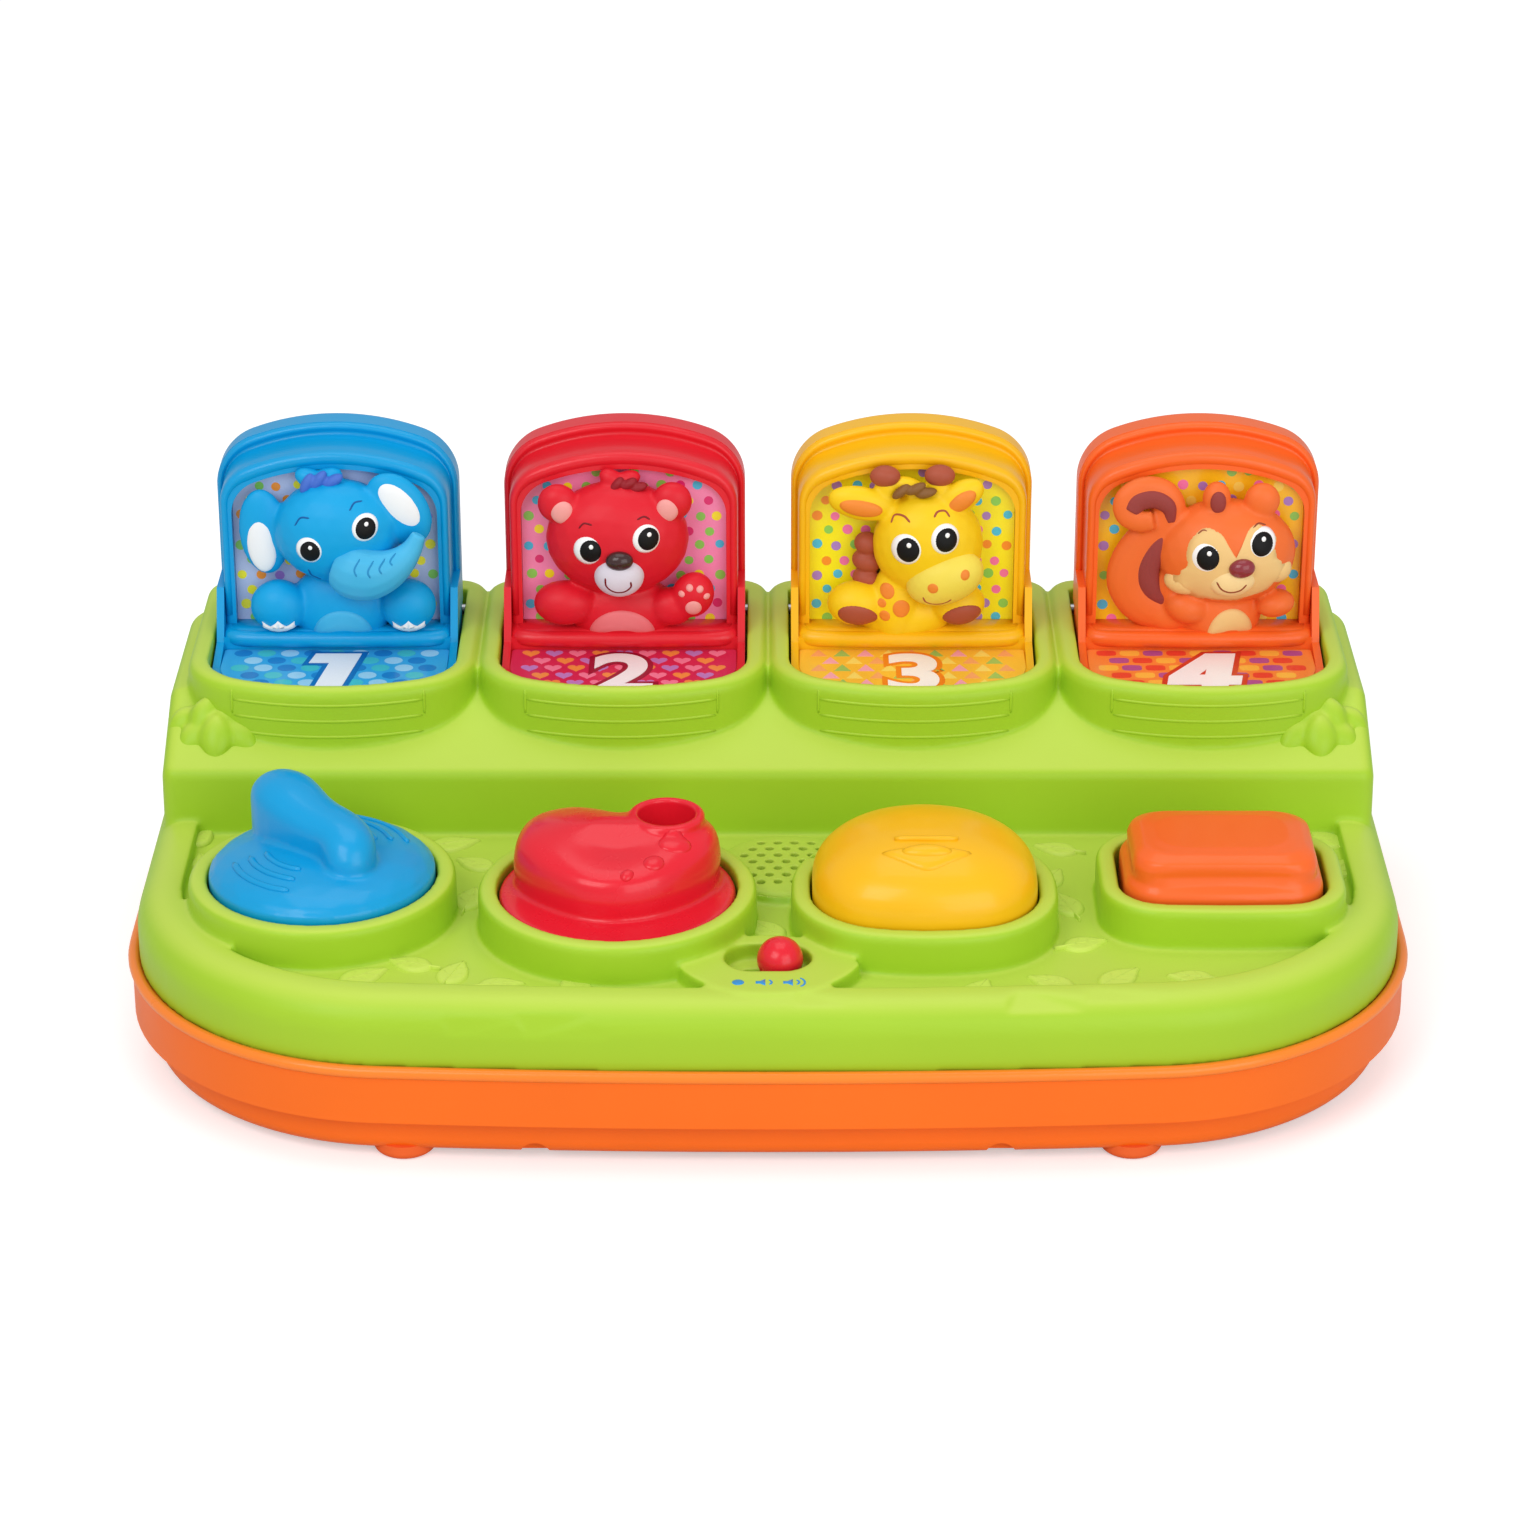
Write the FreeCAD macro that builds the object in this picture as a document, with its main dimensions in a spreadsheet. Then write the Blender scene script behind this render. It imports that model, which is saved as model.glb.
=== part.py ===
"""Pop up animal toy: four actuators on a deck release four spring lids in a row of cups.

Millimetres, X to the right, Y to the back, Z up.  The origin is under the middle of
the toy, on the plane that its feet stand on.  The lids are modelled open.
"""
import FreeCAD, Part
import math
import os
import Sketcher

DIMENSIONS = (
    # name, millimetres (or degrees), meaning
    ("tray_half_width", 165.0, "half the width of the base tray"),
    ("tray_half_depth", 98.5, "half the depth of the base tray"),
    ("tray_floor", 2.5, "underside of the tray above the table"),
    ("tray_step", 13.5, "height of the step round the tray"),
    ("tray_inset", 5.0, "how far the foot of the tray is set back below its step"),
    ("tray_wall", 2.5, "wall of the tray"),
    ("joint_height", 28.0, "height of the joint between tray and shell"),
    ("joint_lip", 3.0, "height of the locating lip inside the joint"),
    ("joint_round", 1.6, "rounding of the tray's edge below the joint"),
    ("foot_edge", 4.0, "rounding of the tray's lower edge"),
    ("front_bow", 1500.0, "radius of the bowed front"),
    ("front_corner", 72.0, "radius of the front corners"),
    ("rear_corner", 14.0, "radius of the rear corners"),
    ("foot_radius", 8.0, "radius of a foot"),
    ("foot_sink", 1.5, "depth of a foot's seat in the tray"),
    ("foot_x", 91.0, "distance of the feet from the middle"),
    ("foot_y", 83.0, "distance of the feet in front of and behind the middle"),
    ("foot_round", 2.0, "rounding of a foot"),
    ("notch_x", 58.0, "notches in the tray's front edge, from the middle"),
    ("notch_radius", 3.6, "radius of the notches"),
    ("shell_inset", 2.0, "how far the shell is set back from the tray"),
    ("shell_wall", 2.5, "wall of the shell"),
    ("deck_height", 42.0, "height of the deck"),
    ("rim_height", 46.0, "height of the rounded rim round the deck"),
    ("rim_round", 9.0, "outer rounding of the rim"),
    ("rim_width", 12.0, "width of the rim in plan"),
    ("riser_foot", 9.4, "where the deck ends and the riser starts"),
    ("riser_lean", 1.2, "how far the riser leans back"),
    ("riser_top", 59.5, "height of the riser"),
    ("slope_rear", 37.0, "where the slope in front of the cups ends"),
    ("slope_top", 72.5, "height of the slope at its rear"),
    ("slope_round", 3.5, "rounding of the riser's top edge"),
    ("step_half_width", 160.5, "half the width of the step"),
    ("lid_pitch", 77.8, "distance from lid to lid"),
    ("lid_half_width", 32.65, "half the width of a lid"),
    ("lid_top", 135.0, "height of an open lid"),
    ("lid_back", 82.0, "rear face of an open lid"),
    ("lid_crown", 65.0, "radius of the lid's crown"),
    ("lid_shoulder", 15.0, "radius of the lid's shoulders"),
    ("lid_gap", 0.65, "gap between a lid and its cup"),
    ("cover_depth", 9.0, "depth of the lid's rear cover"),
    ("cover_wall", 2.0, "wall of the lid's rear cover"),
    ("cover_round", 3.0, "rounding of the cover's rear edge"),
    ("frame_inset", 2.0, "how far the lid's frame is set in from its cover"),
    ("frame_drop", 4.0, "how far the frame's crown lies below the cover's"),
    ("frame_front", 60.0, "front face of the lid's frame"),
    ("frame_border", 3.0, "width of the frame beside the backdrop"),
    ("frame_brow", 4.7, "width of the frame above the backdrop"),
    ("frame_web", 2.0, "wall of the frame behind the backdrop"),
    ("frame_round", 1.4, "rounding of the frame's front edge"),
    ("backdrop_front", 63.0, "front face of the backdrop card"),
    ("backdrop_thick", 0.6, "thickness of the backdrop card"),
    ("shelf_height", 79.6, "height of the shelf under the figure"),
    ("shelf_front", 54.0, "front edge of the shelf"),
    ("shelf_thick", 3.6, "thickness of the shelf"),
    ("panel_top", 76.0, "height of the number panel"),
    ("panel_thick", 2.0, "thickness of the number panel"),
    ("panel_front", 25.0, "front edge of the number panel"),
    ("label_thick", 0.4, "thickness of the number label"),
    ("cheek_rise", 2.4, "rise of the cheeks above the number panel"),
    ("cheek_front", 42.0, "front end of the cheeks"),
    ("cheek_top", 92.0, "upper end of the cheeks beside the frame"),
    ("hinge_y", 82.5, "lid hinge axis behind the middle"),
    ("hinge_z", 76.0, "lid hinge axis above the table"),
    ("rod_radius", 1.5, "radius of the hinge rods and of the rocker's pin"),
    ("rod_fit", 0.06, "running clearance round rods and shafts"),
    ("rod_seat", 2.5, "depth of a rod's seat in the cup wall"),
    ("lug_radius", 3.6, "radius of a hinge lug"),
    ("lug_width", 8.0, "width of a hinge lug"),
    ("lug_x", 20.0, "inner face of a hinge lug from the lid's middle"),
    ("coil_radius", 2.8, "mean radius of a lid's spring"),
    ("coil_pitch", 1.6, "pitch of a lid's spring"),
    ("coil_turns", 6.0, "turns of a lid's spring"),
    ("cup_wall", 4.0, "front wall of a cup"),
    ("cup_top", 80.0, "height of the cups"),
    ("cup_round", 3.2, "rounding of the cups' rims"),
    ("cup_rear", 96.5, "rear face of the cups"),
    ("cup_rear_corner", 8.0, "radius of the cups' rear corners"),
    ("cup_skirt", 60.0, "lower end of the cup walls inside the shell"),
    ("well_rear", 88.0, "rear face of a cup's well"),
    ("ring_top", 53.0, "height of the rings round the actuators"),
    ("ring_wall", 4.8, "wall of the rings"),
    ("ring_round", 2.0, "rounding of the rings"),
    ("ring_gap", 0.5, "gap between a ring and its actuator"),
    ("seat_gap", 0.3, "clearance under and beside what moves"),
    ("knob_x", 114.0, "turn knob left of the middle"),
    ("knob_y", 35.0, "turn knob in front of the middle"),
    ("knob_radius", 28.9, "radius of the turn knob"),
    ("knob_skirt", 54.5, "height of the knob's skirt"),
    ("knob_dome", 7.5, "rise of the knob's dome"),
    ("grip_top", 75.0, "height of the head of the knob's grip"),
    ("grip_length", 50.0, "length of the knob's grip"),
    ("grip_head", 15.0, "length of the high head of the grip"),
    ("grip_low", 65.0, "height of the tail of the knob's grip"),
    ("grip_width", 15.0, "width of the knob's grip"),
    ("grip_round", 4.5, "rounding of the knob's grip"),
    ("shaft_radius", 6.0, "radius of the actuators' shafts"),
    ("shaft_end", 32.0, "lower end of the actuators' shafts"),
    ("cam_radius", 11.0, "radius of the cams under the deck"),
    ("cam_thick", 4.0, "thickness of the cams"),
    ("washer_radius", 7.5, "radius of the screws' washer heads under the cams"),
    ("washer_thick", 1.8, "thickness of the washer heads"),
    ("dial_x", 38.3, "finger dial left of the middle"),
    ("dial_y", 42.2, "finger dial in front of the middle"),
    ("dial_radius", 30.2, "radius of the finger dial"),
    ("dial_flange", 51.5, "height of the dial's flange"),
    ("dial_top", 69.5, "height of the dial's lobes"),
    ("dial_dome", 5.0, "rise of the domed top of a lobe"),
    ("lobe_radius", 14.0, "radius of a lobe of the dial"),
    ("lobe_x", 12.5, "distance of the lobes from the dial's middle line"),
    ("lobe_y", 8.0, "distance of the lobes behind the dial's middle"),
    ("side_radius", 15.8, "radius of the dial's sides"),
    ("side_x", 6.2, "distance of the sides' middles from the dial's middle line"),
    ("side_y", 1.6, "distance of the sides' middles behind the dial's middle"),
    ("chin_radius", 17.0, "radius of the dial's front"),
    ("chin_y", 3.0, "distance of the front's middle in front of the dial's middle"),
    ("well_radius", 8.0, "radius of the dial's finger well"),
    ("well_depth", 11.0, "depth of the dial's finger well"),
    ("button_x", 39.8, "push button right of the middle"),
    ("button_y", 42.2, "push button in front of the middle"),
    ("button_radius", 28.6, "radius of the push button"),
    ("button_flat", 24.5, "distance of the button's flat front from its middle"),
    ("button_bow", 60.0, "radius of the button's front"),
    ("button_corner", 20.0, "radius of the button's front corners"),
    ("button_tail", 26.0, "radius of the button's rear"),
    ("button_top", 70.0, "height of the button's dome"),
    ("button_brow", 58.0, "height of the button's upright wall"),
    ("button_round", 5.0, "rounding of the button's brow"),
    ("button_dome_x", 26.3, "half length of the button's dome"),
    ("button_dome_y", 24.3, "half width of the button's dome"),
    ("button_dome_back", 2.0, "how far the dome lies behind the button's middle"),
    ("button_wall", 2.4, "wall of the push button"),
    ("stem_radius", 5.0, "radius of the push button's stem"),
    ("clip_radius", 8.0, "radius of the clip on the stem"),
    ("clip_thick", 2.5, "thickness of the clip on the stem"),
    ("button_travel", 5.0, "travel of the push button"),
    ("spring_radius", 8.0, "mean radius of the button's spring"),
    ("spring_turns", 6.0, "turns of the button's spring"),
    ("spring_fall", 1.9, "how far the dome falls away above the spring"),
    ("wire_radius", 0.6, "radius of the spring wire"),
    ("rocker_x", 115.9, "rocker right of the middle"),
    ("rocker_y", 33.3, "rocker in front of the middle"),
    ("rocker_half_length", 25.4, "half the length of the rocker"),
    ("rocker_half_width", 18.6, "half the width of the rocker"),
    ("rocker_bow", 200.0, "radius of the rocker's front side"),
    ("rocker_corner", 10.0, "corner radius of the rocker"),
    ("rocker_gap", 1.2, "gap between the rocker and its ring"),
    ("rocker_skirt", 56.5, "height of the rocker's skirt"),
    ("rocker_top", 63.5, "height of the rocker's bar"),
    ("bar_half_length", 22.3, "half the length of the rocker's bar"),
    ("bar_half_width", 14.2, "half the width of the rocker's bar"),
    ("bar_corner", 8.0, "corner radius of the rocker's bar"),
    ("bar_round", 4.0, "rounding of the rocker's bar"),
    ("bar_ahead", 1.8, "how far the bar lies in front of the rocker's middle"),
    ("waist_radius", 24.0, "radius of the hollows in the rocker's bar"),
    ("waist_depth", 1.0, "depth of the hollows in the rocker's bar"),
    ("rocker_floor", 44.0, "underside of the rocker"),
    ("rocker_wall", 2.4, "wall of the rocker"),
    ("pivot_height", 47.5, "height of the rocker's pin"),
    ("pin_seat", 3.0, "depth of the pin's seats in the ring"),
    ("tab_half_width", 3.0, "half the width of the rocker's tab"),
    ("tab_end", 36.0, "lower end of the rocker's tab"),
    ("volume_y", 69.5, "volume switch in front of the middle"),
    ("volume_plate_y", 73.0, "volume plate in front of the middle"),
    ("volume_half_width", 23.0, "half the width of the volume plate"),
    ("volume_half_depth", 16.0, "half the depth of the volume plate"),
    ("volume_top", 46.5, "height of the volume plate"),
    ("slot_half_length", 10.8, "half the length of the volume slot"),
    ("slot_half_width", 7.2, "half the width of the volume slot"),
    ("slot_depth", 4.5, "depth of the volume slot"),
    ("slider_radius", 5.8, "radius of the volume knob"),
    ("slider_sink", 3.5, "depth of the volume knob's flat below its middle"),
    ("slider_x", 3.0, "resting place of the volume knob"),
    ("slider_left", 8.0, "travel of the volume knob to the left"),
    ("slider_right", 1.5, "travel of the volume knob to the right"),
    ("slider_stem", 1.4, "radius of the volume knob's stem"),
    ("switch_depth", 8.5, "depth of the switch under the deck"),
    ("speaker_x", 4.8, "loudspeaker right of the middle"),
    ("speaker_y", 13.5, "loudspeaker in front of the middle"),
    ("speaker_radius", 18.5, "radius of the loudspeaker grille"),
    ("speaker_rise", 2.5, "rise of the grille above the deck"),
    ("speaker_round", 2.0, "rounding of the grille's edge"),
    ("basket_radius", 17.5, "upper radius of the loudspeaker's basket"),
    ("basket_depth", 6.0, "depth of the loudspeaker's basket"),
    ("magnet_radius", 9.0, "radius of the loudspeaker's magnet"),
    ("magnet_depth", 7.0, "depth of the loudspeaker's magnet"),
    ("hole_radius", 1.1, "radius of a hole in the grille"),
    ("hole_pitch", 4.4, "distance from hole to hole"),
    ("post_x", 150.0, "side screw posts from the middle"),
    ("post_y", 59.0, "front screw posts in front of the middle"),
    ("post_rear", 83.5, "rear screw posts behind the middle"),
    ("post_radius", 4.2, "radius of the screw posts"),
    ("screw_radius", 1.4, "radius of the screws"),
    ("screw_head", 2.7, "radius of the screw heads"),
    ("cell_radius", 7.2, "radius of a battery cell"),
    ("cell_length", 50.0, "length of a battery cell"),
    ("bay_y", 3.0, "battery bay behind the middle"),
    ("bay_wall", 2.0, "wall of the battery bay"),
    ("contact_thick", 0.5, "thickness of the battery contacts"),
    ("door_thick", 2.2, "thickness of the battery door"),
    ("door_edge", 4.0, "rim that carries the battery door"),
    ("door_screw_out", 5.0, "distance of the door's screw from the bay"),
    ("door_tab", 4.5, "radius of the door's screw tab"),
    ("board_thick", 1.6, "thickness of the circuit board"),
    ("board_level", 14.0, "underside of the circuit board"),
    ("board_left", 38.0, "left end of the circuit board"),
    ("board_length", 62.0, "length of the circuit board"),
    ("board_width", 46.0, "width of the circuit board"),
    ("board_y", 8.0, "middle of the circuit board in front of the middle"),
    ("board_inset", 4.0, "distance of the board's screws from its edges"),
    ("chip_width", 14.0, "width of the board's chip"),
    ("chip_thick", 1.5, "thickness of the board's chip"),
    ("can_radius", 3.0, "radius of the board's capacitor"),
    ("can_height", 6.0, "height of the board's capacitor"),
    ("can_inset", 12.0, "distance of the capacitor from the board's end"),
    ("latch_width", 9.0, "width of a latch slide"),
    ("latch_thick", 2.6, "thickness of a latch slide"),
    ("latch_low", 35.0, "underside of a latch slide's bar"),
    ("latch_nose", 24.2, "tip of a latch slide's nose"),
    ("latch_riser", 18.0, "front face of a latch slide's riser"),
    ("latch_high", 57.5, "top of a latch slide's nose"),
    ("latch_travel", 4.0, "travel of a latch slide"),
    ("guide_front", 12.0, "front of the latch guides in front of the middle"),
    ("guide_length", 10.0, "length of the latch guides"),
    ("guide_wall", 2.0, "wall of the latch guides"),
)

LIDS = ("elephant", "bear", "giraffe", "squirrel")
ARCH = "XZ_Plane"
PLAN = "XY_Plane"

doc = FreeCAD.newDocument("PopUpToy")
sheet = doc.addObject("Spreadsheet::Sheet", "sizes")
nodes = []


class Size:
    """A length that carries its number and the sheet expression that gives it."""

    def __init__(self, text, number):
        self.text = text
        self.number = number

    def joined(self, sign, other, number):
        return Size(f"({self.text} {sign} {as_size(other).text})", number)

    def __float__(self):
        return self.number

    def __add__(self, other):
        return self.joined("+", other, self.number + float(other))

    def __radd__(self, other):
        return as_size(other) + self

    def __sub__(self, other):
        return self.joined("-", other, self.number - float(other))

    def __rsub__(self, other):
        return as_size(other) - self

    def __mul__(self, other):
        return self.joined("*", other, self.number * float(other))

    def __rmul__(self, other):
        return as_size(other) * self

    def __truediv__(self, other):
        return self.joined("/", other, self.number / float(other))

    def __neg__(self):
        return 0 - self


def as_size(value):
    """A plain number or a Size, as a Size."""
    return value if isinstance(value, Size) else Size(repr(float(value)), float(value))


def read_sheet():
    """Write the driving dimensions into the sheet and give them back by name."""
    for row, (name, value, meaning) in enumerate(DIMENSIONS, start=1):
        sheet.set(f"A{row}", meaning)
        sheet.set(f"B{row}", str(value))
        sheet.setAlias(f"B{row}", name)
    doc.recompute()
    return {name: Size(f"sizes.{name}", float(sheet.get(name))) for name, _, _ in DIMENSIONS}


class Sizes:
    """The driving dimensions as attributes."""

    def __init__(self, values):
        self.__dict__.update(values)


d = Sizes(read_sheet())


# ---------------------------------------------------------------- document helpers

def bind(obj, **sizes):
    """Tie properties of a document object to the sheet."""
    for name, size in sizes.items():
        size = as_size(size)
        setattr(obj, name, size.number)
        obj.setExpression(name, size.text)


def place(obj, x=0.0, y=0.0, z=0.0, axis=(0, 0, 1), turn=0.0):
    """Place a document object, with its position tied to the sheet."""
    spot = [as_size(value) for value in (x, y, z)]
    base = FreeCAD.Vector(*[size.number for size in spot])
    obj.Placement = FreeCAD.Placement(base, FreeCAD.Rotation(FreeCAD.Vector(*axis), turn))
    for letter, size in zip("xyz", spot):
        obj.setExpression(f"Placement.Base.{letter}", size.text)
    return obj


def block(name, x0, x1, y0, y1, z0, z1):
    """A box between two corners."""
    obj = doc.addObject("Part::Box", name)
    bind(obj, Length=as_size(x1) - x0, Width=as_size(y1) - y0, Height=as_size(z1) - z0)
    return place(obj, x0, y0, z0)


def rod(name, radius, x, y, z0, z1):
    """An upright cylinder."""
    obj = doc.addObject("Part::Cylinder", name)
    bind(obj, Radius=radius, Height=as_size(z1) - z0)
    return place(obj, x, y, z0)


def rod_x(name, radius, x0, x1, y, z):
    """A cylinder along X."""
    obj = doc.addObject("Part::Cylinder", name)
    bind(obj, Radius=radius, Height=as_size(x1) - x0)
    return place(obj, x0, y, z, (0, 1, 0), 90)


def rod_y(name, radius, x, y0, y1, z):
    """A cylinder along Y."""
    obj = doc.addObject("Part::Cylinder", name)
    bind(obj, Radius=radius, Height=as_size(y1) - y0)
    return place(obj, x, y0, z, (1, 0, 0), -90)


def egg(name, x, y, z, wide, deep, tall, turn=0.0):
    """An ellipsoid given by its half sizes, turned in the plane of the lid.

    It is joined from its front and rear halves, so none of its faces is closed.
    """
    halves = []
    tilt = FreeCAD.Rotation(FreeCAD.Vector(0, 1, 0), turn)
    for side, about in (("front", 180), ("rear", 0)):
        obj = doc.addObject("Part::Ellipsoid", f"{name}_{side}")
        bind(obj, Radius1=tall, Radius2=wide, Radius3=deep)
        obj.Angle1, obj.Angle2, obj.Angle3 = -90, 90, 180
        halves.append(place(obj, x, y, z))
        facing = FreeCAD.Rotation(FreeCAD.Vector(0, 0, 1), about)
        obj.Placement = FreeCAD.Placement(obj.Placement.Base, tilt.multiply(facing))
    return fuse(name, halves, refine=False)


def fuse(name, parts, refine=True):
    """The union of several objects."""
    obj = doc.addObject("Part::MultiFuse", name)
    obj.Shapes = list(parts)
    obj.Refine = refine
    return obj


def cut(name, base, tool, refine=True):
    """One object less another."""
    obj = doc.addObject("Part::Cut", name)
    obj.Base = base
    obj.Tool = tool
    obj.Refine = refine
    return obj


def common(name, parts):
    """What several objects share."""
    obj = doc.addObject("Part::MultiCommon", name)
    obj.Shapes = list(parts)
    return obj


def group(name, parts):
    """Several separate solids in one sub-part."""
    obj = doc.addObject("Part::Compound", name)
    obj.Links = list(parts)
    return obj


def keep(obj, name):
    """Name a finished sub-part."""
    obj.Label = name
    nodes.append(obj)
    return obj


# ---------------------------------------------------------------- sketched bodies

def new_body(name):
    return doc.addObject("PartDesign::Body", name)


def new_sketch(body, plane, level):
    """A sketch on one of the body's origin planes, lifted along its normal."""
    sketch = body.newObject("Sketcher::SketchObject", body.Name + "_sketch")
    support = [item for item in body.Origin.OriginFeatures if item.Role == plane][0]
    sketch.AttachmentSupport = [(support, "")]
    sketch.MapMode = "FlatFace"
    level = as_size(level)
    sketch.AttachmentOffset = FreeCAD.Placement(
        FreeCAD.Vector(0, 0, level.number), FreeCAD.Rotation()
    )
    sketch.setExpression("AttachmentOffset.Base.z", level.text)
    return sketch


def rule(sketch, kind, *args):
    """Add a constraint; a Size as last value ties it to the sheet."""
    if isinstance(args[-1], Size):
        index = sketch.addConstraint(Sketcher.Constraint(kind, *args[:-1], args[-1].number))
        sketch.setExpression(f"Constraints[{index}]", args[-1].text)
        return
    sketch.addConstraint(Sketcher.Constraint(kind, *args))


def near_end(curve, point):
    """1 where the curve starts at the point, 2 where it ends there."""
    start = curve.StartPoint.distanceToPoint(point)
    return 1 if start < curve.EndPoint.distanceToPoint(point) else 2


def through(start, middle, end):
    """An arc through three points, always stored counterclockwise."""
    turn = (middle - start).cross(end - middle).z
    return Part.Arc(start, middle, end) if turn > 0 else Part.Arc(end, middle, start)


def bow_outline(sketch, mid, half, front, rear, bow, corner, tail):
    """Closed outline with a bowed front, round front corners and straight sides.

    The bow lies at front and bulges away from rear; tail is the radius of the rear
    corners.
    """
    mid, half, front, rear = [as_size(value) for value in (mid, half, front, rear)]
    bow, corner, tail = [as_size(value) for value in (bow, corner, tail)]
    sense = 1 if front.number < rear.number else -1
    low, high = sense * front.number, sense * rear.number
    reach = half.number - corner.number
    bow_mid = low + bow.number
    corner_mid = bow_mid - math.sqrt((bow.number - corner.number) ** 2 - reach ** 2)
    stretch = bow.number / (bow.number - corner.number)
    touch_x = reach * stretch
    touch_y = bow_mid + (corner_mid - bow_mid) * stretch
    lean = math.atan2(reach, bow_mid - corner_mid)
    turn = (math.pi / 2 + lean) / 2
    slack = math.sqrt(0.5)

    def at(x, y):
        return FreeCAD.Vector(mid.number + x, sense * y, 0)

    edge, back = half.number, high - tail.number
    inner = edge - tail.number
    right = [
        at(inner, high), at(inner + tail.number * slack, back + tail.number * slack),
        at(edge, back), at(edge, corner_mid),
        at(reach + corner.number * math.sin(turn), corner_mid - corner.number * math.cos(turn)),
        at(touch_x, touch_y),
    ]
    left = [FreeCAD.Vector(2 * mid.number - p.x, p.y, 0) for p in right]
    curves = [
        Part.LineSegment(left[0], right[0]),
        through(right[0], right[1], right[2]),
        Part.LineSegment(right[2], right[3]),
        through(right[3], right[4], right[5]),
        through(right[5], at(0, low), left[5]),
        through(left[5], left[4], left[3]),
        Part.LineSegment(left[3], left[2]),
        through(left[2], left[1], left[0]),
    ]
    joints = [right[0], right[2], right[3], right[5], left[5], left[3], left[2], left[0]]
    for curve in curves:
        sketch.addGeometry(curve, False)
    shapes = sketch.Geometry
    for index, point in enumerate(joints):
        after = (index + 1) % len(curves)
        rule(sketch, "Tangent", index, near_end(shapes[index], point),
             after, near_end(shapes[after], point))
    rule(sketch, "Horizontal", 0)
    rule(sketch, "Vertical", 2)
    rule(sketch, "Vertical", 6)
    rule(sketch, "Radius", 1, tail)
    rule(sketch, "Radius", 7, tail)
    rule(sketch, "Radius", 3, corner)
    rule(sketch, "Radius", 5, corner)
    rule(sketch, "Radius", 4, bow)
    rule(sketch, "DistanceX", -1, 1, 2, 1, mid + half)
    rule(sketch, "DistanceX", -1, 1, 6, 1, mid - half)
    rule(sketch, "DistanceY", -1, 1, 0, 1, rear)
    rule(sketch, "DistanceY", -1, 1, 4, 3, front + sense * bow)
    rule(sketch, "DistanceX", -1, 1, 4, 3, mid)


def polygon(sketch, points):
    """Closed polygon with each corner tied to the sheet."""
    spots = [(as_size(x), as_size(y)) for x, y in points]
    corners = [FreeCAD.Vector(x.number, y.number, 0) for x, y in spots]
    for index, corner in enumerate(corners):
        sketch.addGeometry(Part.LineSegment(corner, corners[(index + 1) % len(corners)]), False)
    for index, (x, y) in enumerate(spots):
        rule(sketch, "Coincident", index, 2, (index + 1) % len(corners), 1)
        rule(sketch, "DistanceX", -1, 1, index, 1, x)
        rule(sketch, "DistanceY", -1, 1, index, 1, y)


def circle(sketch, x, y, radius):
    """Circle tied to the sheet."""
    x, y, radius = as_size(x), as_size(y), as_size(radius)
    centre = FreeCAD.Vector(x.number, y.number, 0)
    index = sketch.addGeometry(
        Part.Circle(centre, FreeCAD.Vector(0, 0, 1), radius.number), False
    )
    rule(sketch, "DistanceX", -1, 1, index, 3, x)
    rule(sketch, "DistanceY", -1, 1, index, 3, y)
    rule(sketch, "Radius", index, radius)


def pad(body, sketch, length, both_ways=False):
    """Pad a sketch along its normal."""
    feature = body.newObject("PartDesign::Pad", body.Name + "_pad")
    feature.Profile = sketch
    feature.Midplane = both_ways
    bind(feature, Length=length)
    doc.recompute()
    return feature


def pocket(body, sketch, depth, along_normal=False):
    """Cut a sketch into the body, against its normal unless told otherwise."""
    before = body.Shape.Volume
    feature = body.newObject("PartDesign::Pocket", body.Name + "_pocket")
    feature.Profile = sketch
    feature.Reversed = along_normal
    bind(feature, Length=depth)
    doc.recompute()
    if not body.Shape.Volume < before:
        raise RuntimeError(f"{feature.Name} cuts nothing")
    return feature


def round_edges(body, radius, chosen):
    """Fillet those edges of the body that the test picks."""
    names = [f"Edge{i + 1}" for i, edge in enumerate(body.Shape.Edges) if chosen(edge)]
    base = body.Tip
    feature = body.newObject("PartDesign::Fillet", body.Name + "_round")
    feature.Base = (base, names)
    bind(feature, Radius=radius)
    doc.recompute()
    return feature


def at_level(level, axis="Z"):
    """Test for edges that lie wholly at one level of an axis."""
    def test(edge):
        box = edge.BoundBox
        low, high = getattr(box, axis + "Min"), getattr(box, axis + "Max")
        return abs(low - float(level)) < 1e-3 and abs(high - float(level)) < 1e-3
    return test


def outline_pad(name, z0, z1, *outline):
    """A body padded upwards from a bowed outline."""
    body = new_body(name)
    sketch = new_sketch(body, PLAN, z0)
    bow_outline(sketch, *outline)
    pad(body, sketch, as_size(z1) - z0)
    return body


def tray_outline(inset):
    """The outline of the tray, set back by an inset."""
    return (
        0, d.tray_half_width - inset, inset - d.tray_half_depth, d.tray_half_depth - inset,
        d.front_bow - inset, d.front_corner - inset, d.rear_corner - inset,
    )


def lid_mid(index):
    """X of a lid's middle plane."""
    return (index - 1.5) * d.lid_pitch


def screw_spots():
    """Middles of the six screw posts."""
    lane = d.lid_pitch
    return (
        (-lane, -d.post_y), (lane, -d.post_y),
        (-d.post_x, d.riser_foot), (d.post_x, d.riser_foot),
        (-lane, d.post_rear), (lane, d.post_rear),
    )


def hypotenuse(one, other):
    """The long side of a right angle."""
    one, other = as_size(one), as_size(other)
    return Size(f"sqrt(({one.text})^2 + ({other.text})^2)", math.hypot(float(one), float(other)))


# ---------------------------------------------------------------- places worked out once

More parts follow.
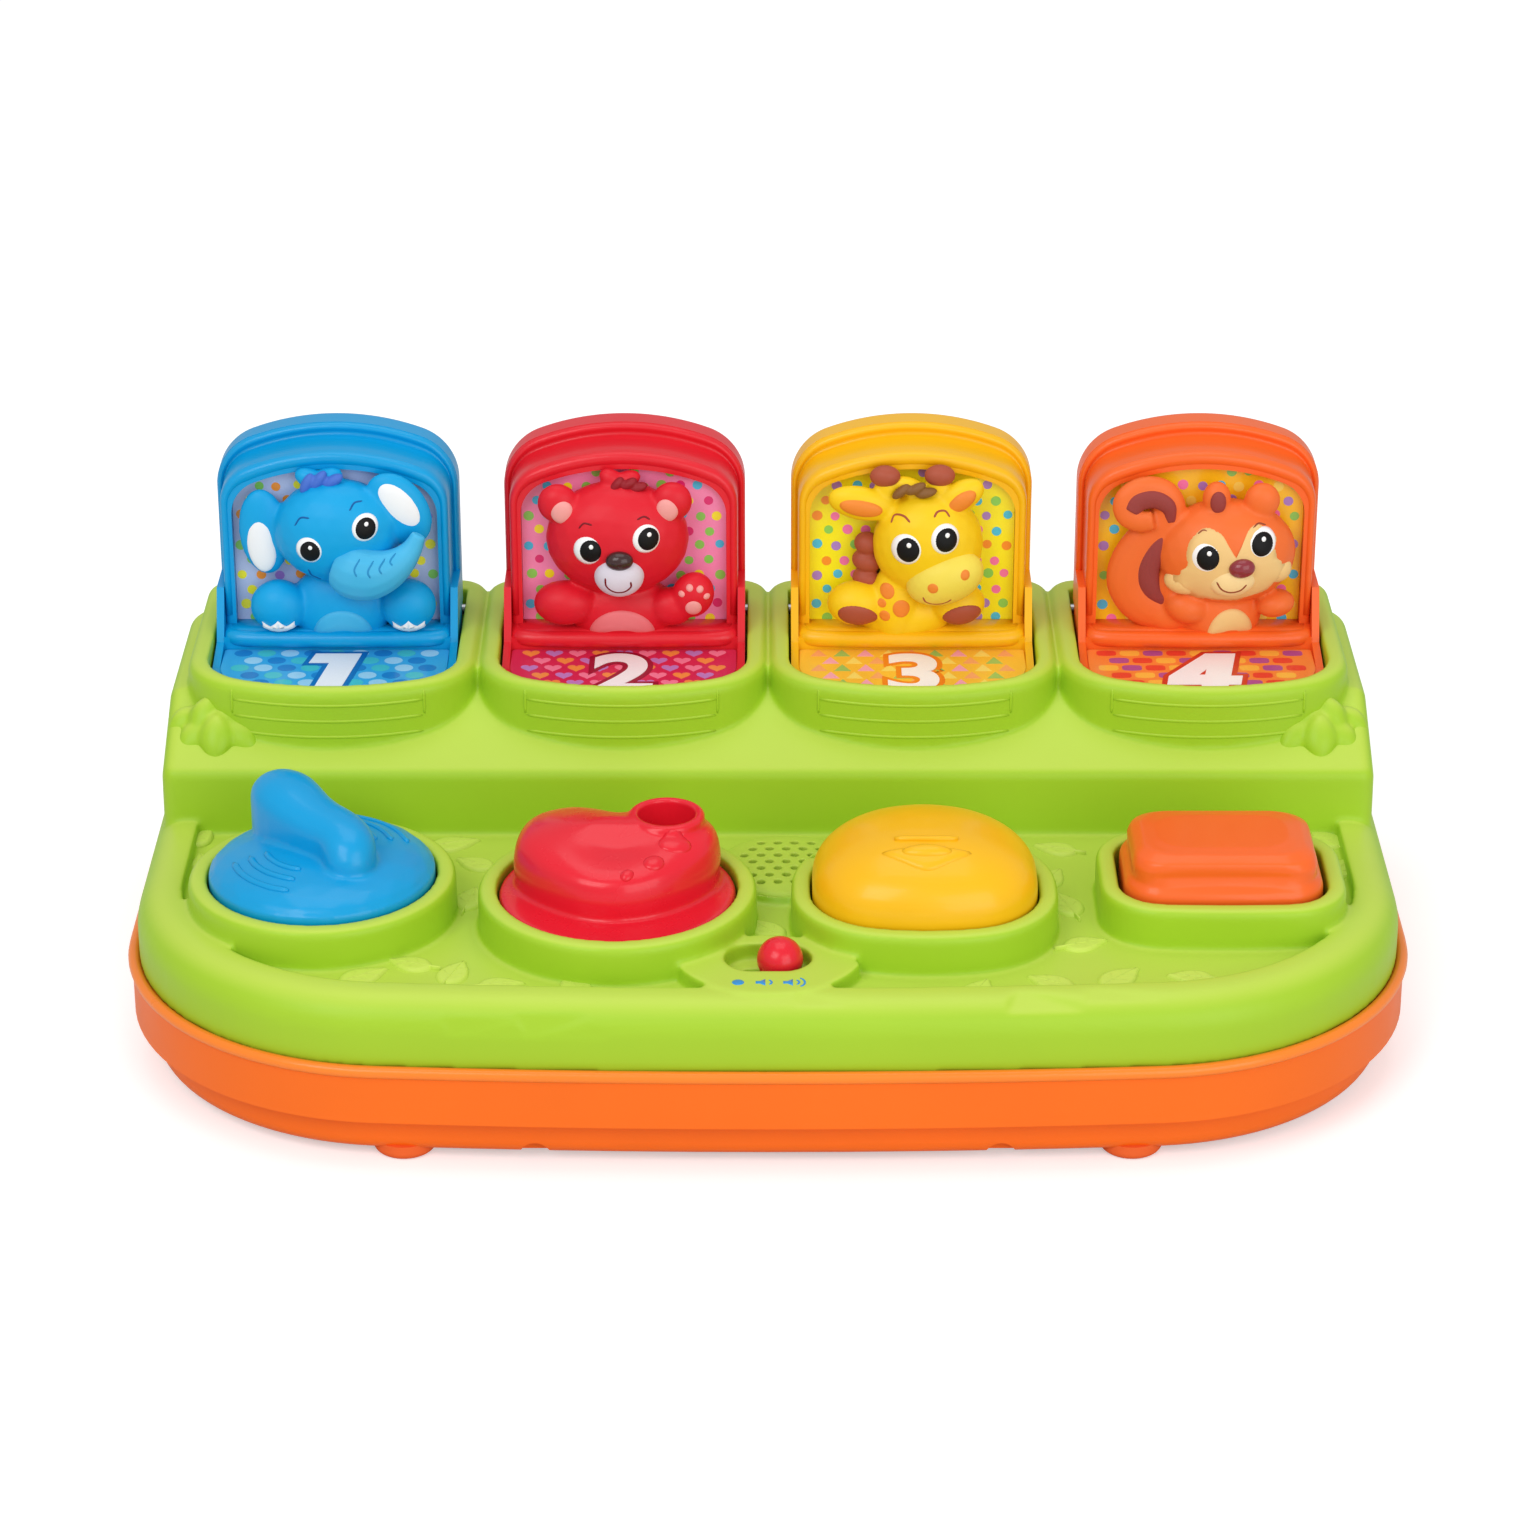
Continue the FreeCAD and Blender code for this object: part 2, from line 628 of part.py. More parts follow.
deck_under = d.deck_height - d.shell_wall
cover_front = d.lid_back - d.cover_depth
cover_bottom = d.hinge_z + d.lug_radius + d.seat_gap
frame_top = d.lid_top - d.frame_drop
frame_half = d.lid_half_width - d.frame_inset
backdrop_half = frame_half - d.frame_border
backdrop_top = frame_top - d.frame_brow
panel_bottom = d.panel_top - d.panel_thick
well_half = d.lid_half_width + d.lid_gap
well_front = d.hinge_y - d.lid_gap - hypotenuse(
    d.lid_top - d.hinge_z, d.hinge_y - cover_front
)
cell_pitch = 2 * d.cell_radius + d.seat_gap
bay_half_length = d.cell_length / 2 + d.contact_thick + d.seat_gap
bay_half_width = 1.5 * cell_pitch + d.seat_gap
bay_roof = d.tray_floor + d.door_thick + cell_pitch + d.seat_gap
cell_height = d.tray_floor + d.door_thick + d.seat_gap + d.cell_radius
door_screw_x = bay_half_length + d.door_screw_out
spring_low = d.deck_height + d.seat_gap
spring_high = d.button_top - d.button_wall - d.spring_fall


def knob_spot():
    return -d.knob_x, -d.knob_y


def dial_spot():
    return -d.dial_x, -d.dial_y


def button_outline(grow):
    """The button's outline, flat in front and round behind, grown by a margin."""
    return (
        d.button_x, d.button_radius + grow,
        -d.button_y - d.button_flat - grow, d.button_radius - d.button_y + grow,
        d.button_bow + grow, d.button_corner + grow, d.button_tail + grow,
    )


def rocker_outline(grow):
    """The rocker's outline, a rounded oblong, grown by a margin."""
    return (
        d.rocker_x, d.rocker_half_length + grow,
        -d.rocker_y - d.rocker_half_width - grow, d.rocker_half_width - d.rocker_y + grow,
        d.rocker_bow + grow, d.rocker_corner + grow, d.rocker_corner + grow,
    )


def well_outline(mid, grow):
    """Plan of a cup's well: the lid's crown with the gap that its swing needs."""
    return (
        mid, well_half + grow, well_front - grow, d.well_rear + grow,
        d.lid_crown + d.lid_gap + grow, d.lid_shoulder + d.lid_gap + grow, d.lid_gap + grow,
    )


def disc(name, x, y, radius, z0, z1, rounding, top=True):
    """A round body with its top or bottom edge rounded."""
    body = new_body(name)
    circle(new_sketch(body, PLAN, z0), x, y, radius)
    pad(body, body.Group[-1], as_size(z1) - z0)
    round_edges(body, rounding, at_level(z1 if top else z0))
    return body


def side_plate(name, x0, width, points):
    """A plate across X with its outline in the YZ plane."""
    body = new_body(name)
    sketch = new_sketch(body, "YZ_Plane", x0)
    polygon(sketch, points)
    pad(body, sketch, width)
    return body


def coil(name, radius, wire, pitch, turns):
    """A helical spring standing on the origin, as a swept wire."""
    radius, pitch, turns = float(radius), float(pitch), float(turns)
    path = Part.makeHelix(pitch, pitch * turns, radius)
    section = Part.makeCircle(
        float(wire), FreeCAD.Vector(radius, 0, 0), FreeCAD.Vector(0, radius, pitch / math.tau)
    )
    obj = doc.addObject("Part::Feature", name)
    sweep = Part.Wire(path.Edges).makePipeShell([Part.Wire([section])], True, True)
    obj.Shape = sweep
    return obj


# ---------------------------------------------------------------- housing

def base_tray():
    """Open tray with a stepped side, a battery bay, screw posts and board posts."""
    band = outline_pad("tray_band", d.tray_step, d.joint_height, *tray_outline(as_size(0)))
    round_edges(band, d.joint_round, at_level(d.joint_height))
    foot = outline_pad("tray_foot", d.tray_floor, d.tray_step, *tray_outline(d.tray_inset))
    round_edges(foot, d.foot_edge, at_level(d.tray_floor))
    lip = outline_pad(
        "tray_lip", d.tray_step, d.joint_height + d.joint_lip,
        *tray_outline(d.shell_inset + d.shell_wall + d.seat_gap),
    )
    inside = outline_pad(
        "tray_inside", d.tray_floor + d.tray_wall, d.joint_height + 2 * d.joint_lip,
        *tray_outline(d.tray_inset + d.tray_wall),
    )
    hollow = cut("tray_hollow", fuse("tray_outer", [band, foot, lip]), inside)
    ledge = d.door_edge + d.bay_wall
    wall = d.bay_wall
    tab_reach = d.door_tab + wall
    solids = [
        hollow,
        block("bay_box", -bay_half_length - wall, bay_half_length + wall,
              d.bay_y - bay_half_width - wall, d.bay_y + bay_half_width + wall,
              d.tray_floor, bay_roof + wall),
        block("bay_ledge", -bay_half_length - ledge, bay_half_length + ledge,
              d.bay_y - bay_half_width - ledge, d.bay_y + bay_half_width + ledge,
              d.tray_floor, d.tray_floor + d.door_thick + wall),
        rod("bay_boss", tab_reach, door_screw_x, d.bay_y, d.tray_floor, bay_roof),
    ]
    for index, (x, y) in enumerate(screw_spots()):
        solids.append(rod(f"tray_post_{index}", d.post_radius, x, y, d.tray_floor, d.joint_height))
    for index, (x, y) in enumerate(board_spots()):
        solids.append(rod(f"board_post_{index}", d.screw_head, x, y, d.tray_floor, d.board_level))
    gap = d.seat_gap
    edge = d.door_edge
    tools = [
        block("bay_space", -bay_half_length, bay_half_length, d.bay_y - bay_half_width,
              d.bay_y + bay_half_width, d.tray_floor - 1, bay_roof),
        block("door_seat", -bay_half_length - edge, bay_half_length + edge,
              d.bay_y - bay_half_width - edge, d.bay_y + bay_half_width + edge,
              d.tray_floor - 1, d.tray_floor + d.door_thick),
        rod("tab_seat", d.door_tab, door_screw_x, d.bay_y, d.tray_floor - 1,
            d.tray_floor + d.door_thick),
        rod("door_thread", d.screw_radius + d.rod_fit, door_screw_x, d.bay_y, d.tray_floor,
            bay_roof - wall),
    ]
    for index, (x, y) in enumerate(screw_spots()):
        tools.append(rod(f"screw_way_{index}", d.screw_radius + d.rod_fit, x, y,
                         d.tray_floor, d.joint_height + 1))
        tools.append(rod(f"head_way_{index}", d.screw_head + gap, x, y,
                         d.tray_floor - 1, d.tray_floor + 2 * d.tray_wall))
    for index, (x, y) in enumerate(board_spots()):
        tools.append(rod(f"board_way_{index}", d.screw_radius + d.rod_fit, x, y,
                         d.tray_floor + d.tray_wall, d.board_level + 1))
    for index, (x, y) in enumerate(foot_spots()):
        tools.append(rod(f"foot_seat_{index}", d.foot_radius + d.rod_fit, x, y,
                         d.tray_floor - 1, d.tray_floor + d.foot_sink))
    for side in (-1, 1):
        tools.append(rod_y(f"notch_{side + 1}", d.notch_radius, side * d.notch_x,
                           -d.tray_half_depth, d.tray_inset + d.tray_wall * 2 - d.tray_half_depth,
                           d.tray_floor))
    keep(cut("tray", fuse("tray_solids", solids), fuse("tray_tools", tools)), "base_tray")


def foot_spots():
    """Middles of the four feet."""
    return [(x * d.foot_x, y * d.foot_y) for y in (-1, 1) for x in (-1, 1)]


def feet():
    """Four soft round feet in their seats under the tray."""
    pads = [
        disc(f"foot_{index}", x, y, d.foot_radius, 0, d.tray_floor + d.foot_sink,
             d.foot_round, top=False)
        for index, (x, y) in enumerate(foot_spots())
    ]
    keep(group("foot_group", pads), "feet")


def step_form(name, wall, low):
    """The raised step behind the deck, set back by a wall thickness."""
    foot = d.riser_foot + wall
    head = d.riser_foot + d.riser_lean + wall
    rear = d.cup_rear - wall
    body = new_body(name)
    sketch = new_sketch(body, "YZ_Plane", 0)
    polygon(sketch, [
        (foot, low), (foot, d.deck_height - wall), (head, d.riser_top - wall),
        (d.slope_rear, d.slope_top - wall), (rear, d.slope_top - wall), (rear, low),
    ])
    pad(body, sketch, 2 * (d.step_half_width - wall), both_ways=True)
    height = float(d.slope_top - wall - low)
    round_edges(body, d.rear_corner - d.shell_inset - wall, lambda edge: (
        edge.BoundBox.ZLength > height - 1e-3
        and abs(edge.BoundBox.YMin - float(rear)) < 1e-3
    ))
    return body


def upper_shell():
    """The shell: rimmed deck, step, four cups, actuator rings, grille and volume plate."""
    inset = d.shell_inset
    deck = outline_pad("deck_form", d.joint_height, d.rim_height, *tray_outline(inset))
    round_edges(deck, d.rim_round, at_level(d.rim_height))
    recess = new_sketch(deck, PLAN, d.rim_height)
    edge = inset + d.rim_width
    bow_outline(
        recess, 0, d.tray_half_width - edge, edge - d.tray_half_depth,
        d.riser_foot + d.rim_width, d.front_bow - edge, d.front_corner - edge, d.rim_round,
    )
    pocket(deck, recess, d.rim_height - d.deck_height)
    step = step_form("step", as_size(0), d.joint_height)
    half = float(d.step_half_width)

    def on_crown(edge):
        box = edge.BoundBox
        side = abs(abs(box.Center.x) - half) < 1e-3
        brow = box.XLength > half and abs(box.ZMax - float(d.riser_top)) < 1e-3
        return box.ZMin > float(d.deck_height) - 1e-3 and (side or brow)

    round_edges(step, d.slope_round, on_crown)
    solids = [deck, step]
    tools = []
    skirts = []
    for index in range(len(LIDS)):
        mid = lid_mid(index)
        outer = list(well_outline(mid, d.cup_wall))
        outer[1], outer[3], outer[6] = d.lid_pitch / 2, d.cup_rear, d.cup_rear_corner
        cup = outline_pad(f"cup_{index}", d.joint_height, d.cup_top, *outer)
        round_edges(cup, d.cup_round, at_level(d.cup_top))
        solids.append(cup)
        skirts.append(outline_pad(f"cup_skirt_{index}", d.cup_skirt, d.cup_top, *outer))
        tools.append(outline_pad(f"well_{index}", d.cup_skirt - 1, d.cup_top + 1,
                                 *well_outline(mid, as_size(0))))
        seat = well_half + d.rod_seat
        tools.append(rod_x(f"rod_seat_{index}", d.rod_radius + d.rod_fit, mid - seat, mid + seat,
                           d.hinge_y, d.hinge_z))
    low = d.joint_height - 1
    tools.append(outline_pad("deck_inside", low, deck_under, *tray_outline(inset + d.shell_wall)))
    step_inside = step_form("step_inside", d.shell_wall, low)
    tools.append(cut("step_space", step_inside, fuse("skirt_set", skirts)))
    outer_form = fuse("shell_outer", solids + shell_details())
    hollow = cut("shell_hollow", outer_form, fuse("shell_spaces", tools))
    keep(cut("shell", fuse("shell_bosses", [hollow] + shell_posts()), shell_holes()),
         "upper_shell")


def shell_details():
    """Rings, grille disc and volume plate that rise from the deck."""
    low = d.deck_height - 1
    margin = d.ring_gap + d.ring_wall
    details = [
        disc("knob_ring", *knob_spot(), d.knob_radius + margin, low, d.ring_top, d.ring_round),
        disc("dial_ring", *dial_spot(), d.dial_radius + margin, low, d.ring_top, d.ring_round),
        outline_pad("button_ring", low, d.ring_top, *button_outline(margin)),
        outline_pad("rocker_ring", low, d.ring_top,
                    *rocker_outline(d.rocker_gap + d.ring_wall)),
        disc("grille", d.speaker_x, -d.speaker_y, d.speaker_radius, low,
             d.deck_height + d.speaker_rise, d.speaker_round),
    ]
    for body in details[2:4]:
        round_edges(body, d.ring_round, at_level(d.ring_top))
    width, depth = d.volume_half_width, d.volume_half_depth
    radius = (width * float(width) + depth * float(depth)) / (2 * depth)
    arcs = [
        rod(f"plate_arc_{side + 1}", radius, 0, side * (radius - depth) - d.volume_plate_y,
            low, d.volume_top)
        for side in (-1, 1)
    ]
    return details + [common("volume_plate", arcs)]


def shell_posts():
    """Screw posts under the deck and under the walls between the cups."""
    posts = []
    for index, (x, y) in enumerate(screw_spots()):
        top = d.cup_skirt if float(y) > float(d.slope_rear) else deck_under
        posts.append(rod(f"shell_post_{index}", d.post_radius, x, y, d.joint_height, top + 1))
    return posts


def stadium(name, x, y, half_length, half_width, z0, z1):
    """An upright slot with round ends along X."""
    run = half_length - half_width
    return fuse(name, [
        block(name + "_bar", x - run, x + run, y - half_width, y + half_width, z0, z1),
        rod(name + "_left", half_width, x - run, y, z0, z1),
        rod(name + "_right", half_width, x + run, y, z0, z1),
    ])


def shell_holes():
    """What is cut from the shell for the actuators, screws, grille and volume switch."""
    above = d.ring_top + 1
    below = deck_under - 1
    gap = d.ring_gap
    tools = [
        rod("knob_bore", d.knob_radius + gap, *knob_spot(), d.deck_height, above),
        rod("knob_hub", d.shaft_radius + d.rod_fit, *knob_spot(), below, above),
        rod("dial_bore", d.dial_radius + gap, *dial_spot(), d.deck_height, above),
        rod("dial_hub", d.shaft_radius + d.rod_fit, *dial_spot(), below, above),
        outline_pad("button_bore", d.deck_height, above, *button_outline(gap)),
        rod("button_hub", d.stem_radius + d.rod_fit, d.button_x, -d.button_y, below, above),
        outline_pad("rocker_bore", below, above, *rocker_outline(d.rocker_gap)),
        rod_y("pin_bore", d.rod_radius + d.rod_fit, d.rocker_x, *pin_ends(), d.pivot_height),
        stadium("slot", 0, -d.volume_y, d.slot_half_length, d.slot_half_width,
                d.volume_top - d.slot_depth, d.volume_top + d.slot_depth),
        stadium("stem_way", slider_mid(), -d.volume_y,
                slider_half_travel() + d.slider_stem + d.seat_gap,
                d.slider_stem + d.seat_gap, below, above),
    ]
    for index, (x, y) in enumerate(screw_spots()):
        tools.append(rod(f"thread_{index}", d.screw_radius + d.rod_fit, x, y,
                         d.joint_height - 1, screw_tip()))
    return fuse("shell_tools", tools + grille_holes(below))


def grille_holes(below):
    """Round holes in rows of six-fold spacing, inside the grille's edge."""
    holes = []
    row_step = d.hole_pitch * math.sqrt(0.75)
    for row in range(-3, 4):
        for column in range(-3, 4):
            across = column + row % 2 / 2
            if math.hypot(across, row * math.sqrt(0.75)) > 3.2:
                continue
            holes.append(rod(f"hole_{row + 3}_{column + 3}", d.hole_radius,
                             d.speaker_x + across * d.hole_pitch,
                             row * row_step - d.speaker_y, below, d.ring_top))
    return holes


def pin_ends():
    """Y of both ends of the rocker's pin."""
    reach = d.rocker_half_width + d.rocker_gap + d.pin_seat
    return -d.rocker_y - reach, reach - d.rocker_y


def slider_mid():
    """X of the middle of the volume knob's travel."""
    return d.slider_x + (d.slider_right - d.slider_left) / 2


def slider_half_travel():
    return (d.slider_right + d.slider_left) / 2


def screw_tip():
    """Height of the tips of the housing screws."""
    return d.joint_height + 4 * d.screw_radius


def screw(name, x, y, seat, tip):
    """A pan head screw from below, with its head under the seat."""
    return fuse(name, [
        rod(name + "_head", d.screw_head, x, y, seat - d.screw_radius, seat),
        rod(name + "_shank", d.screw_radius, x, y, seat, tip),
    ])


def housing_screws():
    """Six screws that hold the tray to the shell."""
    seat = d.tray_floor + 2 * d.tray_wall
    screws = [screw(f"screw_{index}", x, y, seat, screw_tip() - d.seat_gap)
              for index, (x, y) in enumerate(screw_spots())]
    keep(group("screw_group", screws), "housing_screws")


def battery_parts():
    """Door, its screw, three cells and their contacts."""
    gap = d.seat_gap
    length = bay_half_length + d.door_edge - gap
    width = bay_half_width + d.door_edge - gap
    top = d.tray_floor + d.door_thick
    plate = fuse("door_plate", [
        block("door_main", -length, length, d.bay_y - width, d.bay_y + width, d.tray_floor, top),
        rod("door_ear", d.door_tab - gap, door_screw_x, d.bay_y, d.tray_floor, top),
    ])
    way = fuse("door_way", [
        rod("door_hole", d.screw_radius + d.rod_fit, door_screw_x, d.bay_y, 0, top + 1),
        rod("door_sink", d.screw_head + d.rod_fit, door_screw_x, d.bay_y, 0,
            d.tray_floor + d.screw_radius),
    ])
    keep(cut("door", plate, way), "battery_door")
    keep(screw("door_bolt", door_screw_x, d.bay_y, d.tray_floor + d.screw_radius,
               bay_roof - 2 * d.bay_wall), "door_screw")
    cells, contacts = [], []
    for index in (-1, 0, 1):
        y = d.bay_y + index * cell_pitch
        cells.append(rod_x(f"cell_{index + 1}", d.cell_radius, -d.cell_length / 2,
                           d.cell_length / 2, y, cell_height))
        half = d.cell_radius / 2
        for side in (-1, 1):
            outer = side * bay_half_length
            x0 = outer if side < 0 else outer - d.contact_thick
            contacts.append(block(f"contact_{index + 1}_{side + 1}", x0, x0 + d.contact_thick,
                                  y - half, y + half, cell_height - half, cell_height + half))
    keep(group("cell_group", cells), "battery_cells")
    keep(group("contact_group", contacts), "battery_contacts")


def board_spots():
    """Middles of the circuit board's four screws."""
    x0 = d.board_left + d.board_inset
    x1 = d.board_left + d.board_length - d.board_inset
    half = d.board_width / 2 - d.board_inset
    return [(x, side * half - d.board_y) for x in (x0, x1) for side in (-1, 1)]


def electronics():
    """Circuit board with its parts and screws, loudspeaker and volume switch."""
    top = d.board_level + d.board_thick
    half = d.board_width / 2
    x0 = d.board_left
    x1 = x0 + d.board_length
    mid = x0 + d.board_length / 2
    chip = d.chip_width / 2
    board = fuse("board_solids", [
        block("board_plate", x0, x1, -d.board_y - half, half - d.board_y, d.board_level, top),
        block("board_chip", mid - chip, mid + chip, -d.board_y - chip, chip - d.board_y,
              top, top + d.chip_thick),
        rod("board_can", d.can_radius, x1 - d.can_inset, -d.board_y, top, top + d.can_height),
    ])
    holes, screws = [], []
    for index, (x, y) in enumerate(board_spots()):
        holes.append(rod(f"board_hole_{index}", d.screw_radius + d.rod_fit, x, y,
                         d.board_level - 1, top + 1))
        screws.append(fuse(f"board_screw_{index}", [
            rod(f"board_screw_head_{index}", d.screw_head, x, y, top, top + d.screw_radius),
            rod(f"board_screw_shank_{index}", d.screw_radius, x, y,
                d.tray_floor + 2 * d.tray_wall, top),
        ]))
    keep(cut("board", board, fuse("board_holes", holes)), "circuit_board")
    keep(group("board_screw_group", screws), "board_screws")
    rim = deck_under - d.basket_depth
    basket = doc.addObject("Part::Cone", "basket_cone")
    bind(basket, Radius1=d.magnet_radius, Radius2=d.basket_radius, Height=d.basket_depth)
    place(basket, d.speaker_x, -d.speaker_y, rim)
    keep(basket, "speaker_basket")
    keep(rod("magnet", d.magnet_radius, d.speaker_x, -d.speaker_y, rim - d.magnet_depth, rim),
         "speaker_magnet")
    reach = slider_half_travel() + 3 * d.slider_stem
    way = d.slider_stem + d.seat_gap
    body = block("switch_box", slider_mid() - reach, slider_mid() + reach,
                 -d.volume_y - 3 * way, 3 * way - d.volume_y, deck_under - d.switch_depth,
                 deck_under)
    slot = stadium("switch_slot", slider_mid(), -d.volume_y, slider_half_travel() + way, way,
                   deck_under - d.switch_depth / 2, deck_under + 1)
    keep(cut("switch", body, slot), "volume_switch")


def volume_slider():
    """Ball shaped volume knob on a stem that reaches into the switch."""
    floor = d.volume_top - d.slot_depth + d.seat_gap
    ball = doc.addObject("Part::Sphere", "slider_ball")
    bind(ball, Radius=d.slider_radius)
    middle = floor + d.slider_sink
    place(ball, d.slider_x, -d.volume_y, middle)
    size = 2 * d.slider_radius
    under = block("slider_under", d.slider_x - size, d.slider_x + size, -d.volume_y - size,
                  size - d.volume_y, floor - size, floor)
    head = cut("slider_head", ball, under)
    stem = rod("slider_stem_rod", d.slider_stem, d.slider_x, -d.volume_y,
               deck_under - d.switch_depth / 2 + d.seat_gap, middle)
    keep(fuse("slider", [head, stem]), "volume_slider")


def hinge_parts():
    """Steel rods across the cups and the springs round them."""
    rods, springs = [], []
    length = d.coil_pitch * d.coil_turns
    for index in range(len(LIDS)):
        reach = well_half + d.rod_seat - d.seat_gap
        rods.append(rod_x(f"hinge_rod_{index}", d.rod_radius, lid_mid(index) - reach,
                          lid_mid(index) + reach, d.hinge_y, d.hinge_z))
        spring = coil(f"lid_coil_{index}", d.coil_radius, d.wire_radius, d.coil_pitch,
                      d.coil_turns)
        place(spring, lid_mid(index) - length / 2, d.hinge_y, d.hinge_z, (0, 1, 0), 90)
        springs.append(spring)
    keep(group("rod_group", rods), "hinge_rods")
    keep(group("spring_group", springs), "lid_springs")


# ---------------------------------------------------------------- lids

def arch_body(name, rear, depth, mid, half, top, bottom, shrink):
    """An arch shaped slab that reaches forward from its rear plane."""
    body = new_body(name)
    sketch = new_sketch(body, ARCH, -rear)
    bow_outline(sketch, mid, half, top, bottom, d.lid_crown - shrink,
                d.lid_shoulder - shrink, 1)
    pad(body, sketch, depth)
    return body


def lid_cover(index):
    """Dished rear cover of a lid."""
    mid = lid_mid(index)
    name = f"{LIDS[index]}_cover"
    body = arch_body(name, d.lid_back, d.cover_depth, mid, d.lid_half_width, d.lid_top,
                     cover_bottom, as_size(0))
    round_edges(body, d.cover_round, at_level(d.lid_back, "Y"))
    wall = d.cover_wall
    sketch = new_sketch(body, ARCH, -cover_front)
    bow_outline(sketch, mid, d.lid_half_width - wall, d.lid_top - wall, cover_bottom + wall,
                d.lid_crown - wall, d.lid_shoulder - wall, 1)
    pocket(body, sketch, d.cover_depth - wall)
    keep(body, name)


def lid_frame(index):
    """Arched frame with the shelf, the number panel, the cheeks and the hinge lugs."""
    mid = lid_mid(index)
    name = f"{LIDS[index]}_frame"
    depth = cover_front - d.frame_front
    slab = arch_body(name + "_slab", cover_front, depth, mid, frame_half, frame_top,
                     panel_bottom, d.frame_inset)
    round_edges(slab, d.frame_round, lambda edge: (
        at_level(d.frame_front, "Y")(edge) and edge.BoundBox.ZMax > float(cover_bottom)
    ))
    recess = new_sketch(slab, ARCH, -d.frame_front)
    border = d.frame_inset + d.frame_border
    bow_outline(recess, mid, backdrop_half, backdrop_top, d.shelf_height,
                d.lid_crown - border, d.lid_shoulder - border, 1)
    card_rear = d.backdrop_front + d.backdrop_thick
    pocket(slab, recess, card_rear - d.frame_front)
    hollow = new_sketch(slab, ARCH, -cover_front)
    bow_outline(hollow, mid, backdrop_half, backdrop_top, cover_bottom,
                d.lid_crown - border, d.lid_shoulder - border, 1)
    pocket(slab, hollow, cover_front - card_rear - d.frame_web, along_normal=True)
    panel = outline_pad(name + "_panel", panel_bottom, d.panel_top, mid, d.lid_half_width,
                        d.panel_front, d.frame_front + 1, d.lid_crown, d.lid_shoulder, 1)
    shelf = block(name + "_shelf", mid - frame_half, mid + frame_half, d.shelf_front,
                  d.frame_front + 1, d.shelf_height - d.shelf_thick, d.shelf_height)
    solids = [slab, panel, shelf]
    rise = d.panel_top + d.cheek_rise
    profile = [
        (d.cheek_front, panel_bottom), (d.cheek_front, d.panel_top), (d.shelf_front, rise),
        (d.frame_front, d.cheek_top), (cover_front, d.cheek_top), (cover_front, panel_bottom),
    ]
    for side, x0 in ((0, mid - d.lid_half_width), (1, mid + frame_half)):
        solids.append(side_plate(f"{name}_cheek_{side}", x0, d.frame_inset, profile))
    for side in (-1, 1):
        inner = mid + side * d.lug_x
        x0 = inner if side > 0 else inner - d.lug_width
        x1 = x0 + d.lug_width
        solids.append(rod_x(f"{name}_lug_{side + 1}", d.lug_radius, x0, x1, d.hinge_y, d.hinge_z))
        solids.append(block(f"{name}_web_{side + 1}", x0, x1, cover_front - 1, d.hinge_y,
                            panel_bottom, d.hinge_z + d.lug_radius))
    bore = rod_x(name + "_bore", d.rod_radius + d.rod_fit, mid - d.lid_half_width,
                 mid + d.lid_half_width, d.hinge_y, d.hinge_z)
    keep(cut(name + "_cut", fuse(name + "_solids", solids), bore), name)


def lid_cards(index):
    """Backdrop card behind the figure and label on the number panel."""
    mid = lid_mid(index)
    border = d.frame_inset + d.frame_border
    slack = d.rod_fit
    name = f"{LIDS[index]}_backdrop"
    card = new_body(name)
    sketch = new_sketch(card, ARCH, -d.backdrop_front - d.backdrop_thick)
    bow_outline(sketch, mid, backdrop_half - slack, backdrop_top - slack, d.shelf_height,
                d.lid_crown - border, d.lid_shoulder - border, 1)
    pad(card, sketch, d.backdrop_thick)
    keep(card, name)
    name = f"{LIDS[index]}_number_label"
    gap = d.seat_gap
    label = outline_pad(name, d.panel_top, d.panel_top + d.label_thick, mid,
                        frame_half - gap, d.panel_front + gap, d.shelf_front - gap,
                        d.lid_crown, d.lid_shoulder - gap, 1)
    keep(label, name)


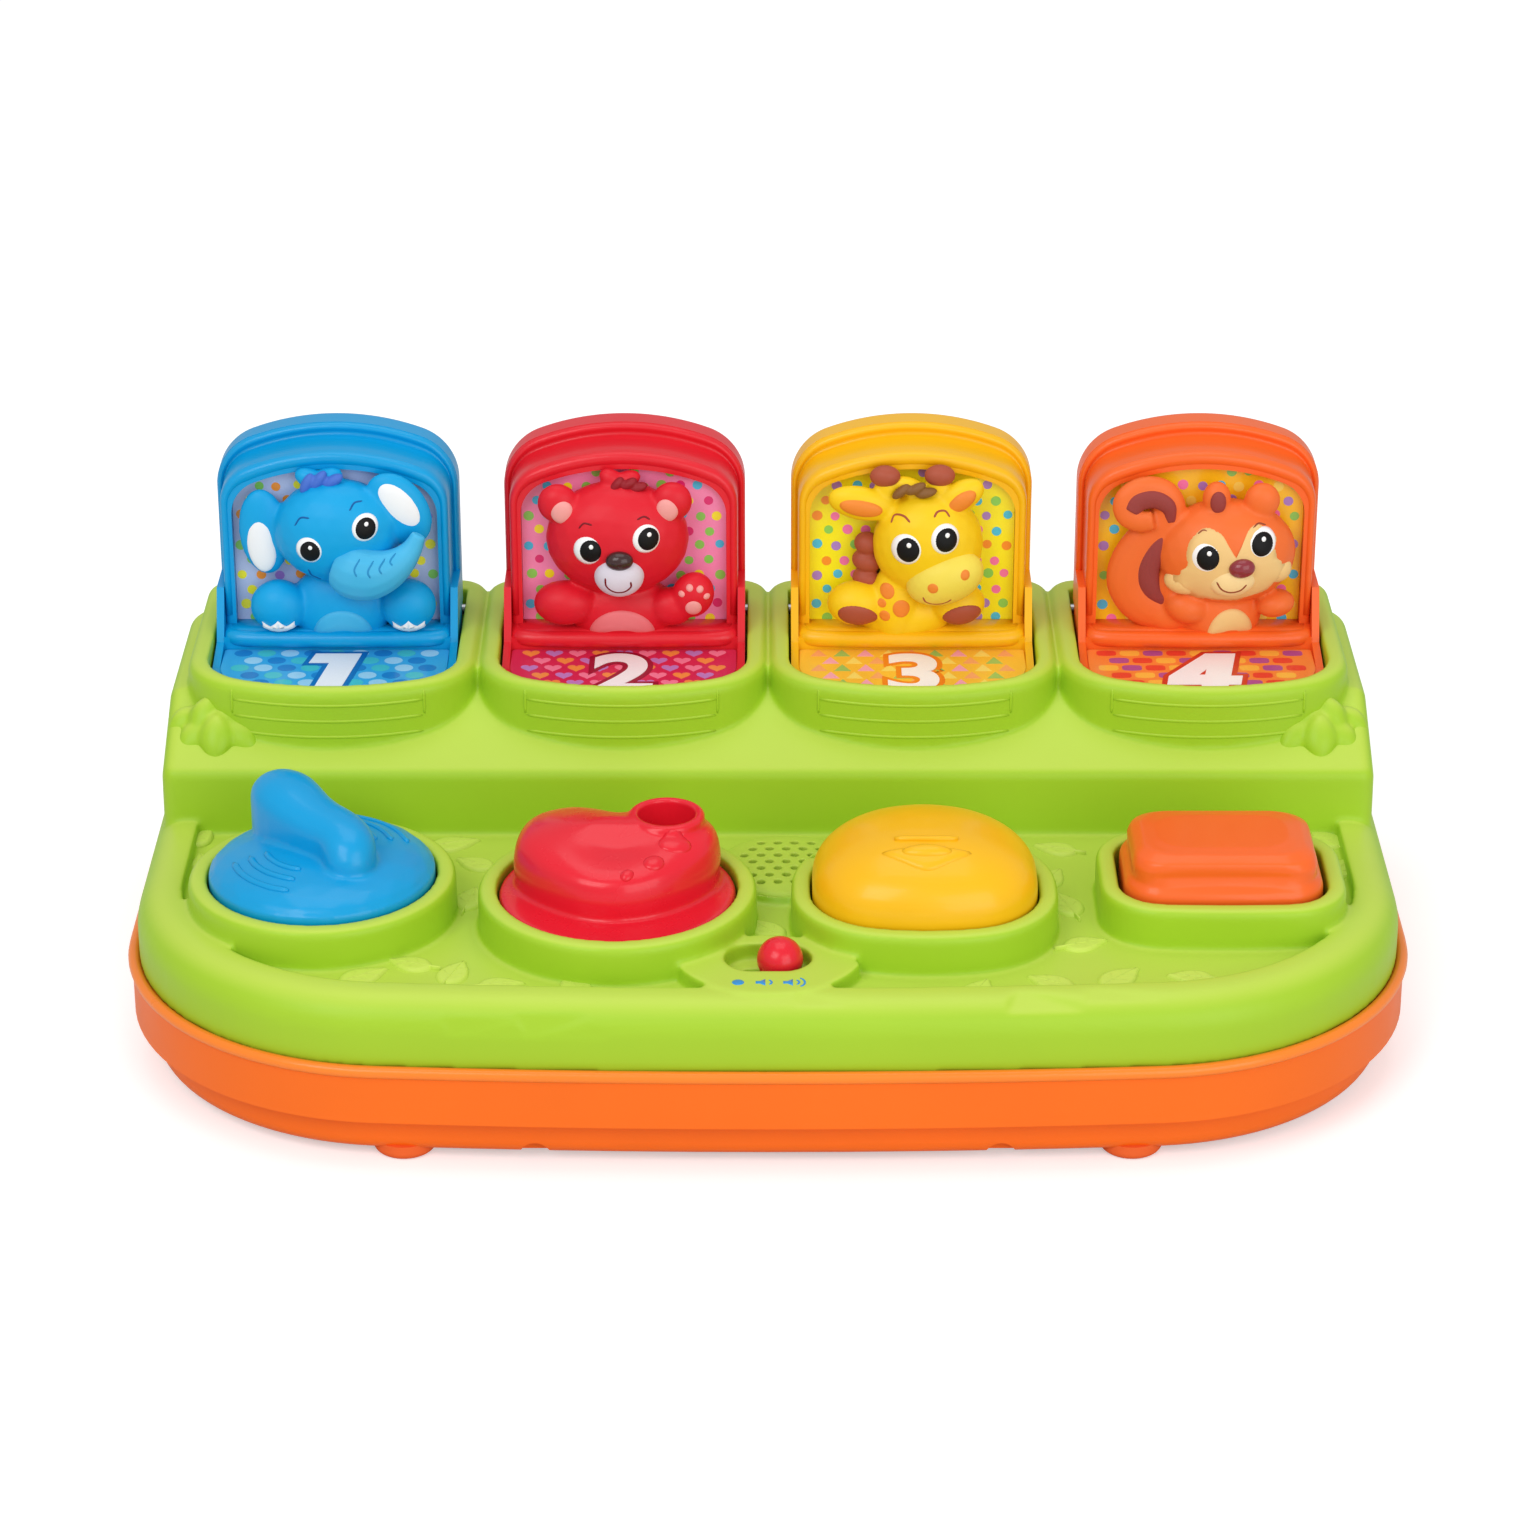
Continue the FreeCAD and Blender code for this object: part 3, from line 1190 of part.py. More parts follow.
# Each row is one rounded lump: across, up (from the shelf), out (from the backdrop),
# half width, half height, half depth, turn in degrees.
FIGURES = {
    "elephant": (
        (0.5, 7, 4.5, 14, 12, 8, 0), (0.3, 31, 5, 17, 15.5, 11, 0),
        (-19, 27, 2, 6, 10, 3.5, 10), (17.2, 36.6, 6.8, 6, 9.2, 3.5, 20),
        (5, 22, 13, 6, 6, 6, 0), (11.5, 18.5, 13, 5.5, 5, 5, 0), (17, 18.5, 12, 5, 4.5, 4.5, 0),
        (21.5, 22, 10.5, 4, 4.5, 4, 0), (23, 27, 9.5, 3.6, 3.6, 3.4, 0),
        (-14.5, 8, 6.5, 8, 6.2, 6, 0), (17.5, 8, 6.5, 7.5, 6.2, 6, 0), (-3, 44.3, 7.3, 4.5, 4, 3.6, 0),
    ),
    "bear": (
        (0, 4, 4, 15, 9, 8, 0), (0.2, 27.4, 5, 19.5, 16, 11, 0),
        (-16, 38.5, 7.3, 5.2, 5.2, 4, 0), (14.7, 40.2, 7.3, 5.2, 5.2, 4, 0),
        (1.3, 17.5, 14, 7, 5.5, 5, 0), (1.3, 22.8, 16.5, 3.2, 2.4, 2.6, 0),
        (1.5, 43.5, 7.3, 4.5, 3.6, 4, 0), (-15.5, 8, 7, 8.5, 5.5, 6, 0),
        (13.5, 7, 6, 5, 5, 5, 0), (19.5, 12, 7.5, 6, 6.5, 4.5, 0),
    ),
    "giraffe": (
        (-1, 4, 4, 13, 8, 8, 0), (4.1, 26.5, 5.5, 15, 15.5, 11, 0),
        (9.5, 17, 13.5, 9.5, 7, 6, 15), (-14, 38.8, 7.3, 10, 4.6, 4, 18),
        (12.8, 41.2, 7.2, 8, 4.2, 3.9, -20), (-7, 44.6, 6.4, 2.8, 4.4, 3, 0),
        (7, 44.7, 6.4, 2.8, 4.4, 3, 0),
        (0.5, 42.2, 7.5, 6, 3.6, 4, 0), (-4.5, 9, 8.5, 7, 10.5, 6, 0),
        (-12.5, 22.3, 3.4, 4.6, 4.4, 4, 0), (-11.8, 14.6, 3.1, 4.8, 4.8, 4, 0),
        (-16, 8, 7, 7, 5.5, 6, 0), (13.5, 7.5, 7, 6, 5.5, 6, 0),
    ),
    "squirrel": (
        (5.5, 5, 4.5, 12, 10, 8, 0), (7, 24.5, 5, 18.5, 14.2, 11, 0),
        (3, 39.5, 4, 4.4, 5, 4, 0), (15.6, 39, 4, 4.4, 5, 4, 0),
        (9.5, 18, 14, 5, 4, 4, 0), (-14.5, 11, 3.5, 8.5, 9.5, 5, 0), (-17.5, 24, 3.4, 7.5, 9.8, 5, 0),
        (-13.5, 36.5, 8.3, 9, 8, 5, 0), (-18, 40.6, 7.6, 5, 4.3, 4.2, 0),
        (-5, 7, 7, 5.5, 5, 5, 0), (18, 7.5, 7, 5.5, 5, 5, 0),
    ),
}


def lid_figure(index):
    """The animal that sits on the shelf in front of the backdrop."""
    mid = lid_mid(index)
    name = LIDS[index]
    lumps = []
    for number, (across, up, out, wide, tall, deep, turn) in enumerate(FIGURES[name]):
        lumps.append(egg(f"{name}_lump_{number}", mid + across, d.backdrop_front - out,
                         d.shelf_height + up, wide, deep, tall, turn))
    low, high = d.panel_top - d.shelf_thick * 2, d.lid_top + 1
    behind = block(name + "_behind", mid - d.lid_half_width, mid + d.lid_half_width,
                   d.backdrop_front, d.lid_back, low, high)
    under = block(name + "_under", mid - d.lid_half_width, mid + d.lid_half_width,
                  d.panel_front, d.lid_back, low - d.shelf_thick * 2, d.shelf_height)
    solid = fuse(name + "_lumps", lumps, refine=False)
    limits = fuse(name + "_limits", [behind, under])
    keep(cut(name + "_trim", solid, limits, refine=False), f"{name}_figure")


# ---------------------------------------------------------------- actuators

def cam(prefix, spot):
    """Cam on the lower end of a shaft, with its washer head screw."""
    top = d.shaft_end + d.cam_thick
    ring = cut(prefix + "_cam_cut", rod(prefix + "_cam_disc", d.cam_radius, *spot,
                                        d.shaft_end, top),
               rod(prefix + "_cam_bore", d.shaft_radius + d.rod_fit, *spot,
                   d.shaft_end - 1, top + 1))
    keep(ring, prefix + "_cam")
    keep(fuse(prefix + "_screw_solids", [
        rod(prefix + "_washer", d.washer_radius, *spot, d.shaft_end - d.washer_thick,
            d.shaft_end),
        rod(prefix + "_shank", d.screw_radius, *spot, d.shaft_end,
            d.shaft_end + 4 * d.screw_radius),
    ]), prefix + "_screw")


def shaft_thread(prefix, spot):
    return rod(prefix + "_thread", d.screw_radius + d.rod_fit, *spot, d.shaft_end - 1,
               d.shaft_end + 5 * d.screw_radius)


def turn_knob():
    """Domed knob with a slanting grip that is high at one end."""
    x, y = knob_spot()
    floor = d.deck_height + d.seat_gap
    skirt = rod("knob_disc", d.knob_radius, x, y, floor, d.knob_skirt)
    dome = egg("knob_dome_egg", x, y, d.knob_skirt, d.knob_radius, d.knob_radius, d.knob_dome)
    fin = new_body("grip")
    sketch = new_sketch(fin, ARCH, -d.grip_width / 2)
    half, shoulder = d.grip_length / 2, d.grip_head / 3
    polygon(sketch, [
        (-half, floor), (-half, d.knob_skirt), (shoulder - half, d.grip_top),
        (d.grip_head - half, d.grip_top), (half, d.grip_low), (half, floor),
    ])
    pad(fin, sketch, d.grip_width)
    round_edges(fin, d.grip_round, lambda edge: edge.BoundBox.ZMax > float(d.knob_skirt) + 1)
    place(fin, x, y, 0, (0, 0, 1), -45)
    shaft = rod("knob_shaft", d.shaft_radius, x, y, d.shaft_end, d.knob_skirt)
    solid = fuse("knob_solids", [skirt, dome, shaft, fin])
    trimmed = cut("knob_trim", solid, fuse("knob_cuts", [
        cut("knob_under", rod("knob_under_disc", d.knob_radius + 1, x, y,
                              floor - d.grip_top, floor),
            rod("knob_under_bore", d.shaft_radius, x, y, floor - d.grip_top, floor)),
        shaft_thread("knob", (x, y)),
    ]))
    keep(trimmed, "turn_knob")
    cam("knob", (x, y))


def finger_dial():
    """Flanged dial with a bean shaped top and a well for a finger."""
    x, y = dial_spot()
    floor = d.deck_height + d.seat_gap
    top = d.dial_top - d.dial_dome
    lumps = [rod("dial_flange_disc", d.dial_radius, x, y, floor, d.dial_flange),
             rod("dial_shaft", d.shaft_radius, x, y, d.shaft_end, floor)]
    for number, (dx, dy, radius) in enumerate((
        (-d.lobe_x, d.lobe_y, d.lobe_radius), (d.lobe_x, d.lobe_y, d.lobe_radius),
        (-d.side_x, d.side_y, d.side_radius), (d.side_x, d.side_y, d.side_radius),
        (as_size(0), -d.chin_y, d.chin_radius),
    )):
        lumps.append(rod(f"lobe_{number}", radius, x + dx, y + dy, floor, top))
        lumps.append(egg(f"lobe_dome_{number}", x + dx, y + dy, top, radius, radius, d.dial_dome))
    well = rod("finger_well", d.well_radius, x + d.lobe_x, y + d.lobe_y,
               d.dial_top - d.well_depth, d.dial_top + 1)
    keep(cut("dial", fuse("dial_solids", lumps),
             fuse("dial_cuts", [well, shaft_thread("dial", (x, y))])), "finger_dial")
    cam("dial", (x, y))


def dome_form(name, low, inset):
    """The push button's outside, or its hollow when inset by the wall."""
    brow = d.button_brow - inset
    wall = outline_pad(name + "_wall", low, brow, *button_outline(-inset))
    round_edges(wall, d.button_round - inset, at_level(brow))
    crown = egg(name + "_crown", d.button_x, d.button_dome_back - d.button_y, brow,
                d.button_dome_x - inset, d.button_dome_y - inset, d.button_top - d.button_brow)
    return fuse(name, [wall, crown])


def push_button():
    """Hollow domed button on a stem, its clip and its spring."""
    low = d.deck_height + d.button_travel + d.seat_gap
    outer = dome_form("button_outer", low, as_size(0))
    inner = dome_form("button_inner", as_size(d.deck_height), d.button_wall)
    cap = cut("button_cap", outer, inner)
    clip_top = deck_under - d.seat_gap
    clip_low = clip_top - d.clip_thick
    stem = rod("button_stem", d.stem_radius, d.button_x, -d.button_y, clip_low,
               d.button_top - d.button_wall / 2)
    keep(fuse("button", [cap, stem]), "push_button")
    keep(cut("clip_cut",
             rod("clip_disc", d.clip_radius, d.button_x, -d.button_y, clip_low, clip_top),
             rod("clip_bore", d.stem_radius + d.rod_fit, d.button_x, -d.button_y,
                 clip_low - 1, clip_top + 1)), "button_clip")
    rise = float(spring_high - spring_low - 2 * d.wire_radius)
    spring = coil("button_coil", d.spring_radius, d.wire_radius,
                  rise / float(d.spring_turns), d.spring_turns)
    place(spring, d.button_x, -d.button_y, spring_low + d.wire_radius)
    keep(spring, "button_spring")


def rocker():
    """Rocker with a waisted bar, a tab below and the pin that it tilts on."""
    skirt = outline_pad("rocker_skirt_pad", d.rocker_floor, d.rocker_skirt,
                        *rocker_outline(as_size(0)))
    round_edges(skirt, d.bar_round, at_level(d.rocker_skirt))
    x, y = d.rocker_x, -d.rocker_y
    bar = outline_pad("rocker_bar", d.rocker_skirt - 1, d.rocker_top, x, d.bar_half_length,
                      y - d.bar_ahead - d.bar_half_width, y - d.bar_ahead + d.bar_half_width,
                      d.rocker_bow, d.bar_corner, d.bar_corner)
    round_edges(bar, d.bar_round, at_level(d.rocker_top))
    shift = d.bar_half_width + d.waist_radius - d.waist_depth
    waists = [rod(f"waist_{side + 1}", d.waist_radius, x, y - d.bar_ahead + side * shift,
                  d.rocker_skirt, d.rocker_top + 1) for side in (-1, 1)]
    shaped = cut("rocker_shaped", bar, fuse("waist_pair", waists))
    space = outline_pad("rocker_space", d.rocker_floor - 1, d.rocker_skirt - d.rocker_wall,
                        *rocker_outline(-d.rocker_wall))
    hollow = cut("rocker_hollow", fuse("rocker_outer", [skirt, shaped]), space)
    tab = d.tab_half_width
    reach = d.rocker_half_width - d.seat_gap
    tower = block("rocker_tab", x - tab, x + tab, y - tab, y + tab, d.tab_end, d.rocker_skirt)
    hub = rod_y("rocker_hub", tab, x, y - reach, y + reach, d.pivot_height)
    bore = rod_y("rocker_bore_pin", d.rod_radius + d.rod_fit, x, *pin_ends(), d.pivot_height)
    keep(cut("rocker_cut", fuse("rocker_solids", [hollow, tower, hub]), bore), "rocker")
    ends = pin_ends()
    keep(rod_y("pin", d.rod_radius, x, ends[0] + d.seat_gap, ends[1] - d.seat_gap,
               d.pivot_height), "rocker_pin")


# ---------------------------------------------------------------- latches

def latch_starts():
    """Y of the front end of each latch slide, clear of what draws it forward."""
    clear = d.latch_travel + 2 * d.seat_gap
    return (
        d.cam_radius - d.knob_y + clear, d.cam_radius - d.dial_y + clear,
        d.clip_radius - d.button_y + clear, d.tab_half_width * 2 - d.rocker_y + clear,
    )


def latches():
    """Slides that hold closed lids down, and their guides under the deck."""
    half = d.latch_width / 2
    top = d.latch_low + d.latch_thick
    guides = []
    for index, start in enumerate(latch_starts()):
        mid = lid_mid(index)
        name = f"{LIDS[index]}_latch"
        rear = d.latch_riser + d.latch_thick
        nose_low = d.latch_high - d.latch_thick
        keep(fuse(name + "_solids", [
            block(name + "_bar", mid - half, mid + half, start, rear, d.latch_low, top),
            block(name + "_riser", mid - half, mid + half, d.latch_riser, rear, d.latch_low,
                  d.latch_high),
            block(name + "_nose", mid - half, mid + half, d.latch_riser, d.latch_nose, nose_low,
                  d.latch_high),
        ]), name)
        gap, wall = d.seat_gap, d.guide_wall
        side = half + gap + wall
        y0 = -d.guide_front
        y1 = y0 + d.guide_length
        guides.append(cut(
            f"guide_{index}",
            block(f"guide_box_{index}", mid - side, mid + side, y0, y1,
                  d.latch_low - gap - wall, deck_under),
            block(f"guide_way_{index}", mid - half - gap, mid + half + gap, y0 - 1, y1 + 1,
                  d.latch_low - gap, top + gap),
        ))
    keep(group("guide_group", guides), "latch_guides")


def check_and_write():
    """Stop at any object that failed, then write one STEP file for each sub-part."""
    doc.recompute()
    for obj in doc.Objects:
        if {"Invalid", "Error"} & set(obj.State):
            raise RuntimeError(f"{obj.Name} failed: {obj.State}")
    for obj in nodes:
        shape = obj.Shape
        if shape.isNull() or not shape.isValid() or not shape.Solids:
            raise RuntimeError(f"{obj.Label} has no valid solid")
    os.makedirs("parts", exist_ok=True)
    for obj in nodes:
        obj.Shape.exportStep(os.path.join("parts", obj.Label + ".step"))
        print(f"{obj.Label}: {len(obj.Shape.Solids)} solid(s), {obj.Shape.Volume:.0f} mm3")


def main():
    base_tray()
    feet()
    upper_shell()
    housing_screws()
    battery_parts()
    electronics()
    volume_slider()
    hinge_parts()
    for index in range(len(LIDS)):
        lid_cover(index)
        lid_frame(index)
        lid_cards(index)
        lid_figure(index)
    turn_knob()
    finger_dial()
    push_button()
    rocker()
    latches()
    check_and_write()


main()
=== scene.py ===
"""The pop up toy dressed for looks: softened mouldings, relief work, animals and printed cards.

Blender works in metres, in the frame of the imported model: X to the right, Y to the back,
Z up.  Shapes here are written in millimetres and turned into metres when a mesh is made.
"""
from __future__ import annotations

import logging
import math
import random
from contextlib import contextmanager
from dataclasses import dataclass, field
from enum import Enum
from functools import lru_cache
from typing import Callable, Iterable, Iterator, Sequence

import bmesh
import bpy
from mathutils import Matrix, Vector
from mathutils.bvhtree import BVHTree


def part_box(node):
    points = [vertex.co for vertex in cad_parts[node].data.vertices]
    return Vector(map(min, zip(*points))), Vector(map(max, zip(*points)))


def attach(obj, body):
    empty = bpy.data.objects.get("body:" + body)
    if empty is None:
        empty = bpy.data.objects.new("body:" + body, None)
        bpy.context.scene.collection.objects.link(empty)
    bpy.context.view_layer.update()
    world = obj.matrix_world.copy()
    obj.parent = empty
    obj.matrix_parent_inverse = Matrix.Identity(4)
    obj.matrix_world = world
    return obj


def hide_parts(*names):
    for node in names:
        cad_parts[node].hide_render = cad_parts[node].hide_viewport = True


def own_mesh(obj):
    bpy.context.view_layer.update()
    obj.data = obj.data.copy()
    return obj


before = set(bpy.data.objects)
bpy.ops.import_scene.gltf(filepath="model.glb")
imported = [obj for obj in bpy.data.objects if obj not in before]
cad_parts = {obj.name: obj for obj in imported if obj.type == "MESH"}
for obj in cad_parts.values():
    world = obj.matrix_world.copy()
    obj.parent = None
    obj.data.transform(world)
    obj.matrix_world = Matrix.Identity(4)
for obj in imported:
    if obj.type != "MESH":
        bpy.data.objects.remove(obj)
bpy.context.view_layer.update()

log = logging.getLogger("toy")
MM = 0.001
PICTURE_SIZE = 1536
Pair = tuple[float, float]
Row = tuple[float, ...]
Colour = tuple[int, int, int]


# ------------------------------------------------------------------ shader building

def linear(colour: Colour) -> tuple[float, float, float, float]:
    """Turn a screen colour into the linear values that shaders take.

    Args:
        colour: Red, green and blue from 0 to 255.

    Returns:
        Linear red, green, blue and full alpha.
    """
    def channel(value: float) -> float:
        """One channel from screen to linear."""
        share = min(max(value / 255, 0), 1)
        return share / 12.92 if share <= 0.04045 else ((share + 0.055) / 1.055) ** 2.4

    return (*[channel(value) for value in colour], 1.0)


def shaded(colour: Colour, factor: float) -> Colour:
    """A colour made lighter or darker by a factor."""
    return tuple(int(min(255, value * factor)) for value in colour)


class Wire:
    """A shader socket that takes part in Python expressions."""

    def __init__(self, net: "Net", socket: bpy.types.NodeSocket) -> None:
        """Keep the socket and the net it belongs to."""
        self.net = net
        self.socket = socket

    def maths(self, operation: str, first: object, second: object) -> "Wire":
        """Add a Math node.

        Args:
            operation: Name of the Math operation.
            first: Value or wire of the first input.
            second: Value or wire of the second input.

        Returns:
            The node's value.
        """
        return self.net.wire("ShaderNodeMath", {"operation": operation}, {0: first, 1: second})

    def __add__(self, other: object) -> "Wire":
        """Sum."""
        return self.maths("ADD", self, other)

    __radd__ = __add__

    def __sub__(self, other: object) -> "Wire":
        """Difference."""
        return self.maths("SUBTRACT", self, other)

    def __mul__(self, other: object) -> "Wire":
        """Product."""
        return self.maths("MULTIPLY", self, other)

    __rmul__ = __mul__


class Net:
    """The node tree of a material or of the surroundings."""

    def __init__(self, owner: bpy.types.Material | bpy.types.World) -> None:
        """Start an empty tree."""
        self.owner = owner
        self.owner.use_nodes = True
        self.tree = self.owner.node_tree
        self.tree.nodes.clear()

    def node(self, kind: str, settings: dict[str, object] | None = None,
             sockets: dict[object, object] | None = None) -> bpy.types.Node:
        """Add a node.

        Args:
            kind: Type of the node.
            settings: Its settings, set first; "stops" fills a ramp.
            sockets: Values or wires of its inputs.

        Returns:
            The node.
        """
        made = self.tree.nodes.new(kind)
        for key, value in (settings or {}).items():
            if key == "stops":
                ramp = made.color_ramp
                while len(ramp.elements) < len(value):
                    ramp.elements.new(1.0)
                for element, (place, colour) in zip(ramp.elements, value):
                    element.position = place
                    element.color = colour
            else:
                setattr(made, key, value)
        for key, value in (sockets or {}).items():
            target = made.inputs[key]
            if isinstance(value, Wire):
                self.tree.links.new(value.socket, target)
            else:
                target.default_value = value
        return made

    def wire(self, kind: str, settings: dict[str, object] | None = None,
             sockets: dict[object, object] | None = None, output: object = 0) -> Wire:
        """Add a node and give one of its outputs."""
        return Wire(self, self.node(kind, settings, sockets).outputs[output])

    def place(self) -> Wire:
        """Coordinates that ride with the piece."""
        return self.wire("ShaderNodeTexCoord", output="Object")

    def noise(self, scale: float, detail: float = 2.0) -> Wire:
        """Soft noise from 0 to 1, its grains 1 / scale metres wide."""
        return self.wire("ShaderNodeTexNoise", None,
                         {"Vector": self.place(), "Scale": scale, "Detail": detail})

    def mix(self, factor: object, first: object, second: object) -> Wire:
        """Blend two colours."""
        return self.wire("ShaderNodeMix", {"data_type": "RGBA"},
                         {0: factor, 6: first, 7: second}, output=2)

    def tones(self, factor: object, tone: Colour, low: float, high: float) -> Wire:
        """Let a tone drift between a darker and a lighter one."""
        return self.mix(factor, linear(shaded(tone, low)), linear(shaded(tone, high)))

    def worn(self, roughness: float, swing: float) -> Wire:
        """Roughness that swings with handling."""
        return roughness + (self.noise(WEAR_SCALE, 4.0) - 0.5) * swing

    def surface(self, colour: Wire, roughness: Wire, height: Wire | None = None,
                depth: float = 0.0, fixed: dict[str, object] | None = None
                ) -> bpy.types.Material:
        """Close the tree with a Principled shader.

        Args:
            colour: Base colour.
            roughness: Roughness.
            height: Height of the surface's grain.
            depth: Depth of the grain in millimetres.
            fixed: Plain values of the shader's other sockets.

        Returns:
            The finished material.
        """
        sockets = {"Base Color": colour, "Roughness": roughness, **(fixed or {})}
        if height is not None:
            sockets["Normal"] = self.wire("ShaderNodeBump", None, {
                "Height": height, "Distance": depth * MM, "Strength": 1.0})
        shader = self.wire("ShaderNodeBsdfPrincipled", None, sockets)
        self.node("ShaderNodeOutputMaterial", None, {"Surface": shader})
        return self.owner


CLOUD_SCALE = 28.0
WEAR_SCALE = 90.0
GRAIN_SCALE = 1600.0


@dataclass(frozen=True)
class Finish:
    """A finish with a name and a main tone."""

    name: str
    tone: Colour

    @lru_cache(maxsize=None)
    def material(self) -> bpy.types.Material:
        """The finish as a material, made once."""
        return self.paint(Net(bpy.data.materials.new(self.name)))

    def paint(self, net: Net) -> bpy.types.Material:
        """Lay out the nodes of the finish."""
        raise NotImplementedError


@dataclass(frozen=True)
class Plastic(Finish):
    """Moulded plastic with a little drift of tone, gloss and grain."""

    roughness: float = 0.42
    coat: float = 0.0
    drift: float = 0.05
    grain: float = 0.012
    shine: float = 0.28

    def paint(self, net: Net) -> bpy.types.Material:
        """Lay out the nodes of the finish."""
        colour = net.tones(net.noise(CLOUD_SCALE), self.tone, 1 - self.drift, 1 + self.drift)
        return net.surface(colour, net.worn(self.roughness, 0.14), net.noise(GRAIN_SCALE, 1.0),
                           self.grain, {"Coat Weight": self.coat, "Coat Roughness": 0.12,
                                        "Specular IOR Level": self.shine})


@dataclass(frozen=True)
class Shell(Finish):
    """Moulded plastic with painted light: paler where it faces up, as if lit from above."""

    lit_top_tone: Colour
    roughness: float = 0.42
    shine: float = 0.3
    rise: Pair = (0.55, 0.98)

    def paint(self, net: Net) -> bpy.types.Material:
        """Lay out the nodes of the finish."""
        facing = net.wire("ShaderNodeSeparateXYZ", None, {
            0: net.wire("ShaderNodeTexCoord", output="Normal")}, output="Z")
        level = net.wire("ShaderNodeMapRange", {"interpolation_type": "SMOOTHSTEP"},
                         {"Value": facing, "From Min": self.rise[0], "From Max": self.rise[1]})
        cloud = 0.97 + net.noise(CLOUD_SCALE) * 0.06
        # painted light: faces that point up blend into the paler lit top tone
        tone = net.mix(level, linear(self.tone), linear(self.lit_top_tone))
        grey = net.wire("ShaderNodeCombineColor", None, {0: cloud, 1: cloud, 2: cloud})
        colour = net.wire("ShaderNodeMix", {"data_type": "RGBA", "blend_type": "MULTIPLY"},
                          {0: 1.0, 6: tone, 7: grey}, output=2)
        return net.surface(colour, net.worn(self.roughness, 0.12), net.noise(GRAIN_SCALE, 1.0),
                           0.01, {"Specular IOR Level": self.shine})


@dataclass(frozen=True)
class Metal(Finish):
    """Plated metal with a brushed grain."""

    roughness: float = 0.32
    brush_scale: float = 700.0

    def paint(self, net: Net) -> bpy.types.Material:
        """Lay out the nodes of the finish."""
        brush = net.noise(self.brush_scale, 3.0)
        rough = self.roughness + (brush - 0.5) * 0.2
        return net.surface(net.tones(brush, self.tone, 0.9, 1.0), rough, brush, 0.004,
                           {"Metallic": 1.0})


@dataclass(frozen=True)
class Print(Finish):
    """Printed card under a clear film, with a faint halftone."""

    roughness: float = 0.3
    screen_scale: float = 2600.0

    def paint(self, net: Net) -> bpy.types.Material:
        """Lay out the nodes of the finish."""
        screen = net.wire("ShaderNodeTexVoronoi", None,
                          {"Vector": net.place(), "Scale": self.screen_scale})
        fleck = screen * 0.5 + net.noise(60.0) * 0.5
        rough = self.roughness + net.noise(300.0) * 0.06
        return net.surface(net.tones(fleck, self.tone, 0.97, 1.03), rough, net.noise(400.0),
                           0.01, {"Coat Weight": 0.3})


@dataclass(frozen=True)
class Board(Finish):
    """Green circuit board with copper tracks under the mask."""

    track: Colour
    lane_scale: float = 220.0

    def paint(self, net: Net) -> bpy.types.Material:
        """Lay out the nodes of the finish."""
        lanes = net.wire("ShaderNodeTexBrick", None,
                         {"Vector": net.place(), "Scale": self.lane_scale}, output="Fac")
        colour = net.mix(lanes * 0.6, linear(self.tone), linear(self.track))
        return net.surface(colour, 0.35 + net.noise(200.0) * 0.1, lanes, 0.02)


# shell green: its paler second tone is painted light on the upward faces
GREEN = Shell("shell_green", (164, 204, 44), (190, 216, 78))
# painted light: the shell's lit top tone as a flat finish, for the grille that faces up
LIT_DECK_GREEN = Plastic("lit_deck_green", (190, 216, 78), 0.44, drift=0.025)
# painted highlight: a lighter green than the lit deck, so the raised leaves read as catching light
LIT_LEAF_GREEN = Plastic("lit_leaf_green", (204, 226, 94), 0.44, drift=0.02)
TRAY = Plastic("tray_orange", (250, 112, 22), 0.38, drift=0.03)
# painted highlight: a lighter orange than the tray, standing in for the light line along the lip
TRAY_LIP_HIGHLIGHT = Plastic("tray_lip_highlight_orange", (255, 134, 40), 0.3, 0.2, drift=0.02)
FOOT = Plastic("foot_rubber", (236, 104, 44), 0.75, drift=0.04, grain=0.03)
BLUE = Plastic("blue_plastic", (0, 156, 216), 0.34, 0.15, 0.03)
RED = Plastic("red_plastic", (226, 32, 46), 0.34, 0.15, 0.03)
YELLOW = Plastic("yellow_plastic", (246, 186, 16), 0.34, 0.15, 0.03)
ORANGE = Plastic("orange_plastic", (246, 104, 36), 0.34, 0.15, 0.03)
RED_GLOSS = Plastic("red_gloss", (228, 30, 48), 0.26, 0.22, 0.03, 0.004)
INNER = Plastic("inner_white", (232, 232, 226), 0.5)
BLACK = Plastic("speaker_black", (34, 35, 38), 0.6)
STEEL = Metal("plated_steel", (196, 198, 202))
CONTACT = Metal("plated_contact", (222, 200, 130), 0.25)
CELL = Plastic("cell_sleeve", (62, 66, 74), 0.3, 0.4)
BOARD = Board("circuit_board", (28, 112, 60), (90, 160, 90))
ICON = Print("icon_blue", (10, 145, 215))
WHITE = Plastic("eye_white", (250, 250, 250), 0.18, 0.5, 0.01, 0.003)
PUPIL = Plastic("pupil_black", (4, 4, 6), 0.6, 0.0, 0.02, 0.003)
DIGIT = Print("digit_white", (252, 252, 252))
WHITE_FELT = Plastic("white_lining", (240, 242, 246), 0.6)
BODY_BLUE = Plastic("elephant_coat", (4, 162, 222), 0.46, drift=0.04)
BODY_RED = Plastic("bear_coat", (222, 26, 44), 0.44, drift=0.04)
BODY_YELLOW = Plastic("giraffe_coat", (252, 206, 20), 0.44, drift=0.04)
BODY_ORANGE = Plastic("squirrel_coat", (240, 112, 48), 0.44, drift=0.04)


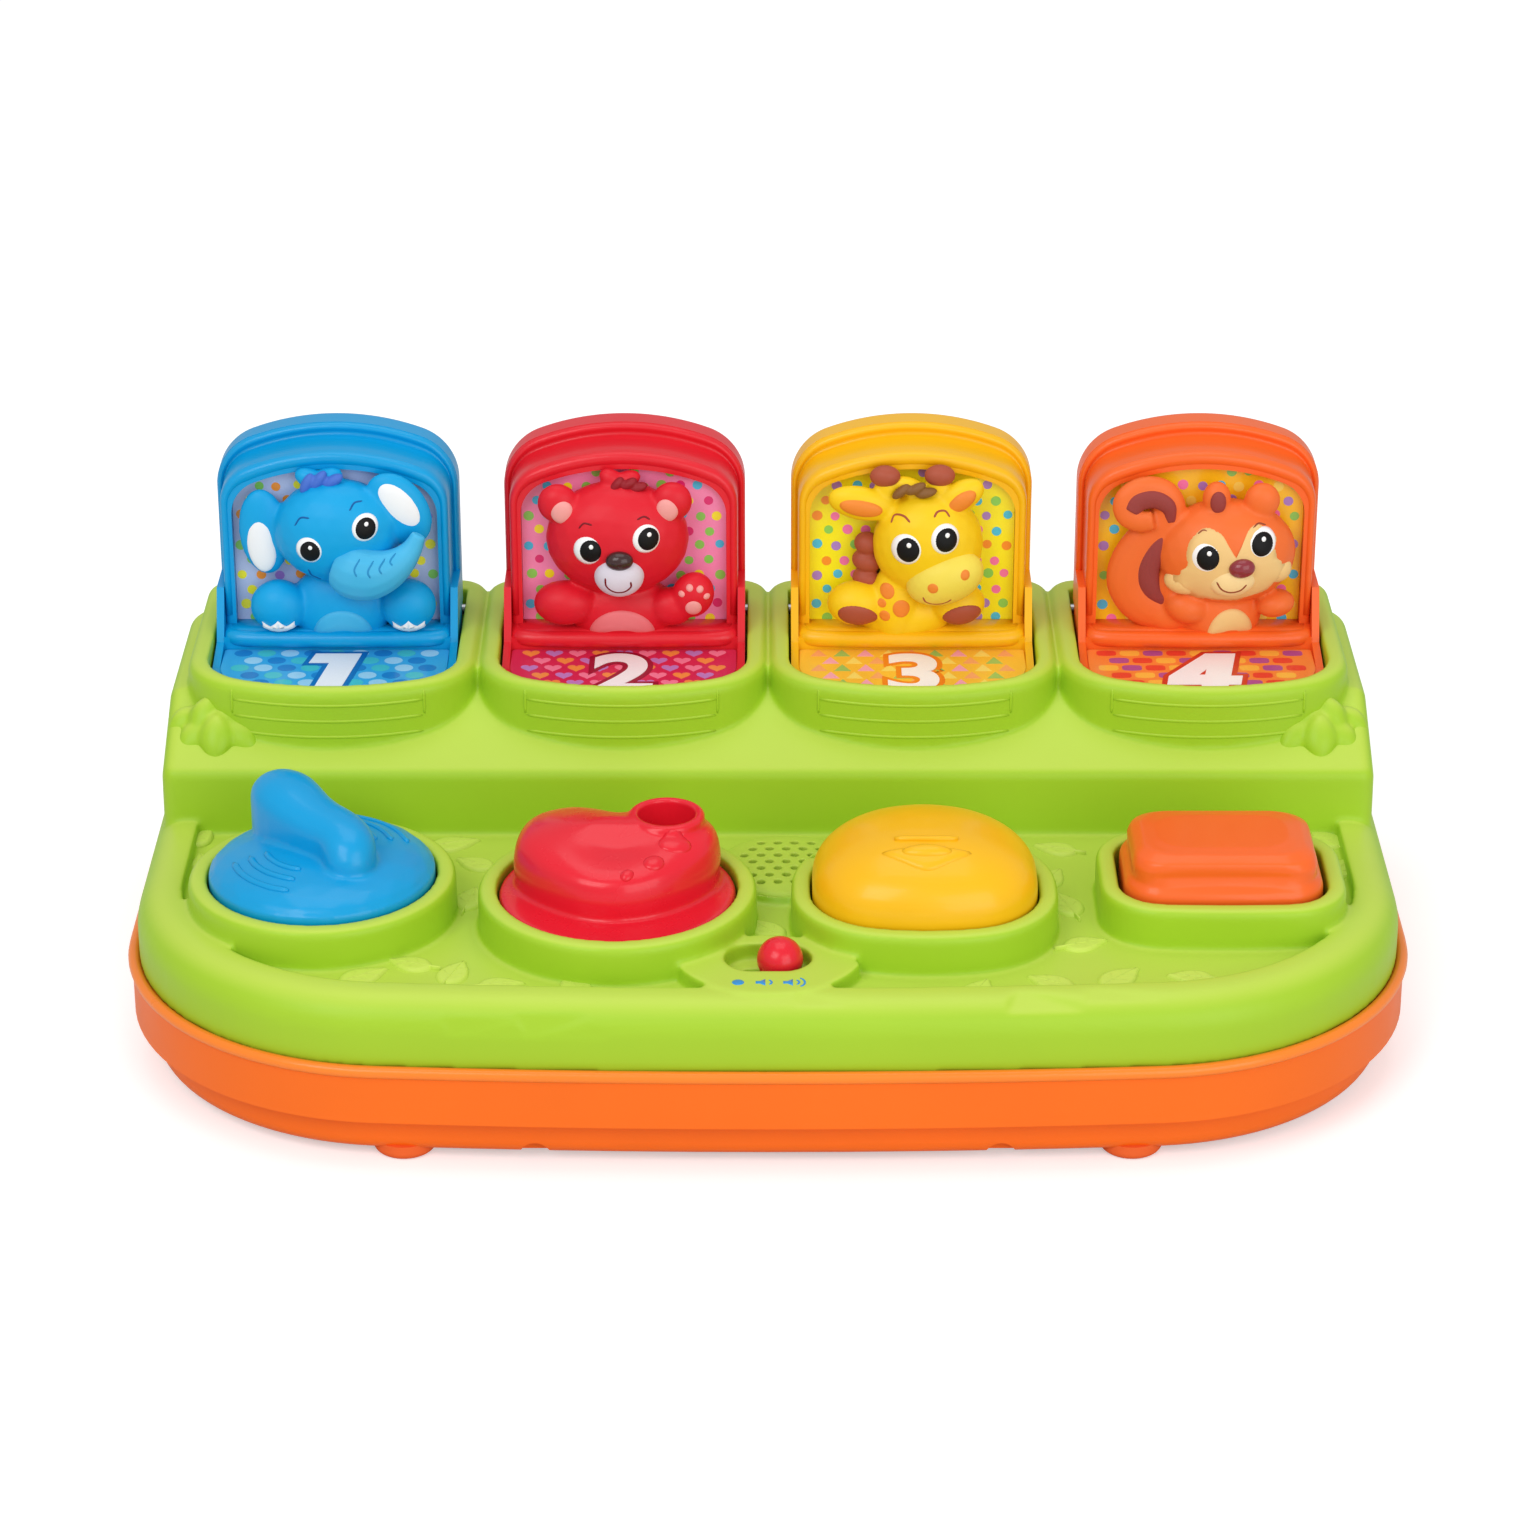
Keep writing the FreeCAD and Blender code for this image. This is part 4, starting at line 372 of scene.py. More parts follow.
class Lid(Enum):
    """The four lids from left to right, by their animals."""

    ELEPHANT = "elephant"
    BEAR = "bear"
    GIRAFFE = "giraffe"
    SQUIRREL = "squirrel"

    @property
    def body(self) -> str:
        """The body that the lid's pieces ride on."""
        return f"{self.value}_lid"

    @property
    def colour(self) -> str:
        """First word of the lid's material slots."""
        return dict(zip(Lid, ("blue", "red", "yellow", "orange")))[self]

    @property
    def middle(self) -> float:
        """X of the lid's middle plane in millimetres."""
        low, high = box_mm(f"{self.value}_cover")
        return (low.x + high.x) / 2


# ------------------------------------------------------------------ mesh building

@contextmanager
def opened(data: bpy.types.Mesh) -> Iterator[bmesh.types.BMesh]:
    """Open a mesh for editing and write it back."""
    form = bmesh.new()
    form.from_mesh(data)
    yield form
    form.to_mesh(data)
    form.free()


def joined(name: str, *parts: bpy.types.Mesh) -> bpy.types.Mesh:
    """Several meshes as one."""
    data = bpy.data.meshes.new(name)
    with opened(data) as form:
        for part in parts:
            form.from_mesh(part)
    return data


@lru_cache(maxsize=None)
def ball() -> tuple[list[Vector], list[list[int]]]:
    """Points and faces of a round ball with radius 1."""
    form = bmesh.new()
    bmesh.ops.create_icosphere(form, subdivisions=3, radius=1.0)
    points = [vertex.co.copy() for vertex in form.verts]
    faces = [[vertex.index for vertex in face.verts] for face in form.faces]
    form.free()
    return points, faces


def placed(name: str, data: bpy.types.ID) -> bpy.types.Object:
    """A new object in the scene with this data."""
    piece = bpy.data.objects.new(name, data)
    bpy.context.scene.collection.objects.link(piece)
    return piece


def finished(bench: bpy.types.Object) -> bpy.types.Mesh:
    """The mesh that a work piece gives, which is then cleared away."""
    graph = bpy.context.evaluated_depsgraph_get()
    made = bpy.data.meshes.new_from_object(bench.evaluated_get(graph))
    bpy.data.objects.remove(bench)
    return made


@dataclass
class Mould:
    """Points in millimetres and faces, gathered for one mesh."""

    points: list[Vector] = field(default_factory=list)
    faces: list[tuple[int, ...]] = field(default_factory=list)
    paints: list[int] = field(default_factory=list)
    paint: int = 0
    smooth: bool = True

    def add(self, points: Iterable[Vector], faces: Iterable[Sequence[int]]) -> "Mould":
        """Add points and the faces between them."""
        start = len(self.points)
        self.points.extend(Vector(point) for point in points)
        for face in faces:
            self.faces.append(tuple(index + start for index in face))
            self.paints.append(self.paint)
        return self

    def loft(self, rings: Sequence[Sequence[Vector]]) -> "Mould":
        """A closed skin through rings of equal length, capped at both ends.

        Args:
            rings: Closed rings in order, wound counterclockwise seen from the last one.

        Returns:
            The mould itself.
        """
        count = len(rings[0])
        faces: list[tuple[int, ...]] = [tuple(reversed(range(count)))]
        for level in range(len(rings) - 1):
            low, high = level * count, (level + 1) * count
            for side in range(count):
                after = (side + 1) % count
                faces.append((low + side, low + after, high + after, high + side))
        last = (len(rings) - 1) * count
        faces.append(tuple(range(last, last + count)))
        return self.add([point for ring in rings for point in ring], faces)

    def blob(self, centre: Sequence[float], half: Sequence[float], turn: float = 0.0) -> "Mould":
        """An ellipsoid, turned in the plane of a lid by degrees."""
        points, faces = ball()
        spin = Matrix.Rotation(math.radians(turn), 3, "Y")
        size = Matrix.Diagonal(half)
        return self.add([Vector(centre) + spin @ (size @ point) for point in points], faces)

    def drum(self, centre: Pair, radius: float, low: float, high: float,
             sides: int = 96) -> "Mould":
        """An upright cylinder."""
        return self.prism(oval(centre, (radius, radius), count=sides), low, high)

    def prism(self, outline: Sequence[Pair], low: float, high: float) -> "Mould":
        """An upright prism on a counterclockwise outline."""
        return self.loft([[Vector((x, y, z)) for x, y in outline] for z in (low, high)])

    def worm(self, path: Sequence[Vector], radii: Sequence[float], flat: float = 1.0,
             facing: Vector = Vector((0, -1, 0)), sides: int = 14) -> "Mould":
        """A rounded limb along a path.

        Args:
            path: Points of its middle line.
            radii: Its half width at each point.
            flat: Its thickness along the facing direction as a share of its width.
            facing: The direction in which it is flattened.
            sides: Faces round it.

        Returns:
            The mould itself.
        """
        rings = []
        for index, point in enumerate(path):
            ahead = path[min(index + 1, len(path) - 1)] - path[max(index - 1, 0)]
            side = ahead.cross(facing).normalized()
            rise = side.cross(ahead).normalized()
            ring = []
            for step in range(sides):
                angle = math.tau * step / sides
                ring.append(point + radii[index] * (
                    math.cos(angle) * side + flat * math.sin(angle) * rise))
            rings.append(ring)
        return self.loft(rings)

    def mesh(self, name: str) -> bpy.types.Mesh:
        """The gathered faces as a mesh in metres, with its outside facing out."""
        data = bpy.data.meshes.new(name)
        data.from_pydata([point * MM for point in self.points], [], self.faces)
        data.update()
        with opened(data) as form:
            bmesh.ops.recalc_face_normals(form, faces=form.faces)
        data.polygons.foreach_set("material_index", self.paints)
        data.polygons.foreach_set("use_smooth", [self.smooth] * len(data.polygons))
        return data


def oval(centre: Pair, half: Pair, turn: float = 0.0, count: int = 28) -> list[Pair]:
    """A counterclockwise ellipse, turned by degrees."""
    lean = math.radians(turn)
    points = []
    for step in range(count):
        angle = math.tau * step / count
        x, y = half[0] * math.cos(angle), half[1] * math.sin(angle)
        points.append((centre[0] + x * math.cos(lean) - y * math.sin(lean),
                       centre[1] + x * math.sin(lean) + y * math.cos(lean)))
    return points


def spline(points: Sequence[Sequence[float]], steps: int = 6, closed: bool = False
           ) -> list[Vector]:
    """A smooth line through points.

    Args:
        points: The points it passes.
        steps: Parts between two points.
        closed: Whether it returns to its start.

    Returns:
        The points of the line.
    """
    knots = [Vector(point) for point in points]
    count = len(knots)
    line = []
    for index in range(count if closed else count - 1):
        if closed:
            a, b, c, e = (knots[(index + shift) % count] for shift in (-1, 0, 1, 2))
        else:
            b, c = knots[index], knots[index + 1]
            a = knots[index - 1] if index else b * 2 - c
            e = knots[index + 2] if index + 2 < count else c * 2 - b
        for step in range(steps):
            t = step / steps
            line.append(0.5 * ((2 * b) + (c - a) * t + (2 * a - 5 * b + 4 * c - e) * t * t
                               + (3 * b - a - 3 * c + e) * t ** 3))
    if not closed:
        line.append(knots[-1])
    return line


def loop(points: Sequence[Pair], steps: int = 6) -> list[Pair]:
    """A smooth closed outline through points."""
    return [(point.x, point.y) for point in spline([(*p, 0) for p in points], steps, True)]


def moved(path: Iterable[Pair], x: float, y: float) -> list[Pair]:
    """Places moved in their plane."""
    return [(x + u, y + v) for u, v in path]


def arc(centre: Pair, radius: float, middle: float, spread: float) -> list[Pair]:
    """Five points of an arc that spreads both ways from a middle angle."""
    return [(centre[0] + radius * math.cos(middle + spread * share),
             centre[1] + radius * math.sin(middle + spread * share))
            for share in (-1, -0.5, 0, 0.5, 1)]


def evenly(values: Sequence[float], steps: int) -> list[float]:
    """Values run smoothly from one to the next, to go with a spline."""
    return [point.x for point in spline([(value, 0, 0) for value in values], steps)]


def show(name: str, shape: Mould | bpy.types.Mesh, body: str, slot: str,
         *finishes: Finish) -> bpy.types.Object:
    """Put a finished shape in the scene.

    Args:
        name: Name of the piece.
        shape: Its mould or its mesh.
        body: The body that it rides on.
        slot: Not used.
        finishes: Its finishes, in the order of the shape's paints.

    Returns:
        The piece.
    """
    data = shape.mesh(name) if isinstance(shape, Mould) else shape
    paints = [0] * len(data.polygons)
    data.polygons.foreach_get("material_index", paints)
    data.materials.clear()
    for finish in finishes:
        data.materials.append(finish.material())
    data.polygons.foreach_set("material_index", [min(p, len(finishes) - 1) for p in paints])
    piece = placed(name, data)
    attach(piece, body)
    log.info("%s: %d faces on %s", name, len(data.polygons), body)
    return piece


@dataclass
class Workshop:
    """Turns rough moulds into soft mouldings with Blender's own modifiers."""

    name: str

    def apply(self, data: bpy.types.Mesh, *steps: tuple[str, dict[str, object]]
              ) -> bpy.types.Mesh:
        """Run modifiers over a mesh.

        Args:
            data: The mesh.
            steps: Type and settings of each modifier, in order.

        Returns:
            The resulting mesh.
        """
        bench = placed(f"{self.name}_bench", data)
        for kind, settings in steps:
            step = bench.modifiers.new(kind, kind)
            for key, value in settings.items():
                setattr(step, key, value)
        made = finished(bench)
        made.name = self.name
        made.polygons.foreach_set("use_smooth", [True] * len(made.polygons))
        return made

    def soften(self, data: bpy.types.Mesh, voxel: float, rounds: int = 4,
               keep: float = 1.0) -> bpy.types.Mesh:
        """Melt a mesh into one skin with soft edges.

        Args:
            data: The mesh.
            voxel: Size of the skin's cells in millimetres.
            rounds: Rounds of smoothing.
            keep: Share of the faces that is kept.

        Returns:
            The skin.
        """
        steps = [("REMESH", {"mode": "VOXEL", "voxel_size": voxel * MM}),
                 ("SMOOTH", {"factor": 0.5, "iterations": rounds})]
        if keep < 1:
            steps.append(("DECIMATE", {"ratio": keep}))
        return self.apply(data, *steps)

    def carve(self, data: bpy.types.Mesh, tool: bpy.types.Mesh, inside: bool = False
              ) -> bpy.types.Mesh:
        """Cut a tool from a mesh, or keep only what lies inside it."""
        knife = placed(f"{self.name}_knife", tool)
        made = self.apply(data, ("BOOLEAN", {
            "operation": "INTERSECT" if inside else "DIFFERENCE", "object": knife,
            "solver": "EXACT"}))
        bpy.data.objects.remove(knife)
        return made

    @staticmethod
    def copy(node: str) -> bpy.types.Mesh:
        """A copy of a node's mesh with its corners joined."""
        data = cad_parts[node].data.copy()
        with opened(data) as form:
            bmesh.ops.remove_doubles(form, verts=form.verts, dist=1e-6)
        return data


class Surface:
    """The outside of finished pieces, seen along one direction, for laying reliefs on."""

    reach: float = 400.0
    edge_sink: float = 0.03
    ridge_sides: int = 8
    ridge_taper: float = 0.75
    ridge_end: float = 0.45

    def __init__(self, across: Vector, up: Vector, *pieces: bpy.types.Object) -> None:
        """Take the view's two axes and the pieces."""
        self.across = across
        self.up = up
        self.out = across.cross(up)
        self.trees: list[BVHTree] = []
        for piece in pieces:
            self.take(piece.data)

    def take(self, data: bpy.types.Mesh) -> None:
        """Add a mesh to the surface."""
        points = [vertex.co / MM for vertex in data.vertices]
        self.trees.append(BVHTree.FromPolygons(points, [list(p.vertices) for p in data.polygons]))

    def spot(self, u: float, v: float) -> tuple[Vector, Vector]:
        """The outermost point at a place in the view.

        Args:
            u: Place along the first axis.
            v: Place along the second axis.

        Returns:
            The point and the surface's normal there.
        """
        start = self.across * u + self.up * v + self.out * self.reach
        found = [tree.ray_cast(start, -self.out) for tree in self.trees]
        found = [hit for hit in found if hit[0] is not None]
        if found:
            best = min(found, key=lambda hit: hit[3])
            normal = best[1] if best[1].dot(self.out) > 0 else -best[1]
            return best[0], normal
        near = [tree.find_nearest(start - self.out * self.reach) for tree in self.trees]
        best = min(near, key=lambda hit: hit[3])
        return best[0], self.out

    def patch(self, mould: Mould, outline: Sequence[Pair], rise: float, crown: float = 2.0,
              rings: int = 6, sink: float = 0.4) -> None:
        """Lay a low relief with a given outline on the surface.

        Args:
            mould: Takes the faces.
            outline: Counterclockwise outline in the view.
            rise: Height of its middle.
            crown: 2 for a dome; more for a flat top with a round edge.
            rings: Rings from the middle to the edge.
            sink: How deep its underside lies in the surface.
        """
        count = len(outline)
        mid_u = sum(u for u, _ in outline) / count
        mid_v = sum(v for _, v in outline) / count
        layers = []
        for ring in range(1, rings + 1):
            share = ring / rings
            layer = []
            for u, v in outline:
                spot, normal = self.spot(mid_u + (u - mid_u) * share, mid_v + (v - mid_v) * share)
                lift = rise * (1 - share ** crown) - self.edge_sink * (share == 1)
                layer.append(spot + normal * lift)
            layers.append(layer)
        spot, normal = self.spot(mid_u, mid_v)
        base = [self.spot(u, v) for u, v in outline]
        under = [point - face * sink for point, face in base]
        points = [spot + normal * rise] + [point for layer in layers for point in layer]
        points += under + [spot - normal * sink]
        faces: list[tuple[int, ...]] = []
        for side in range(count):
            after = (side + 1) % count
            faces.append((0, 1 + side, 1 + after))
            for ring in range(rings):
                low, high = 1 + ring * count, 1 + (ring + 1) * count
                faces.append((low + side, high + side, high + after, low + after))
            last = 1 + rings * count
            faces.append((last + after, last + side, last + count))
        mould.add(points, faces)

    def ridge(self, mould: Mould, path: Sequence[Pair], width: float, rise: float,
              taper: bool = False, steps: int = 5) -> None:
        """Lay a thin raised line on the surface.

        Args:
            mould: Takes the faces.
            path: Its course in the view.
            width: Its width.
            rise: How far it stands out.
            taper: Whether it thins towards its end.
            steps: Parts between two points of the course.
        """
        line = spline([(*point, 0) for point in path], steps) if len(path) > 2 else [
            Vector((*path[0], 0)).lerp(Vector((*path[-1], 0)), step / steps)
            for step in range(steps + 1)]
        spots = [self.spot(point.x, point.y) for point in line]
        turns = [math.tau * step / self.ridge_sides for step in range(self.ridge_sides)]
        rings = []
        for index, (point, normal) in enumerate(spots):
            ahead = spots[min(index + 1, len(spots) - 1)][0] - spots[max(index - 1, 0)][0]
            side = ahead.cross(normal).normalized()
            share = index / (len(spots) - 1)
            half = width / 2 * (1 - self.ridge_taper * share if taper else 1)
            if index in (0, len(spots) - 1):
                half *= self.ridge_end
            rings.append([point + side * half * math.cos(turn) + normal * rise * math.sin(turn)
                          for turn in turns])
        mould.loft(rings)


X_AXIS, Y_AXIS, Z_AXIS = Vector((1, 0, 0)), Vector((0, 1, 0)), Vector((0, 0, 1))


@lru_cache(maxsize=None)
def box_mm(node: str) -> tuple[Vector, Vector]:
    """Lowest and highest corner of a node in millimetres."""
    low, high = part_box(node)
    return low / MM, high / MM


def felt_walls(node: str, middle: Vector, reach: float, count: int
               ) -> list[tuple[Vector, Vector]]:
    """Feel a node's outer wall from all round.

    Args:
        node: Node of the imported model.
        middle: Point in millimetres that the feelers aim at.
        reach: How far out they start.
        count: Number of feelers.

    Returns:
        Each feeler's direction and the place where it meets the wall.
    """
    tree = BVHTree.FromObject(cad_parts[node], bpy.context.evaluated_depsgraph_get())
    found = []
    for step in range(count):
        turn = math.tau * step / count
        way = Vector((math.cos(turn), math.sin(turn), 0))
        spot = tree.ray_cast((middle + way * reach) * MM, -way)[0]
        if spot is not None:
            found.append((way, spot / MM))
    return found


def paint_node(node: str, finish: Finish) -> None:
    """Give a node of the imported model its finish."""
    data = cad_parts[node].data
    data.materials.clear()
    data.materials.append(finish.material())


# ------------------------------------------------------------------ housing

@dataclass
class Housing:
    """Tray, shell, embossed leaves, grille, icons and all that stays inside."""

    voxel: float = 0.7
    leaf_rise: float = 0.9
    leaf_fall: float = 0.5
    leaf_length: float = 12.5
    leaf_width: float = 0.3
    leaf_stalk: float = 1.35
    leaf_veins: Pair = (-0.45, 0.05)
    leaf_vein_run: Pair = (0.34, 0.6)
    leaf_side: tuple[Pair, ...] = (
        # shares of half the length and of the width, from stalk to tip
        (-1, 0), (-0.7, 0.75), (-0.2, 1), (0.35, 0.72), (0.75, 0.28), (1, 0),
    )
    deck_height: float = 42.0
    lip_height: float = 27.6
    lip_radius: float = 1.6
    lip_inset: float = 0.6
    bush: tuple[Row, ...] = (
        # beside the middle, place from front to back, height, lean, half width
        (140.5, 21.0, 66.0, 40, 4.2), (147.0, 19.0, 66.5, 0, 4.6), (153.0, 21.5, 65.5, -35, 4.2),
        (143.5, 25.0, 70.5, 25, 4.0), (150.5, 25.0, 70.5, -20, 4.0), (156.0, 27.0, 68.0, -50, 3.8),
        (147.0, 17.0, 60.5, 10, 3.6),
    )
    bush_shift: Row = (-0.5, 1.2, -1.3)
    bush_lean: float = -35.0
    bush_half: Pair = (3.0, 1.55)
    bush_taper: float = 0.45
    bush_sink: float = 1.2
    speaker: Pair = (4.8, -13.5)
    speaker_radius: float = 17.8
    speaker_span: Pair = (38.0, 50.0)
    grille_voxel: float = 0.3
    grille_keep: float = 0.6
    grille_crown: float = 1.1
    line_heights: Row = (66.5, 71.0, 75.5)
    line_half: float = 25.0
    end_lines: Row = (25.5, 71.5, 78.0)
    icon_row: float = -83.3
    icon_dot: Pair = (-7.4, 1.7)
    horn: tuple[Pair, ...] = (
        (-1.6, -0.8), (-0.4, -0.8), (1.1, -2.0), (1.1, 2.0), (-0.4, 0.8), (-1.6, 0.8),
    )
    horns: tuple[tuple[float, int], ...] = ((-1.6, 1), (5.2, 2))  # place and waves
    icon_rise: float = 0.12
    leaves: tuple[Row, ...] = (
        # across, from front to back, turn
        (-150.5, 6.3, 60), (-147.5, -8.7, 110), (-82.7, 3.3, 20), (-76.7, -8.7, 150),
        (-76.9, -29.1, 80), (-100.8, -72.1, 35), (-89.8, -65.4, 160), (-78.3, -70.1, 70),
        (-72.5, -29.1, 120), (-66.4, -76.8, 10), (1.8, -35.1, 40), (-0.8, -46.3, 130),
        (75.7, 0.3, 160), (73.4, -17.5, 60), (76.4, -32, 110), (80.2, -54.4, 20),
        (70.3, -75.5, 150), (87.9, -72.8, 45), (105.4, -72.8, 170), (147.5, 6.3, 120),
        (149.5, -11.6, 60), (147.5, -29.1, 100), (-127, -78, 20), (128, -78, 150),
        (-63, 1, 95), (60, 2, 30), (40, 4, 150), (-33, 3, 25), (-20, -4, 130),
        (27, -6, 70), (95, -1, 110), (-48, -78, 120), (52, -80, 65), (-95, -1, 100),
    )
    finishes: tuple[tuple[Finish, str], ...] = (
        (TRAY, "base_tray battery_door"), (FOOT, "feet"), (CELL, "battery_cells"),
        (STEEL, "door_screw housing_screws speaker_magnet board_screws hinge_rods lid_springs "
                "rocker_pin knob_screw dial_screw"),
        (CONTACT, "battery_contacts"), (BLACK, "speaker_basket volume_switch"),
        (BOARD, "circuit_board"), (RED_GLOSS, "volume_slider"),
        (INNER, "latch_guides knob_cam dial_cam button_clip elephant_latch bear_latch "
                "giraffe_latch squirrel_latch"),
    )

    def build(self) -> None:
        """Make the housing."""
        for finish, nodes in self.finishes:
            for node in nodes.split():
                paint_node(node, finish)
        shell = self.shell()
        deck = Surface(X_AXIS, Y_AXIS, shell)
        self.grille()
        self.foliage(deck)
        front = Surface(X_AXIS, Z_AXIS, shell)
        self.cup_lines(front)
        self.icons(deck)
        self.tray_lip()
        self.bushes(front)

    def dress(self, name: str, shape: Mould | bpy.types.Mesh, finish: Finish
              ) -> bpy.types.Object:
        """Show a piece of the green shell."""
        return show(name, shape, "housing", "shell_green", finish)

    def speaker_tool(self) -> bpy.types.Mesh:
        """The drum that parts the grille from the shell."""
        return Mould().drum(self.speaker, self.speaker_radius, *self.speaker_span).mesh(
            "speaker_tool")

    def shell(self) -> bpy.types.Object:
        """The softened shell."""
        shop = Workshop("soft_shell")
        soft = shop.soften(shop.copy("upper_shell"), self.voxel, 5)
        piece = self.dress("soft_shell", shop.carve(soft, self.speaker_tool()), GREEN)
        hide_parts("upper_shell")
        return piece

    def grille(self) -> None:
        """The loudspeaker's grille with its rows of holes."""
        shop = Workshop("speaker_grille")
        data = shop.carve(shop.copy("upper_shell"), self.speaker_tool(), inside=True)
        data = shop.soften(data, self.grille_voxel, 3, self.grille_keep)
        for vertex in data.vertices:
            reach = math.hypot(vertex.co.x / MM - self.speaker[0],
                               vertex.co.y / MM - self.speaker[1]) / self.speaker_radius
            vertex.co.z += self.grille_crown * max(0.0, 1 - reach ** 4) * MM
        # the grille takes the lit top tone, which is painted light
        self.dress("speaker_grille", data, LIT_DECK_GREEN)

    def leaf(self, mould: Mould, deck: Surface, x: float, y: float, turn: float,
             length: float) -> None:
        """Emboss one leaf with its midrib, side veins and stalk where the deck is flat.

        Args:
            mould: Takes the faces.
            deck: The deck seen from above.
            x: Place of its middle across.
            y: Place of its middle from front to back.
            turn: The way it points, in degrees.
            length: Its length.
        """
        lean = math.radians(turn)

        def at(along: float, aside: float) -> Pair:
            """A place on the leaf in plan."""
            return (x + along * math.cos(lean) - aside * math.sin(lean),
                    y + along * math.sin(lean) + aside * math.cos(lean))

        half, wide, rise = length / 2, length * self.leaf_width, self.leaf_rise
        side = [(half * along, wide * aside) for along, aside in self.leaf_side]
        outline = [at(a, -b) for a, b in side] + [at(a, b) for a, b in reversed(side[1:-1])]
        stalk = at(-half * self.leaf_stalk, 0)
        level = deck.spot(x, y)[0].z
        lowest = min(deck.spot(u, v)[0].z for u, v in [*outline, stalk])
        if abs(level - self.deck_height) > self.leaf_fall or lowest < level - self.leaf_fall:
            return
        ground = Surface(X_AXIS, Y_AXIS)
        ground.take(Mould().prism(oval((x, y), (length, length)), level - 1, level).mesh("ground"))
        ground.patch(mould, loop(outline, 4), rise, 16.0, 8, 0.8)
        ground.ridge(mould, [stalk, at(half * 0.8, 0)], 0.8, rise + 0.2, True, 7)
        for step in self.leaf_veins:
            for way in (-1, 1):
                tip = at(half * (step + self.leaf_vein_run[0]), way * wide * self.leaf_vein_run[1])
                ground.ridge(mould, [at(half * step, 0), tip], 0.6, rise + 0.12, True, 3)

    def foliage(self, deck: Surface) -> None:
        """The leaves scattered over the deck."""
        mould = Mould()
        for index, row in enumerate(self.leaves):
            self.leaf(mould, deck, *row, self.leaf_length + index % 3)
        # the leaves take the lighter green, a painted highlight
        self.dress("deck_leaves", mould, LIT_LEAF_GREEN)

    def cup_lines(self, front: Surface) -> None:
        """Faint raised lines on the front walls of the cups."""
        mould = Mould()
        for lid in Lid:
            mid, half, (aside, low, high) = lid.middle, self.line_half, self.end_lines
            for height in self.line_heights:
                front.ridge(mould, [(mid - half, height), (mid, height), (mid + half, height)],
                            0.8, 0.3, steps=12)
            for end in (mid - aside, mid + aside):
                front.ridge(mould, [(end, low), (end, high)], 0.8, 0.3)
        self.dress("cup_lines", mould, GREEN)

    def tray_lip(self) -> None:
        """The rounded lip of the tray that shows below the shell, in a lighter orange that paints
        its highlight.
        """
        found = felt_walls("base_tray", Z_AXIS * (self.lip_height - 2.5), 400, 360)
        points = [Vector((*(spot - way * self.lip_inset).xy, self.lip_height))
                  for way, spot in found + found[:1]]
        lip = Mould().worm(points, [self.lip_radius] * len(points), 1.0, Z_AXIS, 12)
        show("tray_lip", lip, "housing", "tray_orange", TRAY_LIP_HIGHLIGHT)

    def bushes(self, front: Surface) -> None:
        """Piles of thick leaves at both ends of the step."""
        mould = Mould()
        points, faces = ball()
        over, back, down = self.bush_shift
        side = Matrix.Rotation(math.radians(self.bush_lean), 3, "X")
        for way in (-1, 1):
            for u, y, z, turn, wide in self.bush:
                spin = Matrix.Rotation(math.radians(turn * way), 3, "Y")
                middle = Vector((way * (u + over), y + back, z + down))
                mould.add([middle + side @ (spin @ Vector((
                    point.x * wide * (1 - self.bush_taper * abs(point.z) ** 2),
                    point.y * self.bush_half[0], point.z * wide * self.bush_half[1])))
                    for point in points], faces)
        data = Workshop("step_bushes").soften(mould.mesh("bush_rough"), 0.6, 14)
        for vertex in data.vertices:
            wall = front.spot(vertex.co.x / MM, vertex.co.z / MM)[0].y
            vertex.co.y = min(vertex.co.y, (wall + self.bush_sink) * MM)
        self.dress("step_bushes", data, GREEN)

    def icons(self, deck: Surface) -> None:
        """A dot and two loudspeakers with waves, printed in front of the volume knob."""
        mould = Mould()
        row, rise, (place, size) = self.icon_row, self.icon_rise, self.icon_dot
        deck.patch(mould, oval((place, row), (size, size)), rise, 8, 2, 0.2)
        for x, waves in self.horns:
            deck.patch(mould, moved(self.horn, x, row), rise, 8, 2, 0.2)
            for wave in range(waves):
                deck.ridge(mould, arc((x + 1.0, row), 1.5 + 1.4 * wave, 0, 0.9), 0.6, rise)
        self.dress("volume_icons", mould, ICON)


# ------------------------------------------------------------------ controls

@dataclass
class Control:
    """A control on the deck that stands round a centre."""

    centre: Pair = (0.0, 0.0)
    body: str = "housing"
    slot: str = "shell_green"
    finish: Finish = GREEN
    stem_radius: float = 6.0
    underside: float = 42.3

    def show(self, name: str, shape: Mould | bpy.types.Mesh) -> bpy.types.Object:
        """Show one of its pieces."""
        return show(name, shape, self.body, self.slot, self.finish)

    def base(self, node: str, radius: float, top: float) -> Mould:
        """A mould with the round flange of a node and the stem below it."""
        mould = Mould().drum(self.centre, radius, self.underside, top)
        return mould.drum(self.centre, self.stem_radius, box_mm(node)[0].z, 44.0, 48)


